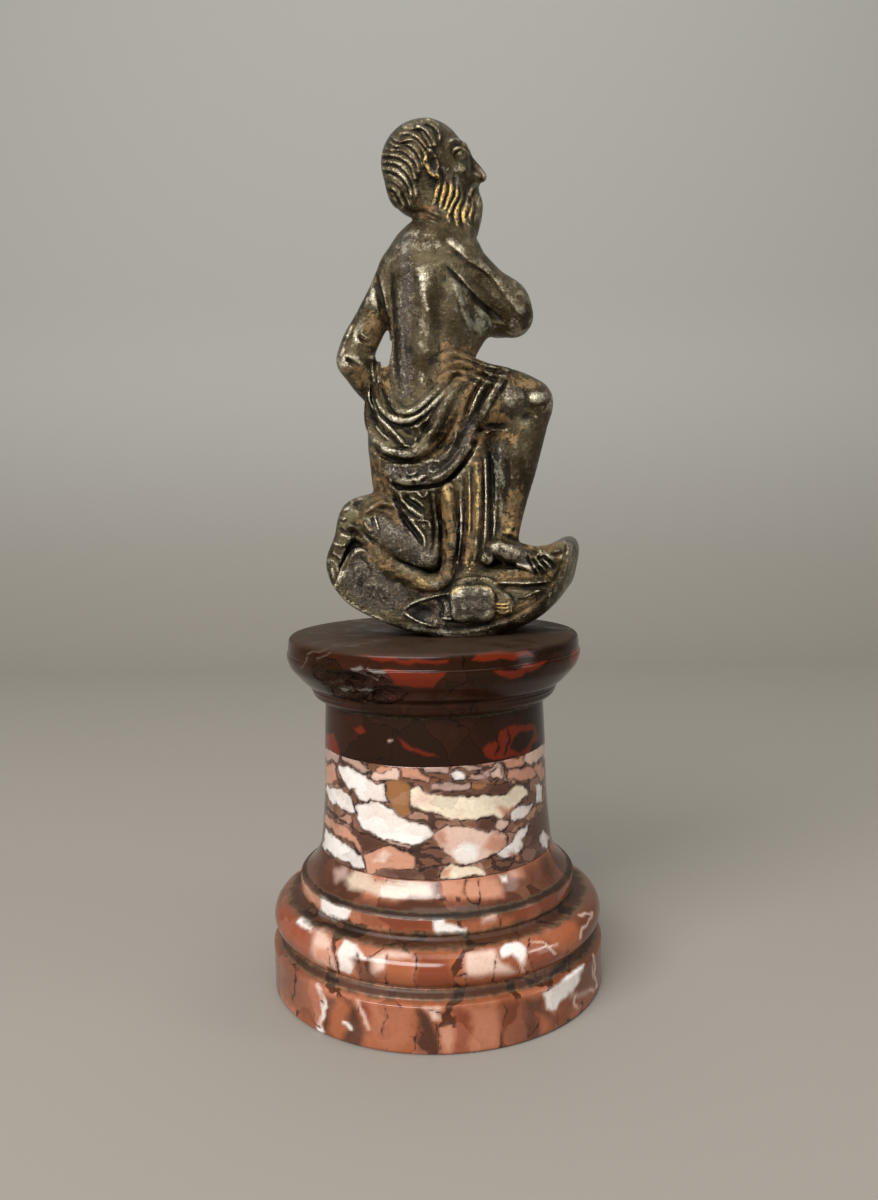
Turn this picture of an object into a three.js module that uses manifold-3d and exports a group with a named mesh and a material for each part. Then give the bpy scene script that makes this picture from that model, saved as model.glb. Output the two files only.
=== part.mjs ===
// A bronze statuette of a kneeling, half draped, bearded philosopher on a turned marble plinth.
// Millimetres, +Z up, origin at the centre of the plinth's underside. The figure's back is towards -Y.
import * as THREE from "three";
import { mergeVertices } from "three/addons/utils/BufferGeometryUtils.js";
import Module from "manifold-3d";

const wasm = await Module();
wasm.setup();

// Driving dimensions of the plinth: radii and heights of its turned profile
const BASE_R = 45;
const DRUM_TOP = 12.2;
const TORUS_LOW = 14.6;
const TORUS_R = 44.6;
const TORUS_TOP = 24.4;
const FILLET_R = 37.3;
const FILLET_LOW = 25.6;
const FILLET_TOP = 30.2;
const SHAFT_LOW = 37.5;
const SHAFT_LOW_R = 31.5;
const SHAFT_TOP = 65.5;
const SHAFT_TOP_R = 29.9;
const NECK_TOP = 77.8;
const NECK_TOP_R = 29.4;
const OVOLO_LOW = 81.5;
const OVOLO_LOW_R = 33.1;
const RIM_LOW = 88.6;
const RIM_R = 39.3;
const RIM_TOP = 90.8;
const PLINTH_TOP = 94.8;
const TOP_R = 37.9;
const TURNING_SIDES = 40;

// Driving dimensions of the bronze: its ground, its head and the point that its drawing is seen from
const GROUND_FRONT = -13;
const GROUND_BACK = 10;
const HEAD = { x: 0.9, z: 214.5, middle: 2.6, tilt: THREE.MathUtils.degToRad(12) };
const EYE = { x: 1.7, y: -269, z: 131.5 };
const CELL = 0.75;
const FIGURE_TRIANGLES = 6400;

// Stones

// Points along an arc of an ellipse, from one angle to another, both in degrees.
function arc(r, z, rr, rz, from, to, steps) {
  return Array.from({ length: steps + 1 }, (_, i) => {
    const a = THREE.MathUtils.degToRad(from + ((to - from) * i) / steps);
    return [r + rr * Math.cos(a), z + rz * Math.sin(a)];
  });
}

// A solid of revolution about +Z whose profile runs from the axis at the bottom to the axis at the top.
function turned(profile) {
  const points = profile.map(([r, z]) => new THREE.Vector2(r, z));
  const geometry = new THREE.LatheGeometry(points, TURNING_SIDES);
  return geometry.rotateX(Math.PI / 2);
}

function baseGeometry() {
  const torusHalf = (TORUS_TOP - TORUS_LOW) / 2;
  const slope = SHAFT_LOW_R - FILLET_R;
  return turned([
    [0, 0],
    [BASE_R - 0.6, 0],
    [BASE_R, 0.6],
    [BASE_R, DRUM_TOP - 0.4],
    [BASE_R - 0.4, DRUM_TOP],
    [BASE_R - 1.9, DRUM_TOP + 0.5],
    [BASE_R - 2.4, TORUS_LOW],
    ...arc(TORUS_R - 5.2, TORUS_LOW + torusHalf, 5.2, torusHalf, -62, 78, 7),
    [FILLET_R + 0.1, TORUS_TOP + 0.3],
    [FILLET_R - 0.4, FILLET_LOW],
    [FILLET_R, FILLET_LOW + 0.5],
    [FILLET_R, FILLET_TOP - 0.3],
    [FILLET_R - 0.4, FILLET_TOP],
    [FILLET_R + 0.34 * slope, FILLET_TOP + 1.3],
    [FILLET_R + 0.68 * slope, FILLET_TOP + 3.6],
    [SHAFT_LOW_R, SHAFT_LOW],
    [0, SHAFT_LOW],
  ]);
}

function shaftGeometry() {
  return turned([
    [0, SHAFT_LOW],
    [SHAFT_LOW_R, SHAFT_LOW],
    [SHAFT_TOP_R + 0.35, (SHAFT_LOW + SHAFT_TOP) / 2],
    [SHAFT_TOP_R, SHAFT_TOP],
    [0, SHAFT_TOP],
  ]);
}

function capitalGeometry() {
  const overhang = RIM_R - OVOLO_LOW_R;
  const rise = RIM_LOW - OVOLO_LOW;
  const whole = turned([
    [0, SHAFT_TOP],
    [SHAFT_TOP_R, SHAFT_TOP],
    [NECK_TOP_R, NECK_TOP],
    ...arc(NECK_TOP_R + 0.5, NECK_TOP + 2.6, 2.9, 2.3, -70, 0, 3),
    [OVOLO_LOW_R, NECK_TOP + 2.8],
    [OVOLO_LOW_R, OVOLO_LOW],
    [OVOLO_LOW_R + 0.3 * overhang, OVOLO_LOW + 0.2 * rise],
    [OVOLO_LOW_R + 0.6 * overhang, OVOLO_LOW + 0.48 * rise],
    [OVOLO_LOW_R + 0.86 * overhang, OVOLO_LOW + 0.76 * rise],
    [RIM_R - 0.1, RIM_LOW],
    [RIM_R, RIM_TOP],
    [TOP_R + 1, PLINTH_TOP - 2],
    [TOP_R + 0.6, PLINTH_TOP - 0.6],
    [TOP_R, PLINTH_TOP],
    [0, PLINTH_TOP],
  ]);
  return openGeometry(chips().reduce((stone, flake) => stone.subtract(flake), solid(whole)));
}

// The flakes broken from the capital's edge: a long shallow one in front on the left, and two beside it.
function chips() {
  const flakes = [
    { angle: -123, r: 40.5, z: 85.6, size: [22, 8.4, 9.6], turn: [0, 0.6, 0] },
    { angle: -110, r: 38.8, z: 83.2, size: [18, 8, 7], turn: [-0.2, 0.8, 0] },
    { angle: -135, r: 41.1, z: 87.4, size: [9, 6.4, 10], turn: [0, 0.2, 0.3] },
  ];
  return flakes.map(({ angle, r, z, size, turn }) => {
    const block = new THREE.IcosahedronGeometry(1, 1);
    block.scale(size[1] / 2, size[0] / 2, size[2] / 2);
    block.rotateX(turn[0]).rotateY(turn[1]).rotateZ(turn[2]);
    block.translate(r, 0, z);
    return solid(block.rotateZ(THREE.MathUtils.degToRad(angle)));
  });
}

// Solids for joining and cutting

function solid(geometry) {
  const bare = geometry.clone();
  bare.deleteAttribute("normal");
  bare.deleteAttribute("uv");
  const merged = mergeVertices(bare, 1e-4);
  return new wasm.Manifold(
    new wasm.Mesh({
      numProp: 3,
      vertProperties: merged.attributes.position.array,
      triVerts: new Uint32Array(merged.index.array),
    }),
  );
}

function openGeometry(made) {
  const mesh = made.getMesh();
  return indexed(mesh.vertProperties, mesh.triVerts);
}

function indexed(positions, triangles) {
  const geometry = new THREE.BufferGeometry();
  geometry.setAttribute("position", new THREE.BufferAttribute(new Float32Array(positions), 3));
  geometry.setIndex(new THREE.BufferAttribute(new Uint32Array(triangles), 1));
  geometry.computeVertexNormals();
  return geometry;
}

// Places. The figure is drawn as it looks from EYE, on the middle plane y = 0. Each point has a depth y.

function seen(x, z, y) {
  const near = (y - EYE.y) / -EYE.y;
  return [EYE.x + (x - EYE.x) * near, y, EYE.z + (z - EYE.z) * near];
}

// A point of the head, measured forward and up from its centre and sideways towards the viewer.
function onHead(forward, up, side) {
  const { x, z, middle, tilt } = HEAD;
  return [
    x + forward * Math.cos(tilt) - up * Math.sin(tilt),
    -middle - side,
    z + forward * Math.sin(tilt) + up * Math.cos(tilt),
  ];
}

// A smooth run through rows of numbers, each row a point with its radii.
function smooth(rows, steps = 4) {
  if (rows.length < 2) return rows;
  const last = rows.length - 1;
  const run = [];
  for (let i = 0; i < last; i++) {
    const [p0, p1, p2, p3] = [rows[Math.max(i - 1, 0)], rows[i], rows[i + 1], rows[Math.min(i + 2, last)]];
    for (let s = 0; s < steps; s++) {
      const t = s / steps;
      run.push(
        p1.map(
          (v, k) =>
            0.5 *
            (2 * v +
              (p2[k] - p0[k]) * t +
              (2 * p0[k] - 5 * v + 4 * p2[k] - p3[k]) * t * t +
              (3 * v - p0[k] - 3 * p2[k] + p3[k]) * t * t * t),
        ),
      );
    }
  }
  run.push(rows[last]);
  return run;
}

// Clay: a block of cells, each holding its distance to the surface, negative inside

class Clay {
  constructor(low, high, cell) {
    this.low = low;
    this.cell = cell;
    this.size = low.map((v, i) => Math.ceil((high[i] - v) / cell) + 1);
    this.field = new Float32Array(this.size[0] * this.size[1] * this.size[2]).fill(30);
  }

  index(i, j, k) {
    return (k * this.size[1] + j) * this.size[0] + i;
  }

  // Calls change(value, x, y, z) for every cell inside the box from low to high.
  every(low, high, change) {
    const from = low.map((v, i) => Math.max(0, Math.floor((v - this.low[i]) / this.cell)));
    const to = high.map((v, i) => Math.min(this.size[i] - 1, Math.ceil((v - this.low[i]) / this.cell)));
    for (let k = from[2]; k <= to[2]; k++)
      for (let j = from[1]; j <= to[1]; j++)
        for (let i = from[0]; i <= to[0]; i++) {
          const n = this.index(i, j, k);
          const [x, y, z] = [i, j, k].map((v, axis) => this.low[axis] + v * this.cell);
          this.field[n] = change(this.field[n], x, y, z, n);
        }
  }

  // How far the surface near each cell faces +Y, from -1 to 1, and 0 in cells well away from it.
  facing() {
    const steps = [1, this.size[0], this.size[0] * this.size[1]];
    return this.field.map((value, n) => {
      if (Math.abs(value) > 3) return 0;
      const slope = steps.map((step) => this.field[n + step] - this.field[n - step]);
      return slope[1] / (Math.hypot(...slope) || 1);
    });
  }

  // Adds a run of round or flattened sections, melted into what is there over the distance soft.
  // Each row is x, y, z, radius and the depth of the section over its width.
  limb(rows, soft) {
    const run = rows.length > 1 ? smooth(rows) : [rows[0], rows[0]];
    const reach = Math.max(...rows.map((row) => row[3] * Math.max(1, row[4]))) + soft + 2 * this.cell;
    const low = [0, 1, 2].map((axis) => Math.min(...run.map((row) => row[axis])) - reach);
    const high = [0, 1, 2].map((axis) => Math.max(...run.map((row) => row[axis])) + reach);
    this.every(low, high, (value, x, y, z) => melt(value, limbDistance(run, x, y, z), soft));
  }

  // A block with well rounded edges.
  block(centre, halves, soft) {
    const reach = halves.map((v) => v + soft + 2 * this.cell);
    const low = centre.map((v, i) => v - reach[i]);
    const high = centre.map((v, i) => v + reach[i]);
    const least = Math.min(...halves);
    this.every(low, high, (value, x, y, z) => {
      const [a, b, c] = [x, y, z].map((v, i) => Math.abs(v - centre[i]) / halves[i]);
      return melt(value, ((a ** 4 + b ** 4 + c ** 4) ** 0.25 - 1) * least, soft);
    });
  }

  ball(centre, radii, soft, turn = 0) {
    const reach = Math.max(...radii) + soft + 2 * this.cell;
    const low = centre.map((v) => v - reach);
    const high = centre.map((v) => v + reach);
    const [c, s] = [Math.cos(turn), Math.sin(turn)];
    this.every(low, high, (value, x, y, z) => {
      const [dx, dy, dz] = [x - centre[0], y - centre[1], z - centre[2]];
      const local = [dx * c + dz * s, dy, dz * c - dx * s];
      return melt(value, ellipsoid(local, radii), soft);
    });
  }
}

// The smaller of two distances, rounded where they are alike.
function melt(a, b, soft) {
  const h = Math.max(soft - Math.abs(a - b), 0) / soft;
  return Math.min(a, b) - (h * h * soft) / 4;
}

function ellipsoid([x, y, z], [rx, ry, rz]) {
  const k0 = Math.hypot(x / rx, y / ry, z / rz);
  const k1 = Math.hypot(x / (rx * rx), y / (ry * ry), z / (rz * rz));
  return k1 < 1e-9 ? -Math.min(rx, ry, rz) : (k0 * (k0 - 1)) / k1;
}

function limbDistance(run, x, y, z) {
  let best = 1e9;
  for (let i = 1; i < run.length; i++) {
    const [a, b] = [run[i - 1], run[i]];
    const [dx, dy, dz] = [b[0] - a[0], b[1] - a[1], b[2] - a[2]];
    const long = dx * dx + dy * dy + dz * dz;
    const along = (x - a[0]) * dx + (y - a[1]) * dy + (z - a[2]) * dz;
    const t = long > 1e-9 ? Math.min(1, Math.max(0, along / long)) : 0;
    const r = a[3] + (b[3] - a[3]) * t;
    const flat = a[4] + (b[4] - a[4]) * t;
    const offset = [x - a[0] - dx * t, y - a[1] - dy * t, z - a[2] - dz * t];
    best = Math.min(best, ellipsoid(offset, [r, r * flat, r]));
  }
  return best;
}

// Relief: heights drawn on a flat sheet, which then push the near or the far side of the clay in or out

class Relief {
  constructor(low, high, cell) {
    this.low = low;
    this.cell = cell;
    this.size = low.map((v, i) => Math.ceil((high[i] - v) / cell) + 1);
    this.height = new Float32Array(this.size[0] * this.size[1]);
  }

  // Adds rise(distance) along a smooth curve through points, fading at its ends where taper is true.
  stroke(points, width, rise, taper = true) {
    const run = smooth(points, 5);
    const least = [0, 1].map((axis) => Math.min(...run.map((p) => p[axis])) - width - this.low[axis]);
    const most = [0, 1].map((axis) => Math.max(...run.map((p) => p[axis])) + width - this.low[axis]);
    const from = least.map((v) => Math.max(0, Math.floor(v / this.cell)));
    const to = most.map((v, axis) => Math.min(this.size[axis] - 1, Math.ceil(v / this.cell)));
    for (let j = from[1]; j <= to[1]; j++)
      for (let i = from[0]; i <= to[0]; i++) {
        const near = nearest(run, this.low[0] + i * this.cell, this.low[1] + j * this.cell);
        if (near.distance >= width) continue;
        const fade = taper ? Math.min(1, 4 * near.along, 4 * (1 - near.along)) : 1;
        this.height[j * this.size[0] + i] += fade * rise(near.distance / width);
      }
  }

  ridge(points, width, height, taper = true) {
    this.stroke(points, width, (t) => height * (1 - t * t) ** 2, taper);
  }

  mound(x, z, rx, rz, height) {
    for (let j = 0; j < this.size[1]; j++)
      for (let i = 0; i < this.size[0]; i++) {
        const t = Math.hypot((this.low[0] + i * this.cell - x) / rx, (this.low[1] + j * this.cell - z) / rz);
        if (t < 1) this.height[j * this.size[0] + i] += height * (1 - t * t) ** 2;
      }
  }

  // Blurs the sheet, so that no step is too steep for the clay's cells.
  soften() {
    const [w, h] = this.size;
    [1, w].forEach((step) => {
      const before = this.height.slice();
      for (let n = step; n < w * h - step; n++)
        this.height[n] = (before[n - step] + 2 * before[n] + before[n + step]) / 4;
    });
    return this;
  }

  at(x, z) {
    const u = (x - this.low[0]) / this.cell;
    const v = (z - this.low[1]) / this.cell;
    const [i, j] = [Math.floor(u), Math.floor(v)];
    if (i < 0 || j < 0 || i >= this.size[0] - 1 || j >= this.size[1] - 1) return 0;
    const [fu, fv, n] = [u - i, v - j, j * this.size[0] + i];
    const [h, w] = [this.height, this.size[0]];
    return (h[n] * (1 - fu) + h[n + 1] * fu) * (1 - fv) + (h[n + w] * (1 - fu) + h[n + w + 1] * fu) * fv;
  }
}

function nearest(run, x, z) {
  let best = { distance: 1e9, along: 0 };
  for (let i = 1; i < run.length; i++) {
    const [a, b] = [run[i - 1], run[i]];
    const [dx, dz] = [b[0] - a[0], b[1] - a[1]];
    const long = dx * dx + dz * dz || 1e-9;
    const t = Math.min(1, Math.max(0, ((x - a[0]) * dx + (z - a[1]) * dz) / long));
    const [ox, oz] = [x - a[0] - dx * t, z - a[1] - dz * t];
    const distance = Math.hypot(ox, oz);
    if (distance < best.distance) best = { distance, along: (i - 1 + t) / (run.length - 1) };
  }
  return best;
}

// Skin: the surface of the clay as triangles. Each cell is cut into six tetrahedra, so the skin closes.

const AXIS_ORDERS = [
  [1, 2, 4, 1],
  [2, 4, 1, 1],
  [4, 1, 2, 1],
  [1, 4, 2, -1],
  [4, 2, 1, -1],
  [2, 1, 4, -1],
];

function skin(clay) {
  const { field, size, low, cell } = clay;
  const points = [];
  const faces = [];
  const made = new Map();
  const stride = [1, size[0], size[0] * size[1]];
  const offset = (corner) => stride.reduce((sum, v, axis) => sum + v * ((corner >> axis) & 1), 0);
  const step = [0, 1, 2, 3, 4, 5, 6, 7].map(offset);
  const place = (n) => [n % size[0], Math.floor(n / size[0]) % size[1], Math.floor(n / (size[0] * size[1]))];
  const crossing = (n, a, b) => {
    const [p, q] = a < b ? [a, b] : [b, a];
    const key = (n + step[p]) * 8 + (q - p);
    if (!made.has(key)) {
      const [from, to] = [place(n + step[p]), place(n + step[q])];
      const [va, vb] = [field[n + step[p]], field[n + step[q]]];
      const t = Math.min(0.95, Math.max(0.05, va / (va - vb)));
      made.set(key, points.length / 3);
      from.forEach((v, axis) => points.push(low[axis] + cell * (v + (to[axis] - v) * t)));
    }
    return made.get(key);
  };
  for (let k = 0; k < size[2] - 1; k++)
    for (let j = 0; j < size[1] - 1; j++)
      for (let i = 0; i < size[0] - 1; i++) {
        const n = clay.index(i, j, k);
        const inside = step.filter((s) => field[n + s] < 0).length;
        if (inside === 0 || inside === 8) continue;
        for (const [a, b, c, turn] of AXIS_ORDERS) {
          const wall = (corner) => field[n + step[corner]];
          faces.push(...cutTetrahedron([0, a, a + b, a + b + c], turn, wall, (p, q) => crossing(n, p, q)));
        }
      }
  return { points, faces };
}

// The triangles that part the inner corners of one tetrahedron from its outer ones.
function cutTetrahedron(corners, turn, wall, crossing) {
  const inner = corners.filter((c) => wall(c) < 0);
  if (inner.length === 0 || inner.length === 4) return [];
  const order = [...inner, ...corners.filter((c) => wall(c) >= 0)];
  let sign = turn;
  for (let i = 0; i < 4; i++)
    for (let j = i + 1; j < 4; j++) if (corners.indexOf(order[i]) > corners.indexOf(order[j])) sign = -sign;
  const edge = (p, q) => crossing(order[p], order[q]);
  const fan =
    inner.length === 1
      ? [edge(0, 1), edge(0, 2), edge(0, 3)]
      : inner.length === 3
        ? [edge(3, 0), edge(3, 1), edge(3, 2)]
        : [edge(0, 2), edge(0, 3), edge(1, 3), edge(1, 2)];
  const faces = fan.length === 4 ? [fan.slice(0, 3), [fan[0], fan[2], fan[3]]] : [fan];
  return sign > 0 ? faces : faces.map(([p, q, r]) => [p, r, q]);
}

// Thinning: edges are drawn together, the least needed first, until few triangles are left.

class Thinner {
  constructor({ points, faces }, target) {
    this.points = points;
    this.faces = faces;
    this.alive = faces.length;
    this.target = target;
    this.around = Array.from({ length: points.length / 3 }, () => new Set());
    this.faces.forEach((face, f) => face.forEach((v) => this.around[v].add(f)));
    this.error = Array.from(this.around, () => new Float64Array(10));
    this.faces.forEach((face) => this.weigh(face));
    this.version = new Uint32Array(this.around.length);
    this.heap = [];
    const edges = ([a, b, c]) => [[a, b], [b, c], [c, a]].filter(([p, q]) => p < q);
    this.faces.forEach((face) => edges(face).forEach(([p, q]) => this.offer(p, q)));
  }

  at(v) {
    return [this.points[3 * v], this.points[3 * v + 1], this.points[3 * v + 2]];
  }

  normal([p, q, r]) {
    const [ux, uy, uz] = [q[0] - p[0], q[1] - p[1], q[2] - p[2]];
    const [vx, vy, vz] = [r[0] - p[0], r[1] - p[1], r[2] - p[2]];
    return [uy * vz - uz * vy, uz * vx - ux * vz, ux * vy - uy * vx];
  }

  weigh(face) {
    const corners = face.map((v) => this.at(v));
    const n = this.normal(corners);
    const area = Math.hypot(...n);
    if (area < 1e-12) return;
    const [a, b, c] = n.map((v) => v / area);
    const d = -(a * corners[0][0] + b * corners[0][1] + c * corners[0][2]);
    const plane = [a * a, a * b, a * c, a * d, b * b, b * c, b * d, c * c, c * d, d * d];
    face.forEach((v) => plane.forEach((value, i) => (this.error[v][i] += value * area)));
  }

  cost(q, [x, y, z]) {
    return (
      q[0] * x * x + 2 * q[1] * x * y + 2 * q[2] * x * z + 2 * q[3] * x + q[4] * y * y +
      2 * q[5] * y * z + 2 * q[6] * y + q[7] * z * z + 2 * q[8] * z + q[9]
    );
  }

  // The place that keeps the shape best for two points drawn together: a point on the edge between them.
  best(a, b) {
    const q = this.error[a].map((v, i) => v + this.error[b][i]);
    const [p, r] = [this.at(a), this.at(b)];
    const tries = [0, 0.25, 0.5, 0.75, 1].map((t) => p.map((v, i) => v + (r[i] - v) * t));
    const solved = solve3(q);
    const middle = tries[2];
    const long = Math.hypot(p[0] - r[0], p[1] - r[1], p[2] - r[2]);
    if (solved && Math.hypot(solved[0] - middle[0], solved[1] - middle[1], solved[2] - middle[2]) < long)
      tries.push(solved);
    const costs = tries.map((point) => this.cost(q, point));
    const least = costs.indexOf(Math.min(...costs));
    return { point: tries[least], cost: Math.max(0, costs[least]) + 1e-4 * long * long, q };
  }

  offer(a, b) {
    const { cost } = this.best(a, b);
    push(this.heap, { cost, a, b, stamp: this.version[a] + this.version[b] });
  }

  neighbours(v) {
    const near = new Set();
    this.around[v].forEach((f) => this.faces[f].forEach((w) => w !== v && near.add(w)));
    return near;
  }

  // Whether the faces around a point keep their sides when it moves.
  holds(v, other, point) {
    for (const f of this.around[v]) {
      if (this.faces[f].includes(other)) continue;
      const before = this.normal(this.faces[f].map((w) => this.at(w)));
      const after = this.normal(this.faces[f].map((w) => (w === v ? point : this.at(w))));
      const dot = before[0] * after[0] + before[1] * after[1] + before[2] * after[2];
      if (dot <= 0.25 * Math.hypot(...before) * Math.hypot(...after)) return false;
    }
    return true;
  }

  run() {
    while (this.alive > this.target && this.heap.length) {
      const { a, b, stamp } = pop(this.heap);
      if (!this.around[a] || !this.around[b] || stamp !== this.version[a] + this.version[b]) continue;
      const shared = [...this.around[a]].filter((f) => this.around[b].has(f));
      if (shared.length !== 2) continue;
      const near = this.neighbours(a);
      const common = [...this.neighbours(b)].filter((v) => near.has(v));
      const { point, q } = this.best(a, b);
      if (common.length !== 2 || !this.holds(a, b, point) || !this.holds(b, a, point)) continue;
      this.join(a, b, point, q, shared);
    }
    return this.result();
  }

  join(a, b, point, q, shared) {
    shared.forEach((f) => this.faces[f].forEach((v) => this.around[v].delete(f)));
    shared.forEach((f) => (this.faces[f] = null));
    this.alive -= shared.length;
    this.around[b].forEach((f) => {
      this.faces[f] = this.faces[f].map((v) => (v === b ? a : v));
      this.around[a].add(f);
    });
    this.around[b] = null;
    this.error[a] = q;
    point.forEach((v, i) => (this.points[3 * a + i] = v));
    const near = this.neighbours(a);
    this.version[a] += 1;
    near.forEach((v) => this.offer(a, v));
  }

  result() {
    const renumbered = new Map();
    const points = [];
    const faces = this.faces.filter(Boolean).map((face) =>
      face.map((v) => {
        if (!renumbered.has(v)) {
          renumbered.set(v, points.length / 3);
          points.push(...this.at(v));
        }
        return renumbered.get(v);
      }),
    );
    return { points, faces };
  }
}

// The lowest point of an error, by Cramer's rule, or null where it lies along a line or a plane.
function solve3(q) {
  const [a, b, c, d, e, f, g, h, i] = q;
  const det = a * (e * h - f * f) - b * (b * h - f * c) + c * (b * f - e * c);
  if (Math.abs(det) < 1e-6) return null;
  const [x, y, z] = [-d, -g, -i];
  return [
    (x * (e * h - f * f) - b * (y * h - f * z) + c * (y * f - e * z)) / det,
    (a * (y * h - f * z) - x * (b * h - f * c) + c * (b * z - y * c)) / det,
    (a * (e * z - f * y) - b * (b * z - y * c) + x * (b * f - e * c)) / det,
  ];
}

function push(heap, item) {
  heap.push(item);
  let i = heap.length - 1;
  while (i > 0 && heap[(i - 1) >> 1].cost > heap[i].cost) {
    [heap[i], heap[(i - 1) >> 1]] = [heap[(i - 1) >> 1], heap[i]];
    i = (i - 1) >> 1;
  }
}

function pop(heap) {
  const top = heap[0];
  const last = heap.pop();
  if (heap.length) {
    heap[0] = last;
    let i = 0;
    for (;;) {
      const [l, r] = [2 * i + 1, 2 * i + 2];
      let least = i;
      if (l < heap.length && heap[l].cost < heap[least].cost) least = l;
      if (r < heap.length && heap[r].cost < heap[least].cost) least = r;
      if (least === i) break;
      [heap[i], heap[least]] = [heap[least], heap[i]];
      i = least;
    }
  }
  return top;
}

// The figure. A limb's rows are x and z as drawn, depth y, half width, and the section's depth over width.

function drawn(rows) {
  return rows.map(([x, z, y, r, flat]) => [...seen(x, z, y), (r * (y - EYE.y)) / -EYE.y, flat]);
}

function makeFigure() {
  const clay = new Clay([-33, -21, 92], [43, 18, 230], CELL);
  const limb = (rows, soft = 1.5) => clay.limb(drawn(rows), soft);
  trunk(limb);
  arms(limb);
  legs(limb);
  clothBody(limb);
  head(clay, limb);
  ground(clay);
  tortoise(clay, limb);
  const near = reliefSheet(backRelief, clothRelief, hairRelief, groundRelief);
  const far = reliefSheet(farRelief, hairRelief);
  press(clay, near, far);
  openUnderArm(clay);
  return clay;
}

function reliefSheet(...drawings) {
  const relief = new Relief([-33, 90], [43, 232], 0.35);
  drawings.forEach((draw) => draw(relief));
  return relief.soften().soften();
}

function trunk(limb) {
  limb([
    [0, 148, -2, 12.5, 0.8],
    [0.5, 160, -2.5, 11.4, 0.82],
    [0.8, 168, -3, 11, 0.82],
    [1.3, 175, -3, 11.6, 0.8],
    [1.6, 183, -3, 12.6, 0.76],
    [0.6, 190, -3, 11.6, 0.74],
    [2, 196, -3, 8.4, 0.78],
    [4.4, 201, -3, 7.2, 0.9],
    [4.4, 208, -3, 7, 0.9],
  ]);
  limb([
    [-5.7, 190.4, -3.5, 5, 0.9],
    [2, 196.2, -4, 5.6, 0.9],
    [9, 194.2, -5, 5, 0.9],
  ], 3);
  limb([
    [9, 189, 0, 6, 0.9],
    [12, 183, 1, 6, 0.9],
    [9.6, 176, 0, 5.6, 0.9],
  ], 2.5);
  limb([
    [9.6, 187, -3.5, 4.4, 0.9],
    [12.4, 181, -4, 4.2, 0.9],
    [12.6, 176, -4, 4, 0.9],
    [9.6, 171, -3.5, 4, 0.9],
  ], 2);
  limb([[-5, 188.5, 3, 5.6, 0.7], [-5.4, 185.6, 3.6, 5.2, 0.6]], 1.5);
  limb([[6.4, 188.8, 3, 5.6, 0.7], [6.6, 185.8, 3.6, 5.2, 0.6]], 1.5);
}

function arms(limb) {
  limb([
    [-8, 189.8, -3, 4.8, 0.9],
    [-11.4, 184, -3.5, 4.1, 0.95],
    [-14.6, 177.5, -4, 4.4, 0.95],
    [-18.2, 170.8, -5, 4.7, 0.95],
    [-19.5, 167.2, -5, 4.7, 1],
  ]);
  limb([
    [-19, 166.4, -5, 4.6, 1],
    [-16.4, 162, -3, 4.4, 1],
    [-13, 158, -1, 4, 1],
  ]);
  limb([
    [7.2, 194.6, -5.5, 4.8, 0.95],
    [12, 190.4, -6, 4.3, 1],
    [16.6, 185.6, -5.5, 4.4, 1],
    [21.2, 181.8, -4.5, 5, 1],
    [22.2, 178.2, -3, 5, 1],
  ]);
  limb([[13.6, 175, -3, 2.8, 1], [17.4, 176.8, -2.2, 4.2, 1], [22, 176.4, -3, 4, 1]], 1.5);
  limb([
    [22.4, 177.4, -2, 4.7, 1],
    [18, 176.6, 3, 4.4, 1],
    [12, 178, 7, 4, 1],
    [5, 180.5, 8.2, 3.7, 1],
    [0, 182.5, 8.5, 3.3, 0.7],
  ]);
  fingers(limb, [-0.5, 184.6, 9.4], [-4.6, 185.6, 8.2]);
  fingers(limb, [-12.4, 159.6, 2], [-11.4, 154.6, 6.4]);
}

// Four short fingers side by side, from the knuckles to the tips.
function fingers(limb, knuckles, tips) {
  [-2.7, -0.9, 0.9, 2.7].forEach((off) =>
    limb([
      [knuckles[0], knuckles[1] + off, knuckles[2], 1.2, 1],
      [tips[0], tips[1] + off, tips[2], 0.9, 1],
    ], 0.5),
  );
}

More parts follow.
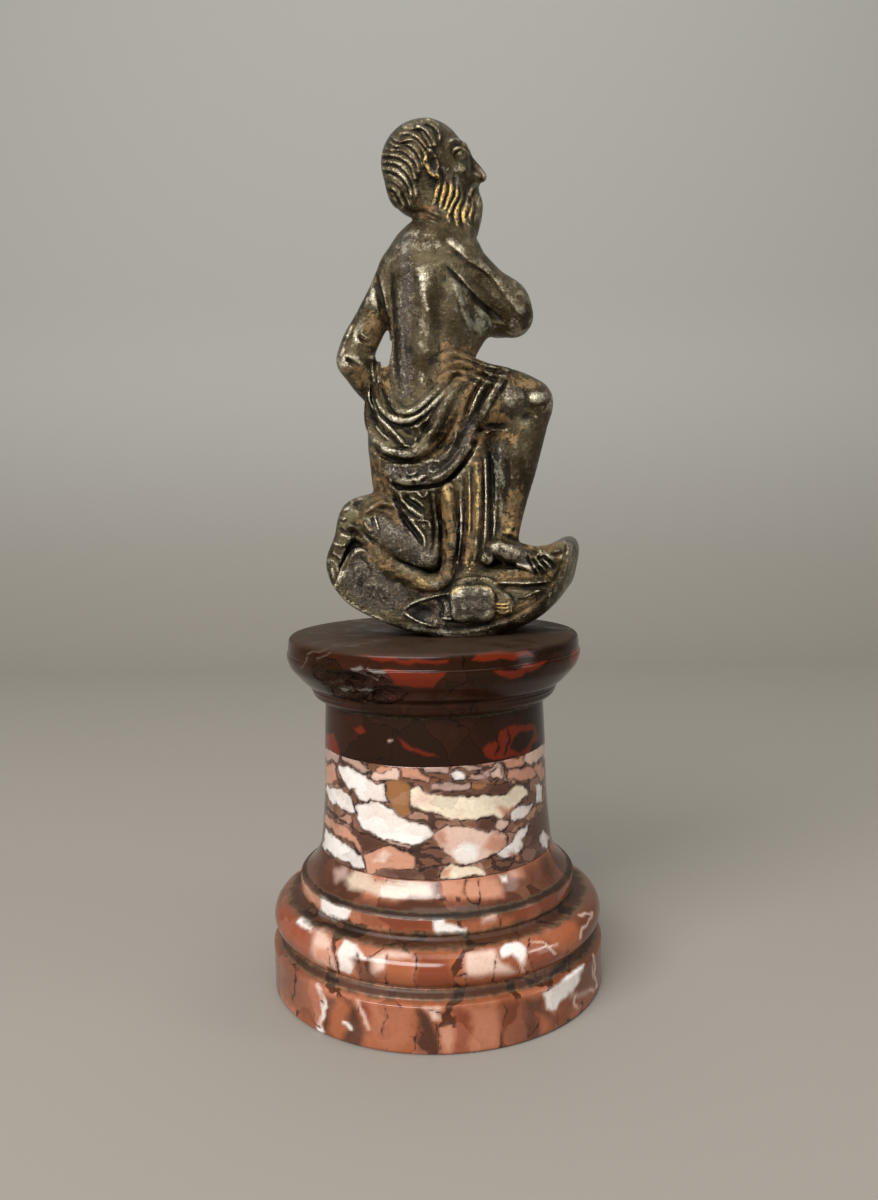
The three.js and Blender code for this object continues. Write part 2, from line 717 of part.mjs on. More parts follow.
function legs(limb) {
  limb([
    [3, 154, -2.5, 11.5, 0.9],
    [12, 156, -3.5, 9.6, 0.9],
    [21, 156.4, -4, 7.6, 0.9],
    [26.4, 155.4, -4, 6.2, 0.95],
  ], 2.5);
  limb([
    [25.6, 152.5, -4, 6.2, 0.95],
    [22.8, 145, -3.5, 7, 0.85],
    [22.2, 138, -3.5, 5.8, 0.95],
    [21.2, 130, -4, 4.4, 1],
    [20, 122, -5, 3.6, 1],
    [19.6, 118.5, -5.5, 3.7, 1],
  ]);
  limb([
    [18.4, 116.6, -7, 3.3, 1],
    [23.5, 115, -8, 3.4, 1],
    [28.5, 113.9, -8.5, 3.2, 0.9],
    [32.6, 114.6, -8.5, 2.4, 0.8],
  ]);
  limb([
    [20, 115.4, -3, 3.6, 1],
    [27, 113.8, -4, 3.7, 1],
    [32.6, 114.6, -4, 3.4, 1],
    [36, 115.8, -4, 3, 1],
  ], 1);
  limb([
    [-5, 144, -3, 10.5, 0.95],
    [-4, 133, -5, 7.6, 1],
    [-2.6, 123, -7.5, 5.6, 1],
    [-1.6, 116.6, -9, 4.6, 1],
  ], 2);
  limb([
    [-15.5, 124, -7.5, 5.2, 1],
    [-9.6, 120, -8, 6.6, 0.9],
    [-2.8, 116.4, -8.4, 5.8, 0.9],
  ]);
  limb([
    [-16, 128, -6, 4, 1],
    [-20.6, 126.4, -6, 3.8, 1],
    [-22.8, 120, -6.5, 3.3, 1],
    [-25, 114, -7, 3.4, 0.9],
    [-24.6, 109.4, -8, 2.8, 0.9],
  ]);
  limb([[-17, 121, -3, 5, 1], [-21, 114, -3, 4, 1]]);
  limb([[-14, 115, -7, 3.6, 1], [-5, 111.6, -7, 3.6, 1]]);
  limb([
    [-18.4, 113, -10, 3.8, 0.9],
    [-14.4, 107.6, -9.5, 4.8, 0.8],
    [-8.6, 103, -9.5, 4.4, 0.8],
  ], 2);
}

// The cloth: round the hips, hung between the legs, its rolled hem, and the plainer side that faces away.
function clothBody(limb) {
  limb([
    [-3.2, 158, -2, 12.6, 0.9],
    [-3.6, 150, -2, 12.8, 0.95],
    [-3.6, 142, -2, 12.5, 0.9],
    [-4.4, 134.5, -3, 11, 0.85],
    [-5, 129, -3, 8.6, 0.9],
  ], 2);
  limb([
    [8, 150, -3, 8.5, 0.9],
    [9.8, 141, -4, 6.6, 0.9],
    [10.6, 130, -5.5, 6.2, 0.85],
    [10.4, 118, -7, 6, 0.8],
    [9.6, 110, -8, 5.6, 0.8],
  ], 2);
  limb([
    [1.8, 161.6, -10.6, 2.6, 1],
    [4.4, 164.9, -10, 3, 1],
    [9.6, 164.6, -8, 3.2, 1],
    [17, 161.4, -6.5, 3.2, 1],
  ], 1.2);
  limb([
    [17, 146, 0, 5, 0.8],
    [16.6, 134, 0, 4.4, 0.8],
    [15, 118, -1, 5, 0.9],
    [14, 110, 0, 5, 0.8],
  ], 1.5);
  limb([
    [-18.4, 120.8, -9.5, 2, 1],
    [-12.8, 114.8, -11.5, 2.3, 1],
    [-7.4, 110.6, -12.8, 2.5, 1],
    [-1.5, 108.2, -13.4, 2.4, 1],
    [3, 109, -13.2, 2.1, 1],
    [4.6, 114, -12.2, 1.9, 1],
    [4.6, 124, -11, 1.8, 1],
    [4.4, 133, -10.5, 1.8, 1],
  ], 1);
  limb([
    [3, 158, 3, 11, 0.75],
    [2, 145, 3, 12.5, 0.75],
    [1, 130, 2.5, 11.5, 0.75],
    [1, 112, 2, 12, 0.7],
  ], 2.5);
  limb([[14.7, 114.3, -10, 1.9, 1]], 0.6);
}

// The head, on proportions of its own: face in three equal parts, eyes half way up, plain and calm.
function head(clay, limb) {
  clay.ball(onHead(-1.2, 1.6, 0), [10.8, 8.8, 10.5], 1, HEAD.tilt);
  clay.ball(onHead(3.2, -3, 0), [7.8, 7, 9.8], 1.5, HEAD.tilt);
  const placed = ([forward, up, side, r, flat]) => [...onHead(forward, up, side), r, flat];
  const put = (rows, soft) => clay.limb(rows.map(placed), soft);
  put([[8.8, 2.2, 0, 1.6, 2.6], [9.5, 1.2, 0, 1.5, 2.4]], 1.2);
  put([[10, 0.2, 0, 1.1, 1.1], [11.5, -2.6, 0, 1.2, 1.2], [12.6, -5.1, 0, 1.3, 1.3]], 0.8);
  put([[10, -5.8, 0, 1.6, 1.6], [10.8, -6, 0, 1.2, 1.6]], 0.8);
  put([[9.4, -8, 0, 1.7, 1.9], [9.4, -9.7, 0, 1.7, 1.8]], 0.8);
  put([[8.4, -11.6, 0, 3, 1.3], [7, -14.4, 0, 3.4, 1.2], [5.6, -17.4, 0, 3.2, 1.1]], 1.2);
  put([[-4.3, -3.5, 0, 7.6, 0.95], [-2, -7.6, 0, 5.8, 0.95]], 1.5);
  [1, -1].forEach((side) => {
    put([[3, -8.6, 3.8 * side, 3.3, 0.8], [5, -12, 2.4 * side, 3.5, 0.9]], 1.5);
    put([[0.2, -1.6, 8 * side, 1.5, 0.9], [0.4, -4.6, 7.8 * side, 1.2, 0.9]], 0.6);
  });
  limb([
    [6, 207, -4, 5, 0.9],
    [8.6, 202.5, -5, 3.7, 1],
    [9.6, 198.6, -5.5, 2.7, 1],
  ], 1);
}

// The crescent of ground, turned a little so that its right edge shows, with a rim below and at the right.
const FACE_EDGE = [
  [-26.8, 107.4], [-23.6, 103.2], [-18.6, 99.8], [-13.2, 97.5], [-7, 95.9], [0, 95.3], [6, 94.9],
  [13, 95.8], [20, 97.8], [26, 100.6], [30.2, 104], [33.4, 108.2], [35.6, 112.6], [37, 117],
  [36.6, 118.9], [34.6, 117.6], [32, 114], [28.6, 110.6], [20, 109.4], [10, 109.2], [-2, 108.4],
  [-9, 109.8], [-14, 114], [-18.6, 117.8], [-22.6, 115.8],
];

function ground(clay) {
  const edge = smooth([...FACE_EDGE, FACE_EDGE[0]], 3);
  const half = (GROUND_BACK - GROUND_FRONT) / 2;
  const middle = (GROUND_BACK + GROUND_FRONT) / 2;
  const round = 0.8;
  clay.every(clay.low, [43, 18, 122], (value, x, y, z) => {
    const near = -EYE.y / (GROUND_FRONT - EYE.y);
    const [u, w] = [EYE.x + (x - EYE.x) * near, EYE.z + (z - EYE.z) * near];
    const back = Math.min(1, Math.max(0, (y - GROUND_FRONT) / 8));
    const shift = (0.21 * (y - GROUND_FRONT) - 1) * Math.min(1, Math.max(0, (u + 12) / 30));
    const rim = Math.min(1, Math.max(0, (u + 16) / 24)) * Math.min(1, Math.max(0, (126 - w) / 20));
    const grow = 4.6 * rim * Math.sqrt(back * (2 - back));
    const flat = near * flatEdge(edge, u - shift, w) - grow + round;
    const deep = Math.abs(y - middle) - half + round;
    const outside = Math.hypot(Math.max(flat, 0), Math.max(deep, 0));
    const corner = outside + Math.min(Math.max(flat, deep), 0) - round;
    return melt(value, Math.max(corner, PLINTH_TOP - z), round);
  });
}

// Distance to the outline of a flat shape, negative inside.
function flatEdge(edge, x, z) {
  let best = 1e9;
  let inside = false;
  for (let i = 1; i < edge.length; i++) {
    const [a, b] = [edge[i - 1], edge[i]];
    const [dx, dz] = [b[0] - a[0], b[1] - a[1]];
    const t = Math.min(1, Math.max(0, ((x - a[0]) * dx + (z - a[1]) * dz) / (dx * dx + dz * dz || 1e-9)));
    best = Math.min(best, Math.hypot(x - a[0] - dx * t, z - a[1] - dz * t));
    if (a[1] > z !== b[1] > z && x < a[0] + (dx * (z - a[1])) / dz) inside = !inside;
  }
  return inside ? -best : best;
}

// The tortoise on the ground's near side: a domed shell, a gilt edge arching over it, and two clawed feet.
function tortoise(clay, limb) {
  clay.block(seen(10.7, 102.5, -13), [5.6, 3.5, 4.7], 0.5);
  limb([
    [4.8, 104.4, -13.4, 0.9, 1],
    [7.4, 107.7, -13.6, 1, 1],
    [11.6, 108.6, -13.6, 1, 1],
    [15.6, 107.7, -13.6, 1.1, 1],
    [17.6, 105, -13.6, 1.3, 1],
    [20.2, 103, -13.6, 1.3, 1],
  ], 0.6);
  limb([[18.6, 102.8, -13.4, 1.6, 1], [19, 101, -13.4, 1.9, 1]], 0.8);
  limb([[3.6, 101.8, -13.2, 1.2, 1], [3.6, 99.4, -13.2, 1.4, 1]], 0.8);
}

function backRelief(relief) {
  relief.ridge([[-2.4, 191], [-1.2, 187], [-0.8, 181], [-2, 175], [-2.5, 167], [-1.2, 161]], 2.6, 0.9);
  relief.ridge([[3.4, 190], [2.8, 182], [2, 174], [1.6, 166], [1.6, 161]], 2.4, -0.5);
  relief.ridge([[-9.6, 190], [-9, 182], [-8.9, 174], [-8.6, 166], [-7.6, 159]], 1.2, -0.4);
  relief.ridge([[-13, 189.4], [-11.4, 180], [-10.4, 174.4]], 1.3, -1.3);
  relief.ridge([[5.4, 191.4], [10, 186.4], [14.6, 181.2], [18, 178], [20.6, 176]], 1.5, -1.1);
  relief.ridge([[5.2, 197.6], [10, 193], [14, 190], [18, 186.6], [20.6, 183], [24, 178.6]], 1.8, 0.7);
  relief.ridge([[7.6, 184], [9.4, 178.6], [11.8, 174.6]], 2, 0.6);
  relief.ridge([[-20.4, 176.4], [-22.6, 171], [-23.2, 167.4]], 1.4, 0.5);
  relief.ridge([[-18.4, 172.6], [-16.2, 171.2], [-14.8, 171.4]], 1, -0.8);
  relief.mound(28.2, 156.6, 4.6, 3.4, 1.3);
  relief.mound(22.6, 155.4, 4, 4.6, 0.7);
}

function clothRelief(relief) {
  relief.ridge([[-11.4, 164], [-10.2, 157.8], [-6.2, 153], [-2, 155.2], [2, 158.6], [5.4, 162]], 1.4, 1.1);
  relief.ridge([[-14, 162.6], [-12.6, 154.8], [-8.4, 151.2], [-5, 151], [-1, 153.8], [8, 162.4]], 1, 0.9);
  relief.ridge([[-13.6, 152.6], [-10, 148.4], [-7.2, 144.4], [-4, 144.9]], 1.2, 1);
  relief.mound(-4.6, 147.6, 3.6, 2.4, -1.2);
  const outerFold = [[-16.2, 151.6], [-13.8, 144.8], [-8.5, 142], [-4, 143], [0.6, 148.6], [8.8, 161.6]];
  relief.ridge(outerFold, 1.3, 1.4);
  relief.ridge([[-13.4, 141.4], [-7, 140.8], [-1, 141.4], [4.4, 146], [8, 152.4]], 1.4, -1.4);
  relief.ridge([[-12, 138.6], [-7, 137], [-1, 136.8], [5, 140.4], [9.6, 146.4], [12, 151]], 2.8, 1.3);
  relief.ridge([[-11, 134.4], [-6, 133.4], [0, 133.8], [6, 137], [10.6, 143.6], [13.4, 148.8]], 1.3, -1.5);
  relief.ridge([[13.2, 160.4], [11, 158], [8.8, 154.4], [6.4, 149]], 1.4, 0.8);
  relief.ridge([[17, 163.8], [14, 159.4], [11.6, 155], [8.4, 150.6]], 1.2, -0.7);
  relief.ridge([[20.4, 163], [17.5, 160.2], [15.6, 156.6], [12.8, 151.6]], 1.1, 1);
  relief.ridge([[13.6, 148.4], [17, 149], [21.8, 149.6]], 1, -0.9);
  relief.ridge([[14.2, 146.8], [17.6, 147.8], [21.4, 148.2]], 1, 0.6);
  relief.ridge([[15.2, 144.6], [16.4, 138], [16.8, 130], [16.3, 119]], 0.9, -1.2);
  [[7, -0.7], [8.4, 0.5], [9.6, -0.7], [12.6, 0.9], [14.4, -0.8]].forEach(([x, height]) =>
    relief.ridge([[x + 0.4, 140], [x + 0.2, 130], [x, 120], [x - 0.9, 111]], 1, height),
  );
  relief.ridge([[-10.4, 133.6], [-8, 126], [-5, 122], [-2, 119]], 0.9, -1.2);
  relief.ridge([[-8.8, 133.4], [-5.6, 128.4], [-2.4, 126]], 1.2, 0.9);
  relief.ridge([[-8.6, 131], [-5, 125.6], [-1.4, 123]], 1, -0.8);
  relief.ridge([[-6, 125.6], [-3.4, 121.4], [-2.6, 117.6]], 1.2, 0.7);
  relief.ridge([[-18.2, 126.4], [-13, 129], [-9.2, 128.4], [-7, 124.4]], 1.3, 1);
  relief.ridge([[-17.8, 123.8], [-16.2, 122.2]], 0.9, 0.8, false);
  relief.ridge([[-15, 125.8], [-14.2, 122.6]], 0.9, 0.8, false);
  relief.ridge([[-18, 119.2], [-12, 115.4], [-8, 113], [-2, 111.2], [1.4, 110.8]], 1.1, -1.3);
  relief.ridge([[2, 131], [2.4, 122], [2, 113]], 1.1, -1.1);
}

// Locks of hair, swept back from the brow and down to the nape, and the long waves of the beard.
function hairRelief(relief) {
  const locks = [
    [[1.8, 220.6], [0.4, 223.2], [-2, 225], [-5.4, 225]],
    [[0, 218], [-1, 221.6], [-3.2, 223.2], [-8, 223.2]],
    [[-0.8, 215.8], [-2.2, 219.4], [-5, 221.4], [-9, 221]],
    [[-2.2, 214.2], [-3.6, 217.4], [-6.4, 219], [-10, 218.4]],
    [[-3.4, 212.4], [-4.6, 215.6], [-7, 216.8], [-10.6, 216.2]],
    [[-4.4, 210.4], [-5.8, 213.2], [-8, 214.2], [-10.8, 213.8]],
    [[-5.2, 208.2], [-6.6, 210.8], [-8.6, 211.8], [-10.6, 211.4]],
    [[3.4, 214], [4.6, 211], [3.6, 207.6], [2, 205.6]],
    [[5.8, 213], [6.8, 210], [5.6, 206.6], [3.8, 204.2]],
    [[8, 211.6], [9, 208], [7.6, 204.6], [6, 202]],
    [[10, 208.4], [10.4, 205], [9, 202], [8.6, 199.6]],
  ];
  locks.forEach((lock) => relief.ridge(lock, 1.15, 0.7));
  relief.ridge([[-0.6, 214.6], [-0.8, 211.6], [0.6, 209.6], [2, 210.4]], 0.9, 0.6);
  relief.mound(0.7, 212, 0.9, 1.6, -0.9);
  relief.ridge([[-5, 206], [-2, 204.6], [2, 203.2], [6, 202]], 1.2, -0.8);
}

function groundRelief(relief) {
  const toes = [
    [[28.6, 113.6], [31.2, 110.9]],
    [[30, 114.4], [32.8, 111.8]],
    [[26.6, 113.2], [29.2, 110.4]],
    [[-26, 111], [-25.2, 107.2]],
    [[-24.8, 110.6], [-24, 107]],
  ];
  toes.forEach((toe) => relief.ridge(toe, 0.8, -0.8, false));
  relief.mound(33, 116, 1.6, 0.9, 0.7);
  relief.ridge([[17.4, 119.2], [22, 116.8], [26, 114.6]], 1.2, 0.7);
  relief.ridge([[-21, 119.4], [-23, 115.6], [-24.8, 111.6]], 1.1, -1.3);
  relief.ridge([[-7.6, 100.4], [-4, 103], [2, 104.6]], 0.9, 0.8);
  relief.ridge([[-7.8, 100.4], [-4.4, 98.2], [0.6, 96.2]], 0.9, 0.8);
  relief.mound(-1.4, 100.4, 4.4, 2.6, -0.7);
  relief.ridge([[17, 107.6], [24, 107.6], [32, 107.8]], 0.9, 0.8);
  relief.ridge([[18, 106.4], [24, 106.2], [30, 106.6]], 1, -0.8);
  relief.ridge([[24, 103.4], [27, 104.4], [29, 105.6]], 1.2, 0.5);
  relief.ridge([[-20.6, 116.4], [-14.4, 113.6], [-9, 108.6]], 1.6, 0.8);
  const edge = [[0, 97], [7, 96.4], [14, 97], [21, 99], [26.4, 102], [30, 106], [32.6, 111]];
  relief.ridge(edge, 1.1, -0.6);
}

// The side that faces away, plainer: the swags of cloth over the lap and the folds that fall from them.
function farRelief(relief) {
  [0, 1, 2, 3].forEach((i) => {
    const drop = 6.5 * i;
    const low = 150 - 1.1 * drop;
    relief.ridge([[-13.5, 158 - drop], [-6, low + 1], [4, low - 0.4], [15, 155 - 0.9 * drop]], 2.4, 1.4);
  });
  [-7, -1.5, 4, 9.5].forEach((x) => relief.ridge([[x + 1, 128], [x + 0.4, 120], [x - 0.6, 110]], 2, 1.3));
  relief.ridge([[0.8, 192], [0.8, 184]], 2, -0.9);
  relief.ridge([[0.8, 175], [0.4, 166]], 2.2, -0.8);
}

// Pushes the near side of the clay out by one relief's height and the side that faces away by the other's,
// and leaves the walls between the two, which face neither way, as they are.
function press(clay, nearRelief, farRelief) {
  const facing = clay.facing();
  clay.every(clay.low, [43, 18, 230], (value, x, y, z, n) => {
    if (facing[n] === 0) return value;
    const scale = -EYE.y / (y - EYE.y);
    const relief = facing[n] < 0 ? nearRelief : farRelief;
    const weight = Math.min(1, Math.max(0, (Math.abs(facing[n]) - 0.15) / 0.4));
    return value - weight * relief.at(EYE.x + (x - EYE.x) * scale, EYE.z + (z - EYE.z) * scale);
  });
}

// The slit between the left arm and the back, open right through.
function openUnderArm(clay) {
  const slit = [[-9.9, 171.6], [-10.9, 169.2], [-11.6, 166.2]];
  clay.every([-18, -21, 160], [-4, 18, 178], (value, x, y, z) => {
    const near = -EYE.y / (y - EYE.y);
    const place = nearest(slit, EYE.x + (x - EYE.x) * near, EYE.z + (z - EYE.z) * near);
    const open = 0.35 + 0.75 * Math.min(1, 2.2 * place.along) - place.distance;
    return Math.max(value, open);
  });
}

// The part

function named(name, geometry, color, roughness, metalness) {
  const mesh = new THREE.Mesh(geometry, new THREE.MeshStandardMaterial({ color, roughness, metalness }));
  mesh.name = name;
  return mesh;
}

function figureGeometry() {
  const thin = new Thinner(skin(makeFigure()), FIGURE_TRIANGLES).run();
  const flush = thin.points.map((v, i) => (i % 3 === 2 && Math.abs(v - PLINTH_TOP) < 0.05 ? PLINTH_TOP : v));
  return indexed(flush, thin.faces.flat());
}

const part = new THREE.Group();
part.name = "philosopher_statuette";
part.add(named("base", baseGeometry(), 0x8c4a3a, 0.25, 0));
part.add(named("shaft", shaftGeometry(), 0xc09a8c, 0.3, 0));
part.add(named("capital", capitalGeometry(), 0x3a2220, 0.3, 0));
part.add(named("philosopher_figure", figureGeometry(), 0x5a4a32, 0.4, 0.9));

export default part;
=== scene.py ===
"""The looks of a bronze philosopher statuette on its turned stone plinth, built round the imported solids.

Lengths are in millimetres, as in the part's source, until a mesh is made in metres.
"""

import bpy
import numpy as np
from mathutils import Matrix, Vector


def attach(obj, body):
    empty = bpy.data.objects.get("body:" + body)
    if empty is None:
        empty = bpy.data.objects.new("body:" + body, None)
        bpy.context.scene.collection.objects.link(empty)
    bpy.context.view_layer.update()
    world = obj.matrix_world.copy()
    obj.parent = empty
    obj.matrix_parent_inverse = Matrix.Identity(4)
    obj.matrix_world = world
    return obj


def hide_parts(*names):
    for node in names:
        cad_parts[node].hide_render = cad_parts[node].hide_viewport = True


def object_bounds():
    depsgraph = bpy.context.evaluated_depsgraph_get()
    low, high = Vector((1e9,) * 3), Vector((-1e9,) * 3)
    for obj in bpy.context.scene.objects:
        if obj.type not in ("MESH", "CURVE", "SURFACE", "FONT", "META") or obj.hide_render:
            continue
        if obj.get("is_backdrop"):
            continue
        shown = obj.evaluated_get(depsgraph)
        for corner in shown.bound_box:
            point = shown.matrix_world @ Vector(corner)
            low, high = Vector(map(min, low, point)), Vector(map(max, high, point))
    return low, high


def shade(red, green, blue):
    """A colour with parts from 0 to 255, as the amounts of light that shaders use."""
    return tuple(((np.array([red, green, blue]) / 255) ** 2.2).tolist())


# Sizes of the plinth: radii and heights of its turned profile, as in the part's source
BASE_R = 45
DRUM_TOP = 12.2
TORUS_LOW = 14.6
TORUS_R = 44.6
TORUS_TOP = 24.4
FILLET_R = 37.3
FILLET_LOW = 25.6
FILLET_TOP = 30.2
SHAFT_LOW = 37.5
SHAFT_LOW_R = 31.5
SHAFT_TOP = 65.5
SHAFT_TOP_R = 29.9
NECK_TOP = 77.8
NECK_TOP_R = 29.4
OVOLO_LOW = 81.5
OVOLO_LOW_R = 33.1
RIM_LOW = 88.6
RIM_R = 39.3
RIM_TOP = 90.8
PLINTH_TOP = 94.8
TOP_R = 37.9

# Sizes of the bronze, and the point that its drawing is seen from, which is also where the camera stands
GROUND_FRONT = -13
GROUND_BACK = 10
GROUND_SLANT = 0.21
GROUND_RIM = 4.6
GROUND_ROUNDING = 0.8
HEAD = {"x": 0.9, "z": 214.5, "middle": 2.6, "tilt": np.radians(12)}
EYE = np.array([1.7, -269.0, 131.5])
CLAY_LOW = (-33, -21, 92)
CLAY_HIGH = (43, 18, 230)
CELL = 0.6
FAR_OFF = 30
DEEPEST = 8
SHEET_LOW = (-48, -30)
SHEET_HIGH = (48, 232)
SHEET_CELL = 0.18
RELIEF_REACH = 2.6
FIGURE_FACES = 190000

# The camera: how far it looks down and leans, and its lens on a 36 mm frame
PITCH = np.radians(5.98)
ROLL = np.radians(0.878)
LENS = 30.12

# The room's light and the colours of its floor and wall
ROOM = (0.76, 0.75, 0.73)
ROOM_LIGHT = 0.19
FLOOR = (0.3, 0.273, 0.237)
WALL = (0.425, 0.418, 0.382)

# Colours of the bronze
DARK_METAL = shade(58, 49, 34)
PALE_METAL = shade(100, 90, 69)
GREY_METAL = shade(76, 70, 66)
# Metal worn pale on the ridges, also used for painted highlights
WORN_AND_HIGHLIT_METAL = shade(208, 198, 172)
DARK_GILT = shade(86, 65, 38)
PALE_GILT = shade(138, 110, 71)
GOLD = shade(206, 174, 112)
GREEN = shade(138, 138, 120)
# Painted shade for the hollows
HOLLOW_SHADE = shade(24, 18, 12)
PIT = shade(30, 23, 15)

# Colours of the stones
WHITE = shade(238, 230, 222)
CREAM = shade(240, 224, 196)
BUFF = shade(208, 186, 164)
PINK = shade(222, 188, 170)
SALMON = shade(196, 140, 114)
OCHRE = shade(146, 98, 58)
BROWN = shade(112, 74, 54)
UMBER = shade(78, 50, 38)
GREY_PINK = shade(176, 146, 134)
TERRACOTTA = shade(158, 92, 62)
BRICK = shade(128, 66, 44)
GRIOTTE = shade(42, 25, 14)
RED = shade(104, 38, 20)
DIRT = shade(84, 74, 54)
# Painted shade in the deepest parts of the grooves, mixed with grime
BLACK_GRIME_AND_SHADE = shade(26, 22, 16)
DUST = shade(66, 52, 39)
SCRATCHED = shade(96, 84, 70)
# Painted glints on the facets of the capital's chip
CHIP_GLINT = shade(112, 106, 98)

# The ground's near face, as seen from the eye
FACE_EDGE = [[-26.8, 107.4], [-23.6, 103.2], [-18.6, 99.8], [-13.2, 97.5], [-7, 95.9], [0, 95.3], [6, 94.9],
             [13, 95.8], [20, 97.8], [26, 100.6], [30.2, 104], [33.4, 108.2], [35.6, 112.6], [36.8, 116],
             [36.3, 117.5], [34.2, 116.6], [32, 114], [28.6, 110.6], [20, 109.4], [10, 109.2], [-2, 108.4],
             [-9, 109.8], [-14, 114], [-18.6, 117.8], [-22.6, 115.8]]

# The capital's broken edge: its large flakes, as in the part's source, each with its angle, distance from
# the axis, height, size and turn, and the outline of what broke off after them, as seen from the eye
MOST_FLAKED = 6
MOST_CHIPPED = 2.6
CAPITAL_FLAKES = [
    (-123, 40.5, 85.6, (22, 8.4, 9.6), 0.0),
    (-110, 38.8, 83.2, (18, 8, 7), 0.2),
    (-135, 41.1, 87.4, (9, 6.4, 10), 0.3),
]

CHIP = [(-31.2, 81.4), (-29.2, 84.8), (-24, 84.9), (-18.6, 84.3), (-14.2, 83.4), (-11.6, 81.6), (-11.8, 79.8),
        (-9.6, 78.4), (-8, 76.2), (-12, 74.8), (-18, 75), (-24, 76), (-28, 77.6), (-29.4, 79.6)]


# Curves and places

def smooth(rows, steps=4):
    """A smooth run through rows of numbers, each row a point with its radii."""
    rows = np.array(rows, float)
    if len(rows) < 2:
        return np.repeat(rows, 2, axis=0)
    padded = np.vstack([rows[:1], rows, rows[-1:]])
    p0, p1, p2, p3 = (padded[k : len(rows) - 1 + k, None] for k in range(4))
    t = (np.arange(steps) / steps)[None, :, None]
    square = (2 * p0 - 5 * p1 + 4 * p2 - p3) * t**2
    cube = (3 * p1 - p0 - 3 * p2 + p3) * t**3
    run = 0.5 * (2 * p1 + (p2 - p0) * t + square + cube)
    return np.vstack([run.reshape(-1, rows.shape[1]), rows[-1:]])


def seen(x, z, y):
    """The point at depth y that looks from the eye as (x, z) does on the middle plane y = 0."""
    near = (y - EYE[1]) / -EYE[1]
    return [EYE[0] + (x - EYE[0]) * near, y, EYE[2] + (z - EYE[2]) * near]


def looks_at(x, y, z):
    """Where a place looks to be from the eye, as x and z on the middle plane."""
    near = -EYE[1] / (y - EYE[1])
    return EYE[0] + (x - EYE[0]) * near, EYE[2] + (z - EYE[2]) * near


def on_head(forward, up, side):
    """A point of the head, measured forward and up from its centre and sideways towards the viewer."""
    c, s = np.cos(HEAD["tilt"]), np.sin(HEAD["tilt"])
    return [HEAD["x"] + forward * c - up * s, -HEAD["middle"] - side, HEAD["z"] + forward * s + up * c]


def noise(points, size, seed):
    """Smooth random values from -1 to 1 that change over about size."""
    repeat = 32
    table = np.random.default_rng(seed).uniform(-1, 1, (repeat, repeat, repeat))
    at = np.asarray(points) / size
    cell = np.floor(at).astype(int)
    part = at - cell
    part = part * part * (3 - 2 * part)
    total = np.zeros(len(at))
    for corner in np.ndindex(2, 2, 2):
        weight = np.prod(np.where(corner, part, 1 - part), axis=1)
        total += weight * table[tuple(((cell + corner) % repeat).T)]
    return total


class Grid:
    """A number for each cell of a block or a sheet."""
    def __init__(self, low, high, cell, value):
        self.low = np.array(low, float)
        self.cell = cell
        size = np.ceil((np.array(high) - self.low) / cell).astype(int) + 1
        self.value = np.full(size, value, np.float32)

    def cells(self, low, high):
        """The cells from one corner to another, as slices, and where they are along each axis."""
        first = np.clip(np.floor((np.array(low) - self.low) / self.cell).astype(int), 0, None)
        last = np.ceil((np.array(high) - self.low) / self.cell).astype(int) + 1
        cut = tuple(slice(a, max(a, b)) for a, b in zip(first, np.minimum(last, self.value.shape)))
        return cut, [start + self.cell * np.arange(s.start, s.stop) for start, s in zip(self.low, cut)]


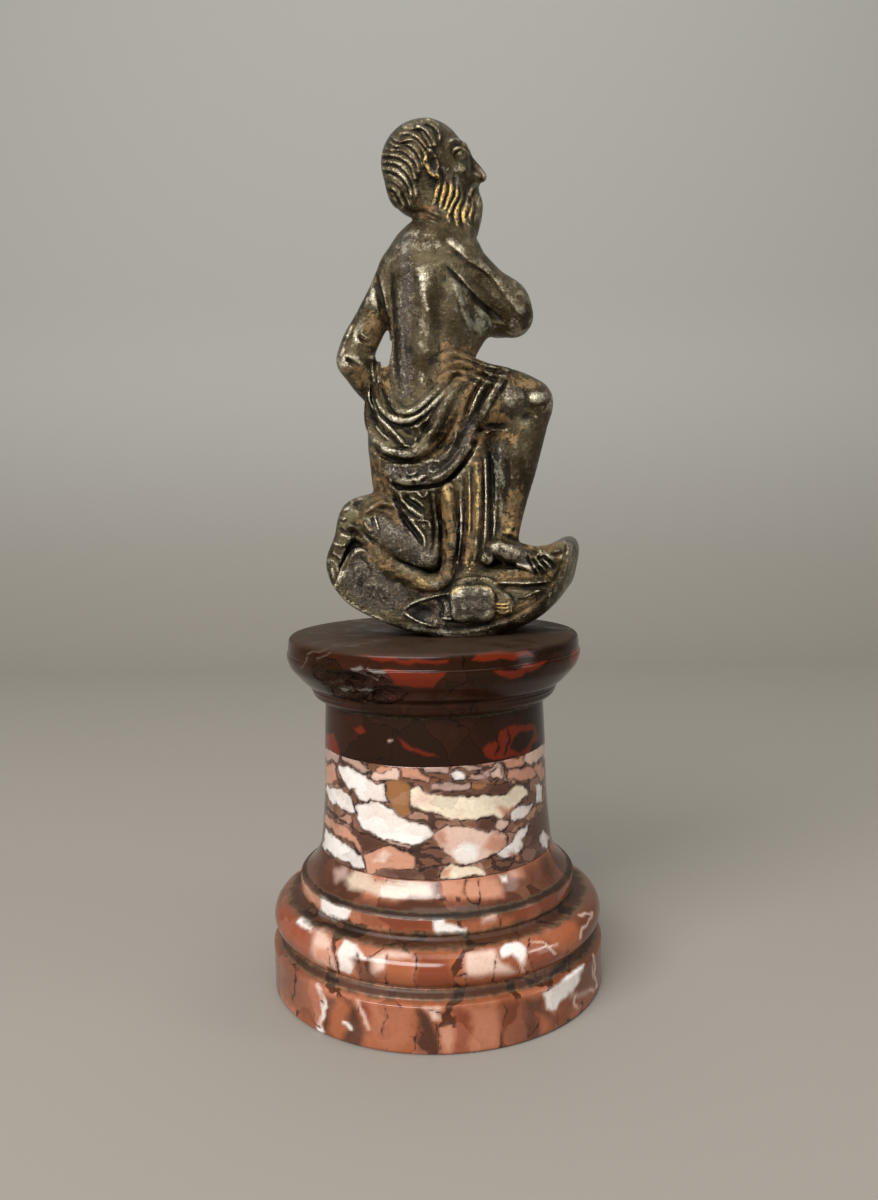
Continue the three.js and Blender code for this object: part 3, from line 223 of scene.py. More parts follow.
class Clay(Grid):
    """A block of cells that hold their distance to the surface, negative inside."""
    def __init__(self, low, high, cell):
        super().__init__(low, high, cell, FAR_OFF)

    def part(self, low, high):
        """The cells in a box, as slices, and their x, y and z."""
        cut, axes = self.cells(low, high)
        x, y, z = np.meshgrid(*(axis.astype(np.float32) for axis in axes), indexing="ij", sparse=True)
        return cut, x, y, z

    def limb(self, rows, soft):
        """Adds a run of round or flattened sections, melted into what is there over the distance soft.
        Each row is x, y, z, radius and the depth of the section over its width."""
        run = smooth(rows)
        reach = (run[:, 3] * np.maximum(1, run[:, 4])).max() + soft + 2 * self.cell
        cut, *_ = self.part(run[:, :3].min(axis=0) - reach, run[:, :3].max(axis=0) + reach)
        near = np.full_like(self.value[cut], FAR_OFF)
        for a, b in zip(run[:-1], run[1:]):
            inner, x, y, z = self.part(np.minimum(a, b)[:3] - reach, np.maximum(a, b)[:3] + reach)
            local = tuple(slice(i.start - c.start, i.stop - c.start) for i, c in zip(inner, cut))
            near[local] = np.minimum(near[local], section(a, b, x, y, z))
        self.value[cut] = melt(self.value[cut], near, soft)

    def drawn(self, rows, soft=1.5):
        """A limb whose rows are x and z as drawn, depth y, half width, and the section's depth over width."""
        nearness = lambda y: (y - EYE[1]) / -EYE[1]
        self.limb([[*seen(x, z, y), r * nearness(y), flat] for x, z, y, r, flat in rows], soft)

    def ball(self, centre, radii, soft, turn=0.0):
        """Adds an ellipsoid, or where soft is negative takes it away."""
        reach = max(radii) + abs(soft) + 2 * self.cell
        cut, x, y, z = self.part(np.array(centre) - reach, np.array(centre) + reach)
        dx, dy, dz = x - centre[0], y - centre[1], z - centre[2]
        c, s = np.cos(turn), np.sin(turn)
        far = ellipsoid(dx * c + dz * s, dy, dz * c - dx * s, *radii)
        if soft > 0:
            self.value[cut] = melt(self.value[cut], far, soft)
        else:
            self.value[cut] = -melt(-self.value[cut], far, -soft)

    def depth(self, x, z):
        """The depth y at which the line of sight through (x, z) first meets the clay."""
        y = np.arange(self.low[1], DEEPEST, self.cell / 2)
        places = np.stack(seen(x, z, y), axis=1)
        cells = np.round((places - self.low) / self.cell).astype(int)
        values = self.value[tuple(np.clip(cells, 0, np.array(self.value.shape) - 1).T)]
        return y[np.argmax(values < 0)]

    def roll(self, points, radius, lift, soft):
        """A roll of cloth on the near surface, standing out by lift times its radius, with thin ends."""
        ends = 0.5
        run = smooth(points, 2)
        shares = np.linspace(0, 1, len(run))
        radii = radius * (ends + (1 - ends) * np.sqrt(np.sin(np.pi * shares)))
        depths = np.array([self.depth(x, z) for x, z in run])
        depths[1:-1] = (depths[:-2] + depths[1:-1] + depths[2:]) / 3
        rows = zip(run, depths, radii)
        self.limb([[*seen(x, z, y + (1 - lift) * r), r, 1] for (x, z), y, r in rows], soft)

    def block(self, centre, halves, soft):
        """Adds a block with well rounded edges."""
        reach = np.array(halves) + soft + 2 * self.cell
        cut, x, y, z = self.part(np.array(centre) - reach, np.array(centre) + reach)
        sides = [((v - centre[k]) / halves[k]) ** 4 for k, v in enumerate((x, y, z))]
        far = ((sides[0] + sides[1] + sides[2]) ** 0.25 - 1) * min(halves)
        self.value[cut] = melt(self.value[cut], far, soft)

    def finer(self):
        """The same clay with cells half as wide, smoothly filled in."""
        field = self.value
        for axis in range(3):
            old = np.moveaxis(field, axis, 0)
            new = np.empty((2 * len(old) - 1, *old.shape[1:]), np.float32)
            new[::2] = old
            new[1::2] = (old[:-1] + old[1:]) / 2
            new[3:-3:2] = (9 * (old[1:-2] + old[2:-1]) - old[:-3] - old[3:]) / 16
            field = np.moveaxis(new, 0, axis)
        made = Clay(self.low, self.low, self.cell / 2)
        made.value = np.ascontiguousarray(field)
        return made

    def band(self, reach):
        """The cells within reach of the surface: where they are, and how far the surface there faces +Y."""
        inner = np.abs(self.value) < reach
        for axis in range(3):
            edge = np.moveaxis(inner, axis, 0)
            edge[0] = edge[-1] = False
        cells = np.argwhere(inner)
        slope = np.empty((len(cells), 3), np.float32)
        for axis in range(3):
            step = np.eye(3, dtype=int)[axis]
            ahead, behind = (tuple((cells + sign * step).T) for sign in (1, -1))
            slope[:, axis] = self.value[ahead] - self.value[behind]
        facing = slope[:, 1] / np.maximum(np.linalg.norm(slope, axis=1), 1e-6)
        return tuple(cells.T), self.low + cells * self.cell, facing


def melt(a, b, soft):
    """The smaller of two distances, rounded where they are alike."""
    h = np.maximum(soft - np.abs(a - b), 0) / soft
    return np.minimum(a, b) - h * h * soft / 4


def ellipsoid(x, y, z, rx, ry, rz):
    """About how far places, measured from its centre, are outside an ellipsoid."""
    k0 = np.sqrt((x / rx) ** 2 + (y / ry) ** 2 + (z / rz) ** 2)
    k1 = np.sqrt((x / rx**2) ** 2 + (y / ry**2) ** 2 + (z / rz**2) ** 2)
    return k0 * (k0 - 1) / np.maximum(k1, 1e-6)


def section(a, b, x, y, z):
    """Distance to the stretch of a limb between two of its rows."""
    a, d = np.float32(a), np.float32(b - a)
    long = max(float(d[:3] @ d[:3]), 1e-9)
    t = np.clip(((x - a[0]) * d[0] + (y - a[1]) * d[1] + (z - a[2]) * d[2]) / np.float32(long), 0, 1)
    r = a[3] + d[3] * t
    deep = r * (a[4] + d[4] * t)
    return ellipsoid(x - a[0] - d[0] * t, y - a[1] - d[1] * t, z - a[2] - d[2] * t, r, deep, r)


class Sheet(Grid):
    """A flat sheet of heights of relief, drawn as seen from the eye."""
    def __init__(self):
        super().__init__(SHEET_LOW, SHEET_HIGH, SHEET_CELL, 0)

    def part(self, low, high):
        cut, (x, z) = self.cells(low, high)
        return cut, x[:, None], z[None, :]

    def ridge(self, points, width, height, taper=True):
        """A rounded ridge, or a groove where height is negative, along a smooth curve."""
        self.fold(points, width, width, height, taper)

    def fold(self, points, left, right, height, taper=True):
        """A ridge whose flanks are as wide as left and right of the way it runs, so that one may be steep."""
        run = smooth(points, 5)
        wide = max(left, right)
        cut, x, z = self.part(run.min(axis=0) - wide, run.max(axis=0) + wide)
        distance, along, side = nearest(run, x, z)
        t = np.minimum(distance / np.where(side > 0, left, right), 1)
        fade = np.clip(np.minimum(5 * along, 5 * (1 - along)), 0, 1) if taper else 1
        self.value[cut] += height * fade * (1 - t * t) ** 2

    def mound(self, x, z, rx, rz, height, turn=0.0):
        """A round or long hump, turned by some degrees, or a hollow where height is negative."""
        wide = max(rx, rz)
        cut, px, pz = self.part((x - wide, z - wide), (x + wide, z + wide))
        c, s = np.cos(np.radians(turn)), np.sin(np.radians(turn))
        across, up = (px - x) * c + (pz - z) * s, (pz - z) * c - (px - x) * s
        t = np.minimum(np.hypot(across / rx, up / rz), 1)
        self.value[cut] += height * (1 - t * t) ** 2

    def soften(self, times):
        """Blurs the sheet a little, times over."""
        for _ in range(times):
            for axis in (0, 1):
                v = np.moveaxis(self.value, axis, 0)
                v[1:-1] = (v[:-2] + 2 * v[1:-1] + v[2:]) / 4
        return self

    def at(self, x, z):
        """The sheet's values at places, between its cells."""
        u = np.clip((x - self.low[0]) / self.cell, 0, self.value.shape[0] - 1.001)
        w = np.clip((z - self.low[1]) / self.cell, 0, self.value.shape[1] - 1.001)
        i, j = u.astype(int), w.astype(int)
        u, w = u - i, w - j
        v = self.value
        low = v[i, j] * (1 - u) + v[i + 1, j] * u
        high = v[i, j + 1] * (1 - u) + v[i + 1, j + 1] * u
        return low * (1 - w) + high * w


def nearest(run, x, z):
    """How far places are from a run of points, how far along it they are, and on which side."""
    best = np.full(np.broadcast(x, z).shape, 1e9)
    along = np.zeros_like(best)
    side = np.zeros_like(best)
    for i, (a, b) in enumerate(zip(run[:-1], run[1:])):
        d = b - a
        t = np.clip(((x - a[0]) * d[0] + (z - a[1]) * d[1]) / max(d @ d, 1e-9), 0, 1)
        distance = np.hypot(x - a[0] - d[0] * t, z - a[1] - d[1] * t)
        closer = distance < best
        best = np.where(closer, distance, best)
        along = np.where(closer, (i + t) / (len(run) - 1), along)
        side = np.where(closer, d[0] * (z - a[1]) - d[1] * (x - a[0]), side)
    return best, along, side


def closed(outline):
    return np.array([*outline, outline[0]], float)


def signed_edge(edge, x, z):
    """Distance to the closed outline of a flat shape, negative inside."""
    best = np.full(np.broadcast(x, z).shape, 1e9)
    inside = np.zeros(best.shape, bool)
    for a, b in zip(edge[:-1], edge[1:]):
        d = b - a
        t = np.clip(((x - a[0]) * d[0] + (z - a[1]) * d[1]) / max(d @ d, 1e-9), 0, 1)
        best = np.minimum(best, np.hypot(x - a[0] - d[0] * t, z - a[1] - d[1] * t))
        rise = d[1] if abs(d[1]) > 1e-9 else 1e-9
        inside ^= ((a[1] > z) != (b[1] > z)) & (x < a[0] + d[0] * (z - a[1]) / rise)
    return np.where(inside, -best, best)


# Skin: the surface of the clay, one point in each cell that it crosses

def skin(clay):
    """Points and four-sided faces of the clay's surface."""
    field = clay.value
    inside = field < 0
    corners = list(np.ndindex(2, 2, 2))
    shape = tuple(n - 1 for n in field.shape)
    window = lambda corner: tuple(slice(c, c + n) for c, n in zip(corner, shape))
    count = sum(inside[window(corner)].astype(np.int8) for corner in corners)
    mixed = (count > 0) & (count < 8)
    cells = np.argwhere(mixed)
    number = np.full(shape, -1)
    number[mixed] = np.arange(len(cells))
    total = np.zeros((len(cells), 3))
    crossings = np.zeros((len(cells), 1))
    for a in corners:
        for axis in range(3):
            if a[axis]:
                continue
            b = tuple(np.array(a) + np.eye(3, dtype=int)[axis])
            va, vb = field[tuple((cells + a).T)], field[tuple((cells + b).T)]
            crossed = ((va < 0) != (vb < 0))[:, None]
            t = (va / np.where(va == vb, 1, va - vb))[:, None]
            total += np.where(crossed, a + t * np.eye(3)[axis], 0)
            crossings += crossed
    points = clay.low + clay.cell * (cells + total / crossings)
    return points, np.vstack([faces_across(inside, number, axis) for axis in range(3)])


def faces_across(inside, number, axis):
    """The faces that cross the grid's lines along one axis, each joining the points of four cells."""
    u, v = (axis + 1) % 3, (axis + 2) % 3
    a = np.moveaxis(inside, (axis, u, v), (0, 1, 2))
    n = np.moveaxis(number, (axis, u, v), (0, 1, 2))
    changed = a[1:, 1:-1, 1:-1] != a[:-1, 1:-1, 1:-1]
    i, j, k = np.nonzero(changed)
    quads = np.stack([n[i, j, k], n[i, j + 1, k], n[i, j + 1, k + 1], n[i, j, k + 1]], axis=1)
    outward = a[i, j + 1, k + 1]
    return np.where(outward[:, None], quads, quads[:, ::-1])


# The figure's body, in the same forms as the part's source

def figure_clay():
    """The whole bronze as clay: large forms in wide cells, then small ones and relief in finer cells."""
    clay = Clay(CLAY_LOW, CLAY_HIGH, CELL)
    trunk(clay)
    arms(clay)
    legs(clay)
    cloth_body(clay)
    head(clay)
    ground(clay)
    tortoise(clay)
    clay = clay.finer()
    face(clay)
    small_forms(clay)
    cloth_rolls(clay)
    press(clay, near_relief(), far_relief())
    open_under_arm(clay)
    return clay


def trunk(clay):
    clay.drawn([[0, 148, -2, 12.5, 0.8], [0.5, 160, -2.5, 11.4, 0.82], [0.8, 168, -3, 11, 0.82],
                [1.3, 175, -3, 11.6, 0.8], [1.6, 183, -3, 12.6, 0.76], [0.6, 190, -3, 11.6, 0.74],
                [2, 196, -3, 8.4, 0.78], [4.4, 201, -3, 7.2, 0.9], [4.4, 208, -3, 7, 0.9]])
    clay.drawn([[-5.7, 190.4, -3.5, 5, 0.9], [2, 196.2, -4, 5.6, 0.9], [9, 194.2, -5, 5, 0.9]], 3)
    clay.drawn([[9, 189, 0, 6, 0.9], [12, 183, 1, 6, 0.9], [9.6, 176, 0, 5.6, 0.9]], 2.5)
    clay.drawn([[9.6, 187, -3.5, 4.4, 0.9], [12.4, 181, -4, 4.2, 0.9], [12.6, 176, -4, 4, 0.9],
                [9.6, 171, -3.5, 4, 0.9]], 2)
    clay.drawn([[-5, 188.5, 3, 5.6, 0.7], [-5.4, 185.6, 3.6, 5.2, 0.6]])
    clay.drawn([[6.4, 188.8, 3, 5.6, 0.7], [6.6, 185.8, 3.6, 5.2, 0.6]])


def arms(clay):
    clay.drawn([[-8, 189.8, -3, 4.8, 0.9], [-11.4, 184, -3.5, 4.1, 0.95], [-14.6, 177.5, -4, 4.4, 0.95],
                [-18.2, 170.8, -5, 4.7, 0.95], [-19.5, 167.2, -5, 4.7, 1]])
    clay.drawn([[-19, 166.4, -5, 4.6, 1], [-16.4, 162, -3, 4.4, 1], [-13, 158, -1, 4, 1]])
    clay.drawn([[7.2, 194.6, -5.5, 4.8, 0.95], [12, 190.4, -6, 4.3, 1], [16.6, 185.6, -5.5, 4.4, 1],
                [21.2, 181.8, -4.5, 5, 1], [22.2, 178.2, -3, 5, 1]])
    clay.drawn([[13.6, 175, -3, 2.8, 1], [17.4, 176.8, -2.2, 4.2, 1], [22, 176.4, -3, 4, 1]])
    clay.drawn([[22.4, 177.4, -2, 4.7, 1], [18, 176.6, 3, 4.4, 1], [12, 178, 7, 4, 1],
                [5, 180.5, 8.2, 3.7, 1], [0, 182.5, 8.5, 3.3, 0.7]])


def legs(clay):
    clay.drawn([[3, 154, -2.5, 11.5, 0.9], [12, 156, -3.5, 9.6, 0.9], [21, 156.4, -4, 7.6, 0.9],
                [26.4, 155.4, -4, 6.2, 0.95]], 2.5)
    clay.drawn([[25.6, 152.5, -4, 6.2, 0.95], [22.8, 145, -3.5, 7, 0.85], [22.2, 138, -3.5, 5.8, 0.95],
                [21.2, 130, -4, 4.4, 1], [20, 122, -5, 3.6, 1], [19.6, 118.5, -5.5, 3.7, 1]])
    clay.drawn([[18.4, 116.6, -7, 3.3, 1], [23.5, 115, -8, 3.4, 1], [28.5, 113.9, -8.5, 3.2, 0.9],
                [32.6, 114.6, -8.5, 2.4, 0.8]])
    clay.drawn([[17.6, 116.8, -9.6, 2.5, 1], [22.4, 115.2, -10.8, 2.5, 1], [27, 113.6, -11.6, 2.2, 0.9],
                [30, 113, -11.8, 1.7, 0.9]], 0.8)
    clay.drawn([[20, 115.4, -3, 3.6, 1], [27, 113.8, -4, 3.7, 1], [32.6, 114.6, -4, 3.4, 1],
                [36, 115.8, -4, 3, 1]], 1)
    clay.drawn([[-5, 144, -3, 10.5, 0.95], [-4, 133, -5, 7.6, 1], [-2.6, 123, -7.5, 5.6, 1],
                [-1.6, 116.6, -9, 4.6, 1]], 2)
    clay.drawn([[-15.5, 124, -7.5, 5.2, 1], [-9.6, 120, -8, 6.6, 0.9], [-2.8, 116.4, -8.4, 5.8, 0.9]])
    clay.drawn([[-16, 128, -6, 4, 1], [-20.6, 126.4, -6, 3.8, 1], [-22.8, 120, -6.5, 3.3, 1],
                [-25, 114, -7, 3.4, 0.9], [-24.6, 109.4, -8, 2.8, 0.9]])
    clay.drawn([[-17, 121, -3, 5, 1], [-21, 114, -3, 4, 1]])
    clay.drawn([[-14, 115, -7, 3.6, 1], [-5, 111.6, -7, 3.6, 1]])
    clay.drawn([[-18.4, 113, -10, 3.8, 0.9], [-14.4, 107.6, -9.5, 4.8, 0.8], [-8.6, 103, -9.5, 4.4, 0.8]], 2)


def cloth_body(clay):
    """The cloth: round the hips, hung between the legs, its rolled hem, and the side that faces away."""
    clay.drawn([[-3.2, 158, -2, 12.6, 0.9], [-3.6, 150, -2, 12.8, 0.95], [-3.6, 142, -2, 12.5, 0.9],
                [-4.4, 134.5, -3, 11, 0.85], [-5, 129, -3, 8.6, 0.9]], 2)
    clay.drawn([[8, 150, -3, 8.5, 0.9], [9.8, 141, -4, 6.6, 0.9], [10.6, 130, -5.5, 6.2, 0.85],
                [10.4, 118, -7, 6, 0.8], [9.6, 110, -8, 5.6, 0.8]], 2)
    clay.drawn([[1.8, 161.6, -10.6, 2.6, 1], [4.4, 164.9, -10, 3, 1], [9.6, 164.6, -8, 3.2, 1],
                [17, 161.4, -6.5, 3.2, 1]], 1.2)
    clay.drawn([[17, 146, 0, 5, 0.8], [16.6, 134, 0, 4.4, 0.8], [15, 118, -1, 5, 0.9], [14, 110, 0, 5, 0.8]])
    clay.drawn([[-18.4, 120.8, -9.5, 2, 1], [-12.8, 114.8, -11.5, 2.3, 1], [-7.4, 110.6, -12.8, 2.5, 1],
                [-1.5, 108.2, -13.4, 2.4, 1], [3, 109, -13.2, 2.1, 1], [4.6, 114, -12.2, 1.9, 1],
                [4.6, 124, -11, 1.8, 1], [4.4, 133, -10.5, 1.8, 1]], 1)
    clay.drawn([[3, 158, 3, 11, 0.75], [2, 145, 3, 12.5, 0.75], [1, 130, 2.5, 11.5, 0.75],
                [1, 112, 2, 12, 0.7]], 2.5)


def put_on_head(clay, rows, soft):
    clay.limb([[*on_head(forward, up, side), r, flat] for forward, up, side, r, flat in rows], soft)


def put_ball(clay, place, side, radii, soft):
    """A hump on one side of the head, or a hollow where soft is negative."""
    forward, up, out = place
    clay.ball(on_head(forward, up, out * side), radii, soft, HEAD["tilt"])


def head(clay):
    """The head, on proportions of its own: face in three equal parts, eyes half way up, plain and calm."""
    clay.ball(on_head(-1.2, 1.6, 0), [10.8, 8.8, 10.5], 1, HEAD["tilt"])
    clay.ball(on_head(3.2, -3, 0), [7.8, 7, 9.8], 1.5, HEAD["tilt"])
    put_on_head(clay, [[8.8, 2.2, 0, 1.6, 2.6], [9.5, 1.2, 0, 1.5, 2.4]], 1.2)
    put_on_head(clay, [[10, 0.2, 0, 1.1, 1.1], [11.5, -2.6, 0, 1.2, 1.2], [12.6, -5.1, 0, 1.3, 1.3]], 0.8)
    put_on_head(clay, [[10, -5.8, 0, 1.6, 1.6], [10.8, -6, 0, 1.2, 1.6]], 0.8)
    put_on_head(clay, [[9.4, -8, 0, 1.7, 1.9], [9.4, -9.7, 0, 1.7, 1.8]], 0.8)
    beard = [[8.4, -11.6, 0, 3, 1.3], [7, -14.4, 0, 3.4, 1.2], [5.6, -17.4, 0, 3.2, 1.1]]
    put_on_head(clay, beard, 1.2)
    put_on_head(clay, [[-4.3, -3.5, 0, 7.6, 0.95], [-2, -7.6, 0, 5.8, 0.95]], 1.5)
    for side in (1, -1):
        put_on_head(clay, [[3, -8.6, 3.8 * side, 3.3, 0.8], [5, -12, 2.4 * side, 3.5, 0.9]], 1.5)
    clay.drawn([[6, 207, -4, 5, 0.9], [8.6, 202.5, -5, 3.7, 1], [9.6, 198.6, -5.5, 2.7, 1]], 1)


def ground(clay):
    """The crescent of ground, slanting so that its right edge shows, with a rim below and at the right."""
    edge = smooth([*FACE_EDGE, FACE_EDGE[0]], 3)
    cut, x, y, z = clay.part(clay.low, (CLAY_HIGH[0], CLAY_HIGH[1], 122))
    near = EYE[1] / (EYE[1] - GROUND_FRONT)
    u, w = (EYE[0] + (x - EYE[0]) * near), (EYE[2] + (z - EYE[2]) * near)
    u, y, w = np.broadcast_arrays(u, y, w)
    shift = (GROUND_SLANT * (y - GROUND_FRONT) - 1) * np.clip((u + 12) / 30, 0, 1)
    rim = np.clip((u + 16) / 24, 0, 1) * np.clip((126 - w) / 20, 0, 1)
    back = np.clip((y - GROUND_FRONT) / 8, 0, 1)
    grow = GROUND_RIM * rim * np.sqrt(back * (2 - back))
    flat = near * signed_edge(edge, u - shift, w) - grow + GROUND_ROUNDING
    middle, half = (GROUND_BACK + GROUND_FRONT) / 2, (GROUND_BACK - GROUND_FRONT) / 2
    deep = np.abs(y - middle) - half + GROUND_ROUNDING
    corner = np.hypot(np.maximum(flat, 0), np.maximum(deep, 0)) + np.minimum(np.maximum(flat, deep), 0)
    above_plinth = np.maximum(corner - GROUND_ROUNDING, PLINTH_TOP - z)
    clay.value[cut] = melt(clay.value[cut], above_plinth, GROUND_ROUNDING)


def tortoise(clay):
    """The tortoise on the ground's near side: a domed shell, a gilt edge over it, and two clawed feet."""
    clay.block(seen(10.7, 102.5, -13), [5.9, 3.6, 4.9], 0.5)
    clay.drawn([[4.6, 104.4, -13.4, 0.9, 1], [7.2, 107.7, -13.6, 1, 1], [11.6, 108.6, -13.6, 1, 1],
                [15.6, 107.8, -13.6, 1.1, 1], [17.6, 105.2, -13.6, 1.3, 1], [19.8, 103.4, -13.6, 1.3, 1],
                [21, 101.8, -13.6, 1, 1]], 0.6)
    clay.drawn([[18.6, 103, -13.4, 1.7, 1], [19, 101, -13.4, 2, 1]], 0.8)
    clay.drawn([[3.6, 101.8, -13.2, 1.2, 1], [3.6, 99.2, -13.2, 1.4, 1]], 0.8)


def face(clay):
    """The face's small forms on both sides: sockets, eyes and lids, wings of the nose, lips, and the ears."""
    for side in (1, -1):
        hump = lambda place, radii, soft: put_ball(clay, place, side, radii, soft)
        own = lambda rows: [[forward, up, out * side, *rest] for forward, up, out, *rest in rows]
        line = lambda rows, soft: put_on_head(clay, own(rows), soft)
        hump([8.3, 0.3, 6.3], [2.4, 1.5, 1.4], -0.8)
        hump([7.9, 0, 3.9], [1.8, 1.8, 1.2], 0.1)
        hump([8.8, 0, 5.5], [0.4, 0.4, 0.4], -0.15)
        upper_lid = [[5.6, -0.3, 6], [6.5, 0.9, 6], [7.9, 1.3, 5.7], [9.2, 0.6, 4.8], [9.9, -0.2, 4]]
        line([[*place, 0.42, 1] for place in upper_lid], 0.25)
        lower_lid = [[5.6, -0.3, 6], [6.7, -1.1, 5.9], [8, -1.2, 5.4], [9.2, -0.8, 4.5], [9.9, -0.2, 4]]
        line([[*place, 0.34, 1] for place in lower_lid], 0.25)
        brow = [[5, 1.9, 6.9], [6.3, 3, 6.3], [8, 3.2, 4.9], [9.7, 2.4, 2.9]]
        line([[*place, 0.6, 1] for place in brow], 0.8)
        hump([6.2, -3.6, 5.9], [2.2, 1, 1.4], 1.4)
        line([[10.6, -4.8, 1.9, 0.8, 1], [11.5, -5.1, 1.5, 0.75, 1]], 0.4)
        hump([12, -6, 0.9], [0.5, 0.4, 0.4], -0.15)
        moustache = [[11, -6.9, 0.4, 0.5], [10.4, -7.3, 2.1, 0.6], [8.8, -8.8, 3.9, 0.6],
                     [7.6, -10.8, 4.8, 0.5]]
        line([[*row, 1] for row in moustache], 0.4)
        hump([0.5, -1.9, 7.8], [1.7, 1.6, 2.9], 0.5)
        hump([0.8, -1.9, 9.3], [1, 1, 1.9], -0.35)
        ear = [[1.3, -0.2, 8.6], [0.4, 0.9, 9], [-0.8, 0.2, 9], [-1, -2, 9.1], [-0.4, -4, 8.9],
               [0.8, -5, 8.6]]
        line([[*place, 0.5, 1] for place in ear], 0.3)
    put_on_head(clay, [[9.9, -8.2, 2, 0.4, 1], [10.9, -8, 0, 0.45, 1], [9.9, -8.2, -2, 0.4, 1]], 0.25)
    put_on_head(clay, [[9.7, -9.3, 1.8, 0.45, 1], [10.7, -9.2, 0, 0.5, 1], [9.7, -9.3, -1.8, 0.45, 1]], 0.25)


def small_forms(clay):
    """Fingers, toes, the knot at the heel, and the tortoise's claws, all in full round."""
    fingers(clay, [-0.5, 184.6, 9.4], [-4.6, 185.6, 8.2])
    fingers(clay, [-12.4, 159.6, 2], [-11.4, 154.6, 6.4])
    clay.drawn([[14.6, 114.4, -11.6, 1.8, 1]], 0.3)
    for x, z, r in ((33, 113.4, 1.1), (31.9, 112, 0.85), (30.5, 111.1, 0.8), (28.9, 110.6, 0.75),
                    (27.2, 110.5, 0.7)):
        clay.drawn([[x - 4, z + 2, -12.6, r, 1], [x - 1.4, z + 1, -13.2, r, 1], [x, z, -12.6, r, 1]], 0.35)
    for x in (-26.6, -25.2, -23.9):
        clay.drawn([[x, 112, -9.8, 0.7, 1], [x + 0.5, 109.4, -10.6, 0.75, 1], [x + 1.5, 107, -11.2, 0.6, 1]],
                   0.3)
    for z in (102, 101, 100):
        clay.drawn([[17, z, -14.6, 0.5, 1], [19, z - 0.3, -15.4, 0.5, 1], [20.6, z + 0.1, -14.8, 0.4, 1]],
                   0.25)
    clay.drawn([[20.9, 101.6, -14.4, 0.6, 1], [20.9, 99.9, -14.6, 0.55, 1]], 0.3)
    for z in (98.4, 99.4, 100.4):
        clay.drawn([[2.6, z, -14.2, 0.42, 1], [4.8, z - 0.2, -14.6, 0.42, 1]], 0.25)


def fingers(clay, knuckles, tips):
    """Four short fingers side by side, from the knuckles to the tips."""
    for off in (-2.7, -0.9, 0.9, 2.7):
        first = [knuckles[0], knuckles[1] + off, knuckles[2], 1.2, 1]
        clay.drawn([first, [tips[0], tips[1] + off, tips[2], 0.9, 1]], 0.5)


# Relief: the fine drawing of both sides

def near_relief():
    sheet = Sheet()
    back_relief(sheet)
    cloth_relief(sheet)
    waist_relief(sheet)
    knee_relief(sheet)
    hair_relief(sheet)
    ground_relief(sheet)
    return sheet.soften(1)


def back_relief(sheet):
    """The spine, the shoulder blades, the left arm and the fingers that hold the cloth."""
    sheet.fold([[-2.4, 193], [-1.4, 188.6], [-0.8, 184], [-0.8, 180], [-1.6, 174], [-2, 168], [-1, 159]], 6,
               3, 0.9)
    sheet.ridge([[-1.8, 190.6], [-1.2, 185], [-0.6, 180], [-1, 174], [-1.5, 167], [-1.6, 161]], 2.3, 0.16)
    sheet.ridge([[3.6, 190.6], [2.8, 184], [2.4, 176], [1.8, 168], [1.6, 161]], 2.6, -0.5)
    sheet.ridge([[-9.6, 190], [-9, 182], [-8.9, 174], [-8.6, 166], [-7.6, 157]], 0.8, -0.65)
    sheet.ridge([[-7.8, 189], [-7.3, 181], [-7.2, 173], [-6.8, 165], [-6, 158]], 1.2, 0.35)
    sheet.fold([[-13.4, 189.4], [-11.6, 181], [-10.6, 174.6]], 0.6, 2, -1.4)
    sheet.fold([[4.4, 191.4], [8.6, 186.8], [13, 182], [17, 178.6], [20.6, 176]], 0.6, 1.3, -1.2)
    sheet.fold([[4.6, 197.8], [8, 194.8], [11, 192], [14, 190.2], [18, 186.6], [20.4, 183.2]], 2.6, 1, 0.7)
    sheet.fold([[19, 185.4], [20.6, 182.6], [22.4, 180.2], [25.2, 177.2]], 2.4, 0.9, 0.6)
    sheet.fold([[6.6, 187.4], [7.6, 184], [9, 180.6], [9.8, 177.8], [12.2, 173.4]], 1.5, 1, 0.65)
    sheet.mound(5, 187.6, 2.2, 3.4, -0.4)
    sheet.ridge([[-20, 176.6], [-21.4, 173.4], [-23.4, 168]], 1.2, 0.6)
    sheet.fold([[-18.6, 173.4], [-17, 171.8], [-15, 171.4]], 1.2, 0.6, -0.8)
    sheet.ridge([[-22, 167.6], [-20, 166.2], [-18.4, 165]], 0.8, -0.8)
    sheet.mound(-20.2, 166.2, 1.5, 0.8, -0.6, -25)
    sheet.mound(-14.6, 167.6, 1.5, 1.6, 0.9)
    for x, z in ((-14.6, 165.8), (-13.4, 165.4), (-12.3, 165.4)):
        sheet.ridge([[x, z + 1], [x - 0.2, z - 2], [x + 0.3, z - 5]], 0.6, 0.6)
    sheet.mound(-13.9, 189, 0.7, 0.7, 0.6)
    sheet.mound(-4.9, 158.2, 0.35, 0.35, 0.4)


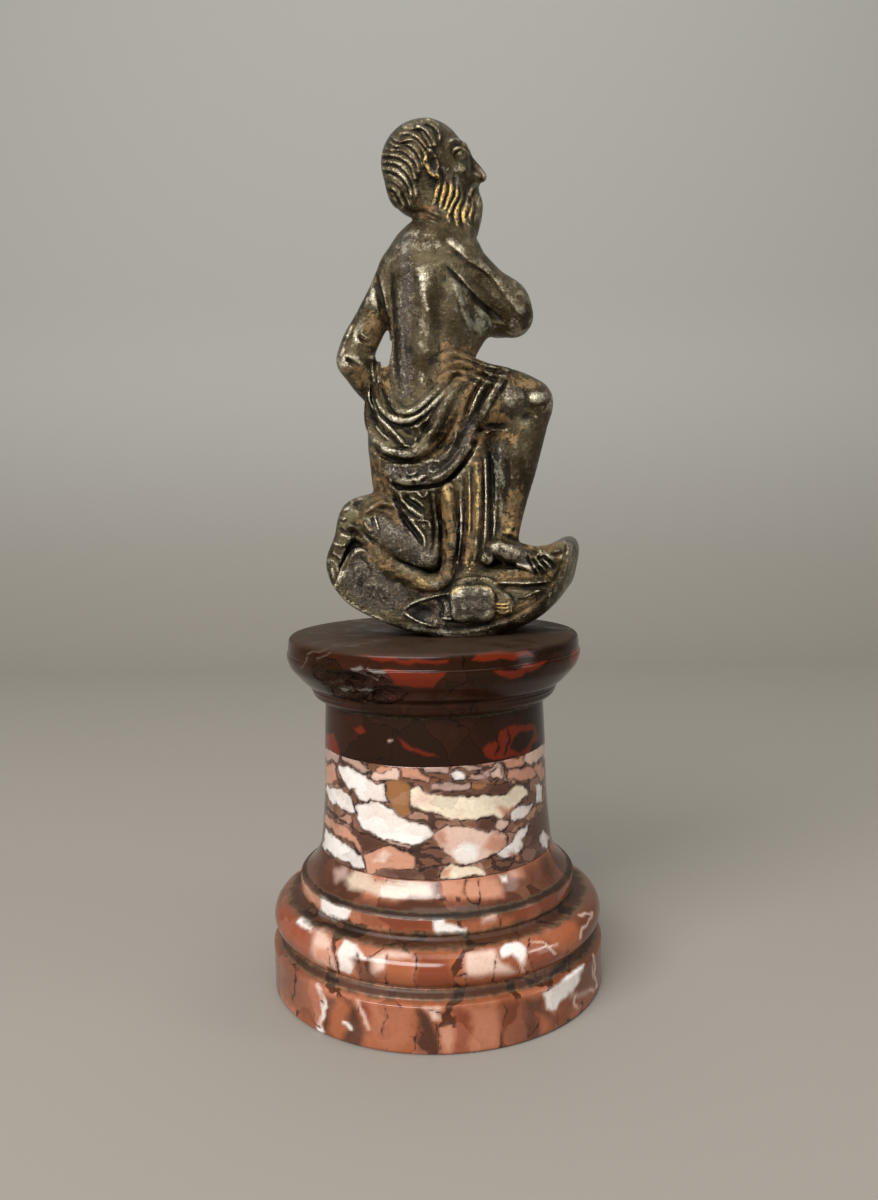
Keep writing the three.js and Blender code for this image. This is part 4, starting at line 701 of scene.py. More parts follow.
def cloth_rolls(clay):
    """The main rolls of the cloth, laid on the hips and thigh one after the other, from the lowest up."""
    clay.roll([[-12.6, 138.4], [-9, 136.6], [-4, 136], [1, 136.6], [5.4, 139.2], [9, 143.6], [11.6, 148.4]],
              2.3, 0.55, 1)
    clay.roll([[-9, 139.4], [-4, 139.2], [1, 140], [5, 143], [8, 148]], 1.3, 0.4, 0.8)
    clay.roll([[3.4, 146], [6, 151.4], [9, 156.4], [12.6, 161]], 2.6, 0.15, 1.4)
    clay.roll([[9.6, 152.4], [12, 156.6], [15.2, 161.4]], 1.3, 0.5, 0.8)
    clay.roll([[12.6, 150.4], [14.8, 154.2], [17, 158.4], [20.4, 163]], 1.4, 0.65, 0.7)
    clay.roll([[-15.8, 158], [-16, 151.6], [-14, 146.2], [-10.6, 143.4], [-6.6, 142.4], [-3, 143.6],
               [0.4, 147.4], [2.8, 152], [5.4, 156.8], [9.2, 161.4], [12.6, 163.6]], 1.7, 0.75, 0.7)
    clay.roll([[-14.2, 156.4], [-12, 151.6], [-9.2, 147.6], [-7.2, 144.6]], 1.2, 0.7, 0.6)
    clay.roll([[-13.8, 165], [-14.2, 158.4], [-12.2, 153.8], [-8.8, 151.4], [-5.4, 151.2], [-1.6, 153.4],
               [2.6, 157], [7.6, 161.8]], 1.2, 0.7, 0.6)
    clay.roll([[-11.6, 166.6], [-11.2, 161], [-9.6, 156.4], [-7.4, 153.6], [-4, 154], [0, 156.8],
               [3.6, 160.4], [6.6, 164.6]], 1.1, 0.75, 0.6)
    clay.roll([[-16.4, 129.4], [-13.6, 129.8], [-10.4, 128.8], [-8.4, 126]], 1.5, 0.4, 0.8)


def waist_relief(sheet):
    """The hem of the cloth round the waist and the gathers that run from it over the thigh."""
    sheet.fold([[2.6, 167.4], [5, 168.8], [8, 168.6], [11.4, 166.8], [16, 165.2], [20.4, 164.8], [24, 163.6]],
               0.7, 1.6, 0.9)
    sheet.fold([[4.4, 165.4], [8.4, 166.4], [12.4, 164.8], [17, 163], [21.6, 162.4]], 0.6, 1.5, 0.8)
    sheet.fold([[3.4, 162.6], [7.4, 164], [11.6, 162.8], [15.4, 161], [19.4, 160.4]], 0.6, 1.5, 0.8)
    sheet.fold([[8.6, 161.8], [12, 160.6], [15, 158.6]], 0.6, 1.3, 0.6)
    sheet.ridge([[5.4, 167.2], [10, 166.4], [14.4, 164.4], [19, 163.4]], 0.45, -0.6)
    sheet.ridge([[5, 164.2], [9.6, 164.2], [13.6, 162.6], [17.4, 161.4]], 0.45, -0.6)


def cloth_relief(sheet):
    """The swags between the rolls of cloth."""
    sheet.ridge([[-12.4, 165.6], [-12.6, 160], [-10.9, 155], [-8.6, 152.6], [-4.4, 152.6], [-0.6, 155.2],
                 [3.4, 159]], 0.55, -0.7)
    sheet.ridge([[-15, 163], [-15.2, 158], [-13.4, 153.4], [-10, 150.3], [-6, 149.7], [-2, 151.6],
                 [1.4, 154.6]], 0.7, -1)
    sheet.fold([[-15.6, 162], [-15.8, 156], [-13.4, 153.6]], 0.8, 0.6, 0.6)
    sheet.ridge([[-7.2, 144.6], [-5.6, 144.4], [-4, 145.2], [-3.9, 147.2]], 0.7, 0.8)
    sheet.ridge([[-15, 152.2], [-13.4, 149.4], [-10.4, 146.6], [-8.2, 144.6]], 0.6, -0.7)
    sheet.ridge([[-14.6, 150.6], [-12.8, 148], [-10.4, 146]], 0.5, 0.5)
    sheet.mound(-5.2, 148.6, 3.4, 1.7, -1.3, -32)
    sheet.ridge([[-7.4, 149.3], [-5.4, 149.4], [-4.4, 148.2], [-5.4, 147.4]], 0.5, 0.5)
    sheet.fold([[-14.4, 153.2], [-11.7, 150.2], [-9.1, 147.6], [-7.2, 145.2], [-5.2, 144.2]], 1.5, 0.8, 0.9)
    sheet.ridge([[-13.4, 150.2], [-11, 147.8], [-8.8, 145.8]], 0.4, -0.5)
    sheet.ridge([[-10.4, 150.2], [-8.4, 148], [-6.4, 145.8]], 0.35, -0.4)
    sheet.mound(-1.2, 149.4, 2.1, 1.7, -1, 40)
    sheet.ridge([[-12.6, 144.9], [-8, 143.9], [-4.6, 144.9], [-2, 147.6], [0.2, 151.6], [2.4, 155.8]], 0.5,
                -0.5)
    sheet.ridge([[-15.4, 145.6], [-13, 142.4], [-8, 140.7], [-3, 141], [1.6, 143.6], [5, 148], [8, 153.6]], 1,
                -1.6)
    sheet.mound(2.4, 145, 3.4, 3.8, -1.2, 45)
    sheet.ridge([[9, 151], [10.6, 155.6], [12.4, 159], [15, 162.4]], 0.9, -1.3)
    sheet.fold([[10.4, 152], [11.8, 156], [13.6, 159.4], [16.4, 162.6]], 0.7, 1.4, 0.8)
    sheet.ridge([[12.2, 152.4], [14.6, 157], [18, 161.8]], 0.7, -0.8)
    sheet.ridge([[16.4, 153.8], [18.6, 158], [21, 161.6]], 0.7, -0.8)
    sheet.fold([[5.8, 144.8], [6.6, 147], [7.4, 149.6]], 0.5, 0.9, 0.6)
    overfold_relief(sheet)
    hanging_relief(sheet)


def overfold_relief(sheet):
    """The crumpled fold of cloth that lies across the hips, and what shows under it."""
    sheet.ridge([[-12.4, 135.6], [-8, 133.6], [-3, 133.5], [2, 134.3], [6.4, 136.9], [10.4, 141.8],
                 [13, 146.6]], 0.8, -1.8)
    for points in ([[-7, 138.6], [-6, 137.2], [-4.6, 137.2], [-3.4, 138.2]],
                   [[-5, 136.2], [-3.6, 135.4], [-2.2, 136.4], [0, 137]],
                   [[-1, 138.4], [1, 137.6], [2.6, 138.6]],
                   [[0, 135.6], [2.4, 136.4], [4.6, 138.2]],
                   [[-1.6, 139.8], [0.4, 140.6], [3, 140.2]],
                   [[4, 142.4], [6.4, 145.4], [8.6, 149]]):
        sheet.ridge(points, 0.7, 0.5)
    for points in ([[-6.6, 136.2], [-4.8, 136.2], [-3, 137.2]], [[1.4, 141.4], [4.6, 143.6], [7, 147]],
                   [[2.8, 137.4], [6.4, 140.6], [9, 144.6]], [[-9.4, 137.6], [-7.6, 136]]):
        sheet.ridge(points, 0.5, -0.45)
    sheet.mound(13.2, 148.4, 1.3, 1, -2, 20)
    sheet.mound(11.6, 145, 1.1, 1.3, -1.6, -30)
    sheet.fold([[13.6, 150.6], [15.4, 149.4], [18.4, 149.5], [21.8, 149.8]], 0.6, 0.8, -0.45)
    sheet.fold([[13.8, 147.2], [16.6, 148.3], [19, 148.4], [21.6, 148.6]], 0.7, 2, 0.8)
    sheet.ridge([[-14.6, 141], [-13.4, 136], [-11.6, 131.6]], 1.2, -0.6)
    sheet.ridge([[-11.2, 136.2], [-9.9, 133.2], [-9.2, 130.2]], 0.8, 0.7)


def hanging_relief(sheet):
    """The straight folds that hang between the legs, and the crumpled ones in front of them."""
    sheet.ridge([[2.9, 133.7], [4.4, 131.7], [5.2, 127.5], [5.9, 122.7], [5.5, 117.9], [4.2, 112.7]], 1.8,
                0.9)
    sheet.ridge([[1.4, 131.6], [2.4, 126], [3, 121], [2.8, 116], [2, 112]], 1.1, -1.2)
    sheet.ridge([[6.8, 132.6], [7.2, 124], [6.6, 116], [5, 109.4]], 0.4, -0.8)
    sheet.ridge([[7.6, 134], [7.9, 124], [7.3, 116], [6, 109.8]], 0.5, 0.5)
    sheet.ridge([[9, 137], [9.2, 129], [8.9, 121], [7.8, 110.8]], 0.9, -1.1)
    sheet.ridge([[10.2, 138.4], [10.3, 130], [10, 120]], 0.4, 0.6)
    sheet.ridge([[11, 139], [11, 130], [10.6, 119]], 0.4, -0.8)
    sheet.ridge([[12.4, 141.4], [12.6, 134], [12.5, 127], [12, 120], [10.9, 111.6]], 1.4, 1.1)
    sheet.ridge([[13.8, 142], [13.9, 132], [13.7, 124], [13.1, 116.8]], 0.5, -1.1)
    sheet.ridge([[14.6, 143], [14.7, 133], [14.5, 124], [14.2, 117.6]], 0.6, 0.7)
    sheet.ridge([[15.7, 143], [16, 133], [15.9, 125], [15.6, 118.6]], 0.8, -1.2)
    sheet.ridge([[16.3, 131.4], [16.5, 128], [16.3, 123.6]], 0.35, 0.6)
    sheet.ridge([[17.2, 141], [17.4, 132], [17, 124], [16.6, 120]], 0.7, 0.6)
    sheet.ridge([[-0.6, 133.6], [0.4, 128], [0.8, 121], [-0.2, 115.4]], 0.8, -0.7)
    sheet.ridge([[-10.6, 134.4], [-9, 128.8], [-6.8, 124.6], [-4, 120.8], [-2.4, 118]], 0.8, -1.3)
    sheet.fold([[-9.2, 133.4], [-7.4, 129.6], [-4.6, 126.8], [-1.6, 124.8]], 1.4, 0.7, 0.9)
    sheet.ridge([[-7.4, 131.4], [-4.2, 129], [-1, 127]], 0.8, -0.7)
    sheet.ridge([[-5.6, 128.4], [-3.6, 126.8], [-1.8, 125.6]], 0.6, 0.7)
    sheet.ridge([[-3.8, 132.4], [-2, 131], [-0.8, 132.6]], 0.7, 0.6)
    sheet.fold([[-6.6, 126.4], [-4, 123], [-2.2, 120.2], [-2, 117]], 1, 0.6, 0.9)
    sheet.ridge([[-5.6, 125.4], [-3.4, 124.8], [-0.8, 124.4], [-0.2, 122.4]], 0.6, 0.6)
    sheet.ridge([[-4.6, 124.2], [-2.6, 122.4], [-1, 121]], 0.5, -0.5)
    sheet.ridge([[-6, 131], [-3.6, 130], [-1.8, 128.4]], 0.5, 0.4)


def knee_relief(sheet):
    """The bent knee and shin, the calf and the foot that is tucked behind."""
    sheet.mound(28.4, 156.6, 4, 2.6, 1.1, 10)
    sheet.mound(22.6, 156, 3.6, 4.4, 0.8)
    sheet.mound(25.4, 151.6, 2.2, 1.8, -0.6)
    sheet.mound(28.2, 151.4, 1.3, 1.2, 0.4)
    sheet.ridge([[24.4, 160.6], [25.6, 157.4], [25.4, 153.6]], 0.9, -0.4)
    sheet.ridge([[19.8, 160.2], [19, 156], [19.4, 152]], 0.8, -0.5)
    sheet.fold([[21, 147.6], [22.6, 143], [22.8, 136], [22.6, 128], [21.8, 121.6]], 2, 3, 0.6)
    sheet.ridge([[18.2, 146], [18.4, 140], [18.6, 132], [18.2, 124]], 1.4, 0.5)
    sheet.ridge([[20.2, 141], [20.4, 133], [19.8, 125]], 0.9, -0.5)
    sheet.mound(20.2, 121.2, 1.9, 1.4, 1)
    sheet.ridge([[22.8, 127], [22.6, 123.6], [21.6, 121]], 0.7, -0.4)
    for z in (126.4, 125.6, 124.8):
        sheet.ridge([[18.6, z + 0.3], [21.6, z - 0.2]], 0.35, -0.25)
    sheet.ridge([[-18.4, 126.6], [-15, 129], [-12, 129.4], [-9.4, 128.6], [-8, 126]], 1.3, 1)
    sheet.ridge([[-17.8, 126], [-16, 127], [-13, 126.8], [-10, 125.4]], 0.7, -0.7)
    sheet.ridge([[-17.9, 124.2], [-16.9, 122.8], [-16.1, 122.3]], 0.55, 0.8, False)
    sheet.ridge([[-15.1, 126.4], [-14.7, 124.4], [-14.2, 122.5]], 0.5, 0.8, False)
    sheet.ridge([[-16, 125.6], [-15.7, 123.6]], 0.5, -0.5, False)
    sheet.ridge([[-8.4, 125.4], [-7.6, 123.2], [-6.2, 122.6]], 0.6, 0.6)
    sheet.ridge([[-18.6, 122], [-16, 119.8], [-12, 116.6], [-8, 113.7], [-3, 111.8], [1.4, 110.5]], 0.5, -0.9)
    sheet.ridge([[-22.6, 124], [-20.6, 123.2], [-19, 122.4]], 0.6, 0.5)
    sheet.ridge([[-22.8, 122.6], [-20.4, 121.6], [-18.4, 120]], 0.6, -0.6)
    sheet.ridge([[-20.4, 128.8], [-18.6, 127.4], [-19.2, 125.6]], 0.8, -0.6)
    sheet.mound(-23.4, 125.6, 1.1, 1, 0.9)
    sheet.mound(-19.6, 129.4, 2.2, 1.3, -1, 20)
    sheet.mound(-22.6, 128.2, 1.6, 0.9, 0.6, 40)
    sheet.ridge([[-25, 123], [-22.4, 121.6], [-20.4, 121.9]], 0.8, -0.7)
    sheet.ridge([[-26.6, 119.4], [-24.4, 118.4], [-22.4, 119]], 0.7, 0.5)
    sheet.ridge([[-27.4, 116], [-25.4, 114.6], [-24.6, 112.6]], 0.8, -0.5)
    sheet.fold([[-20.8, 119.8], [-22.4, 117], [-23.8, 114], [-24.8, 111.6]], 1.5, 0.7, -1.8)


def ground_relief(sheet):
    """Toes, the ground's rims and scratches, and the marks on the tortoise."""
    for points in ([[25.6, 114.2], [27, 111.8], [27.9, 110]], [[27, 113.6], [28.9, 111.4], [29.8, 109.9]],
                   [[28.6, 114.4], [30.4, 112.2], [31.4, 110.6]], [[30, 114.6], [31.8, 112.9],
                                                                   [32.8, 111.4]]):
        sheet.ridge(points, 0.55, -1, False)
    sheet.ridge([[17.2, 115], [20, 113.2], [23.6, 111.6], [27, 110.1]], 0.6, -0.8)
    sheet.mound(33.3, 116.1, 1.5, 0.8, 1, 8)
    sheet.ridge([[31.4, 115.4], [33.2, 115], [35, 115.6]], 0.4, -0.7)
    sheet.mound(34.8, 114.2, 1, 1.2, 0.6)
    sheet.ridge([[35.9, 118.2], [35.8, 116], [34.8, 112.6], [33.4, 109.4], [32.4, 107]], 0.5, -0.9)
    sheet.fold([[17.2, 119.4], [20, 118], [23, 116.6], [27, 114.9]], 0.9, 2, 0.5)
    sheet.ridge([[18.6, 121], [22, 119.4], [26, 117], [29, 115.4]], 0.6, -0.7)
    sheet.fold([[-8.2, 100.4], [-5.6, 102.4], [-2, 103.7], [2, 104.6], [4.6, 105.2]], 0.8, 0.6, 0.9)
    sheet.fold([[-8.2, 100.4], [-5.4, 98.4], [-2, 96.8], [1.4, 95.9]], 0.6, 0.8, 0.9)
    sheet.mound(-2.4, 100.2, 4.6, 2.9, -1)
    sheet.ridge([[1.2, 103.6], [2.6, 101.4], [2, 98]], 0.8, -0.6)
    sheet.fold([[16.6, 107.8], [20, 107.7], [24, 107.5], [28, 107.7], [32.6, 108]], 0.6, 0.6, 0.9)
    sheet.ridge([[17, 106.7], [22, 106.5], [27, 106.2], [31.6, 106.8]], 0.9, -1)
    sheet.ridge([[17, 109.6], [20, 109], [23, 109.4], [27, 109], [31, 109.4]], 0.5, 0.4)
    sheet.ridge([[18, 111], [21, 110.2], [24, 110.8]], 0.5, -0.5)
    sheet.ridge([[24, 103.4], [26.6, 104.6], [29.4, 106]], 0.9, 0.5)
    sheet.mound(23.4, 103, 0.9, 0.8, -0.5)
    sheet.ridge([[21.6, 101.6], [24, 102.2], [26, 103.4]], 0.7, -0.5)
    sheet.fold([[-21.6, 115], [-18.6, 116.8], [-14.6, 113.4], [-10.4, 109]], 1, 2, 0.35)
    sheet.mound(-20.4, 110.6, 2.6, 4, 0.35, -20)
    sheet.mound(-16, 106.6, 3, 3.4, 0.3, 30)
    chance = np.random.default_rng(8)
    for _ in range(34):
        middle = np.array([-16.4, 108.4]) + chance.normal(0, 1, 2) * [3.4, 3.2]
        turn, long = chance.uniform(0, np.pi), chance.uniform(1, 3.2)
        way = np.array([np.cos(turn), np.sin(turn)]) * long
        bow = np.array([-way[1], way[0]]) * chance.uniform(-0.25, 0.25)
        sheet.ridge(np.array([middle - way, middle + bow, middle + way]), 0.32, chance.uniform(-0.34, 0.22))
    for points in ([[-20, 115.6], [-17.2, 113.2], [-16, 110]], [[-21.6, 113.6], [-21, 110], [-21.4, 106.4]],
                   [[-19.2, 110], [-19, 107], [-19.4, 104.6]], [[-14.6, 107.4], [-13, 104.4], [-11.8, 102.6]],
                   [[-17, 115.2], [-13.6, 111.6], [-11.2, 108]]):
        sheet.ridge(points, 0.5, -0.3)
    sheet.fold([[-3, 95.8], [2, 95.3], [7, 95.2], [13, 96], [20, 98.2], [27, 101.6], [31.6, 106.2],
                [34.8, 111.8]], 1.4, 0.5, -0.7)
    sheet.fold([[-3, 94.9], [2, 94.4], [7, 94.3], [13, 95.1], [20.5, 97.3], [27.7, 100.8], [32.4, 105.4],
                [35.7, 111.4], [36.8, 116]], 0.5, 1.3, 0.5)
    for z in (101.6, 100.7, 99.8):
        sheet.ridge([[16.8, z], [18.6, z - 0.2], [20.2, z]], 0.3, -0.4)
    sheet.mound(14, 104.4, 1.3, 1.2, 0.35)
    for x, z in ((8, 104.4), (11.6, 104.8), (8.4, 101), (12.4, 101.4)):
        sheet.mound(x, z, 1.9, 1.7, 0.22)


def hair_relief(sheet):
    """Locks of hair swept back from the brow and down to the nape, and the long waves of the beard."""
    locks = [
        [[-0.7, 227], [1.7, 226.3], [3.3, 224.7], [3.7, 222.9]],
        [[-2, 225.9], [0, 225], [1.7, 223.2], [2.4, 221.2]],
        [[-5.4, 225.4], [-3, 225.6], [-0.9, 224.8], [0.6, 223], [1.6, 221]],
        [[-6.6, 224], [-3.4, 224.2], [-1.2, 222.8], [0.2, 221], [1, 219.6]],
        [[-8.4, 223], [-6, 222.5], [-3, 222.7], [-1.3, 221.3], [-0.3, 219.3], [0, 217.6]],
        [[-9.4, 221.8], [-7.3, 221], [-5, 221.7], [-3, 220.5], [-1.5, 218.5], [-0.9, 216.2]],
        [[-10, 220.3], [-6.3, 220.2], [-4, 218.9], [-2.5, 217], [-1.8, 214.8]],
        [[-10.8, 218.8], [-7.7, 218.7], [-5.3, 217.6], [-3.7, 215.8], [-2.6, 213.2]],
        [[-11.2, 217], [-8, 216.9], [-5.7, 215.6], [-4, 213.5], [-3.1, 211], [-2.8, 208.8]],
        [[-11.4, 215.4], [-8.3, 215], [-6.3, 213.8], [-4.7, 211.5], [-3.9, 208.6]],
        [[-11.2, 213.4], [-8, 212.4], [-6.3, 210.6], [-5.1, 208.6], [-4.5, 206.4]],
        [[-11, 211.6], [-8.4, 210.3], [-6.8, 208.3], [-5.8, 206]],
        [[-10, 209.2], [-7.9, 207.3], [-6.5, 205.4]],
    ]
    chance = np.random.default_rng(5)
    for lock in locks:
        lock = np.array(lock) + chance.normal(0, 0.12, (len(lock), 2))
        sheet.fold(lock, 1, 0.9, chance.uniform(0.5, 0.85), False)
        sheet.ridge(lock + [0.1, 0.1], 0.4, -0.35)
        sheet.ridge(lock + [-0.45, -0.75], 0.45, -0.6)
        sheet.ridge(lock[:-1] + [0.5, 0.75], 0.5, chance.uniform(0.2, 0.5))
    for x, top in ((0.4, 225.4), (1.1, 225.9), (1.8, 226), (2.5, 225.8), (3.2, 225.4)):
        sheet.ridge([[x + 0.1, 220.4], [x + 0.5, 222.6], [x, top]], 0.36, 0.35)
    waves = [
        [[2.4, 215.2], [3.4, 213.2], [3.2, 210.6], [2.2, 207.4], [1.6, 205.6]],
        [[4.4, 212.2], [4.7, 210], [4, 207.2], [3.2, 204.4]],
        [[6.2, 213], [6.9, 210.4], [6.2, 208], [5, 205.6], [4.2, 203.4]],
        [[7.4, 211], [7.7, 208.6], [6.6, 205.8], [5.6, 203.4], [6, 201.4]],
        [[8.8, 210], [9.3, 207.6], [8.2, 204.8], [8.1, 202], [8.8, 200.2]],
        [[10, 208.6], [10.6, 205.8], [9.8, 203.2], [10.2, 200.4]],
        [[11.4, 207.4], [11.8, 204.6], [11, 202], [11.4, 199.4]],
    ]
    for wave in waves:
        wave = np.array(wave)
        wave += chance.normal(0, 0.12, wave.shape)
        sheet.ridge(wave, 0.85, chance.uniform(0.55, 0.9))
        sheet.ridge(wave + [0.1, 0], 0.4, -0.4)
        sheet.ridge(wave + [0.85, 0.1], 0.45, -0.6)
    sheet.fold([[-5.6, 205.6], [-3, 204.6], [-1, 204.6], [2, 203.2], [5.4, 202]], 0.7, 1.2, -0.8)


def far_relief():
    """The side that faces away, plainer: swags of cloth over the lap and the folds that fall from them."""
    sheet = Sheet()
    for i in range(4):
        drop = 6.5 * i
        low = 150 - 1.1 * drop
        sheet.ridge([[-13.5, 158 - drop], [-6, low + 1], [4, low - 0.4], [15, 155 - 0.9 * drop]], 2.2, 1.4)
        sheet.ridge([[-13, 156 - drop], [-6, low - 1.6], [4, low - 3], [14, 152.6 - 0.9 * drop]], 1, -0.5)
    for x in (-7, -1.5, 4, 9.5):
        sheet.ridge([[x + 1, 128], [x + 0.4, 120], [x - 0.6, 110]], 1.8, 1.3)
    sheet.ridge([[0.8, 192], [0.8, 184]], 2, -0.9)
    sheet.ridge([[0.8, 175], [0.4, 166]], 2.2, -0.8)
    hair_relief(sheet)
    return sheet.soften(1)


def press(clay, near, far):
    """Pushes the near side of the clay out by one relief's height and the side that faces away by the
    other's, and leaves the walls between the two, which face neither way, as they are."""
    cells, places, facing = clay.band(RELIEF_REACH)
    x, z = looks_at(*places.T)
    height = np.where(facing < 0, near.at(x, z), far.at(x, z))
    clay.value[cells] -= (height * np.clip((np.abs(facing) - 0.12) / 0.4, 0, 1)).astype(np.float32)


def open_under_arm(clay):
    """The slit between the left arm and the back, open right through."""
    cut, x, y, z = clay.part((-18, CLAY_LOW[1], 160), (-4, CLAY_HIGH[1], 178))
    slit = np.array([[-9.9, 171.6], [-10.9, 169.2], [-11.6, 166.2]])
    distance, along, _ = nearest(slit, *looks_at(x, y, z))
    clay.value[cut] = np.maximum(clay.value[cut], 0.35 + 0.75 * np.minimum(1, 2.2 * along) - distance)


# Stones: turned profiles, with the flakes and nicks of wear cut into them

def arc(r, z, rr, rz, start, end, steps=16):
    """Points along an arc of an ellipse, from one angle to another, both in degrees."""
    a = np.radians(np.linspace(start, end, steps + 1))
    return np.column_stack([r + rr * np.cos(a), z + rz * np.sin(a)]).tolist()


def base_profile():
    half = (TORUS_TOP - TORUS_LOW) / 2
    slope = SHAFT_LOW_R - FILLET_R
    return [
        [BASE_R - 0.6, 0],
        [BASE_R, 0.6],
        [BASE_R, DRUM_TOP - 0.4],
        [BASE_R - 0.4, DRUM_TOP],
        [BASE_R - 1.9, DRUM_TOP + 0.5],
        [BASE_R - 2.4, TORUS_LOW],
        *arc(TORUS_R - 5.2, TORUS_LOW + half, 5.2, half, -62, 78),
        [FILLET_R + 0.1, TORUS_TOP + 0.3],
        [FILLET_R - 0.4, FILLET_LOW],
        [FILLET_R, FILLET_LOW + 0.5],
        [FILLET_R, FILLET_TOP - 0.3],
        [FILLET_R - 0.4, FILLET_TOP],
        *smooth([
            [FILLET_R + 0.07 * slope, FILLET_TOP + 0.2],
            [FILLET_R + 0.34 * slope, FILLET_TOP + 1.3],
            [FILLET_R + 0.68 * slope, FILLET_TOP + 3.6],
            [SHAFT_LOW_R, SHAFT_LOW],
        ]).tolist(),
    ]


def shaft_profile():
    return smooth([
        [SHAFT_LOW_R, SHAFT_LOW],
        [SHAFT_TOP_R + 0.35, (SHAFT_LOW + SHAFT_TOP) / 2],
        [SHAFT_TOP_R, SHAFT_TOP],
    ]).tolist()


def capital_profile():
    overhang = RIM_R - OVOLO_LOW_R
    rise = RIM_LOW - OVOLO_LOW
    return [
        [SHAFT_TOP_R, SHAFT_TOP],
        [NECK_TOP_R, NECK_TOP - 0.3],
        [NECK_TOP_R + 0.3, NECK_TOP],
        *arc(NECK_TOP_R + 0.5, NECK_TOP + 2.6, 2.9, 2.3, -80, 0, 8),
        [OVOLO_LOW_R - 0.1, NECK_TOP + 2.8],
        [OVOLO_LOW_R, NECK_TOP + 3],
        [OVOLO_LOW_R, OVOLO_LOW],
        *smooth([
            [OVOLO_LOW_R + 0.05 * overhang, OVOLO_LOW + 0.05 * rise],
            [OVOLO_LOW_R + 0.3 * overhang, OVOLO_LOW + 0.2 * rise],
            [OVOLO_LOW_R + 0.6 * overhang, OVOLO_LOW + 0.48 * rise],
            [OVOLO_LOW_R + 0.86 * overhang, OVOLO_LOW + 0.76 * rise],
            [RIM_R - 0.2, RIM_LOW],
            [RIM_R, RIM_LOW + 1],
            [RIM_R, RIM_TOP - 0.3],
            [RIM_R - 0.3, RIM_TOP],
        ]).tolist(),
        [TOP_R + 1, PLINTH_TOP - 2],
        [TOP_R + 0.7, PLINTH_TOP - 0.7],
        [TOP_R + 0.2, PLINTH_TOP - 0.15],
        [TOP_R - 0.3, PLINTH_TOP],
    ]


def turned(profile, spacing, sides):
    """Points and four-sided faces of a solid of revolution, closed at its ends by shallow fans."""
    profile = np.array(profile, float)
    long = np.hypot(*np.diff(profile, axis=0).T)
    steps = np.maximum(1, np.ceil(long / spacing)).astype(int)
    rows = []
    for a, b, n in zip(profile[:-1], profile[1:], steps):
        rows += [a + (b - a) * t for t in np.arange(n)[:, None] / n]
    rows = np.vstack([*rows, profile[-1]])
    inner = lambda end: [[end[0] * share, end[1]] for share in (0.94, 0.7, 0.4, 0.15)]
    rows = np.vstack([inner(rows[0])[::-1], rows, inner(rows[-1])])
    turn = np.arange(sides) * 2 * np.pi / sides
    points = np.stack([
        rows[:, :1] * np.cos(turn),
        rows[:, :1] * np.sin(turn),
        np.repeat(rows[:, 1:], sides, axis=1),
    ], axis=-1).reshape(-1, 3)
    i, j = np.meshgrid(np.arange(len(rows) - 1), np.arange(sides), indexing="ij")
    after = (j + 1) % sides
    faces = [i * sides + j, i * sides + after, (i + 1) * sides + after, (i + 1) * sides + j]
    ends = [list(range(sides))[::-1], [(len(rows) - 1) * sides + k for k in range(sides)]]
    return points, [*np.stack(faces, axis=-1).reshape(-1, 4).tolist(), *ends]


def from_axis(points):
    """The level way out from the plinth's axis at each point."""
    out = points * [1, 1, 0]
    return out / np.maximum(np.linalg.norm(out, axis=1, keepdims=True), 1e-6)


def flaked(points, flakes):
    """Points pushed in towards the axis until they are out of every flake, so that its hollow is left."""
    points = points.copy()
    for angle, r, z, size, turn in flakes:
        a = np.radians(angle)
        out = np.array([np.cos(a), np.sin(a), 0])
        across = np.array([-np.sin(a), np.cos(a), 0])
        c, s = np.cos(turn), np.sin(turn)
        axes = np.stack([across * c + np.array([0, 0, s]), out, np.array([0, 0, c]) - across * s])
        radii = np.array(size) / 2
        place = ((points - out * r - np.array([0, 0, z])) @ axes.T) / radii
        radial = from_axis(points)
        way = (-radial @ axes.T) / radii
        qa, qb, qc = (way * way).sum(axis=1), (place * way).sum(axis=1), (place * place).sum(axis=1) - 1
        root = np.sqrt(np.maximum(qb * qb - qa * qc, 0))
        shift = np.where(qc < 0, (-qb + root) / np.maximum(qa, 1e-9), 0)
        points -= radial * np.minimum(shift, MOST_FLAKED)[:, None]
    return points


def chipped(points, outline, depth, facets):
    """Points inside an outline pushed towards the axis into a rough hollow of flat facets."""
    edge = closed(outline)
    x, z = looks_at(*points.T)
    distance = np.where(points[:, 1] < 0, -signed_edge(edge, x, z), 0)
    chance = np.random.default_rng(5)
    middles = chance.uniform(edge.min(axis=0), edge.max(axis=0), (facets, 2))
    slopes = chance.normal(0, 0.3, (facets, 2))
    lifts = chance.uniform(-0.3, 0.3, facets)
    off = np.stack([x, z], axis=1)[:, None] - middles
    which = np.hypot(off[..., 0], off[..., 1] * 1.4).argmin(axis=1)
    own = lifts[which] + (off[np.arange(len(x)), which] * slopes[which]).sum(axis=1)
    deep = np.clip(distance, 0, depth) * 0.8 + own * np.clip(distance, 0, 1)
    return points - from_axis(points) * np.clip(deep, 0, MOST_CHIPPED)[:, None]


# Meshes and pieces

def new_mesh(name, points, faces):
    """A smooth mesh in metres from points in mm."""
    mesh = bpy.data.meshes.new(name)
    mesh.from_pydata((points / 1000).tolist(), [], faces)
    mesh.polygons.foreach_set("use_smooth", np.ones(len(mesh.polygons), bool))
    mesh.update()
    return mesh


def at_points(mesh, kind):
    """Three numbers for each point of a mesh, such as its place in metres, "co", or its "normal"."""
    values = np.empty(len(mesh.vertices) * 3, np.float32)
    mesh.vertices.foreach_get(kind, values)
    return values.reshape(-1, 3).astype(float)


def coordinates(mesh):
    return at_points(mesh, "co") * 1000


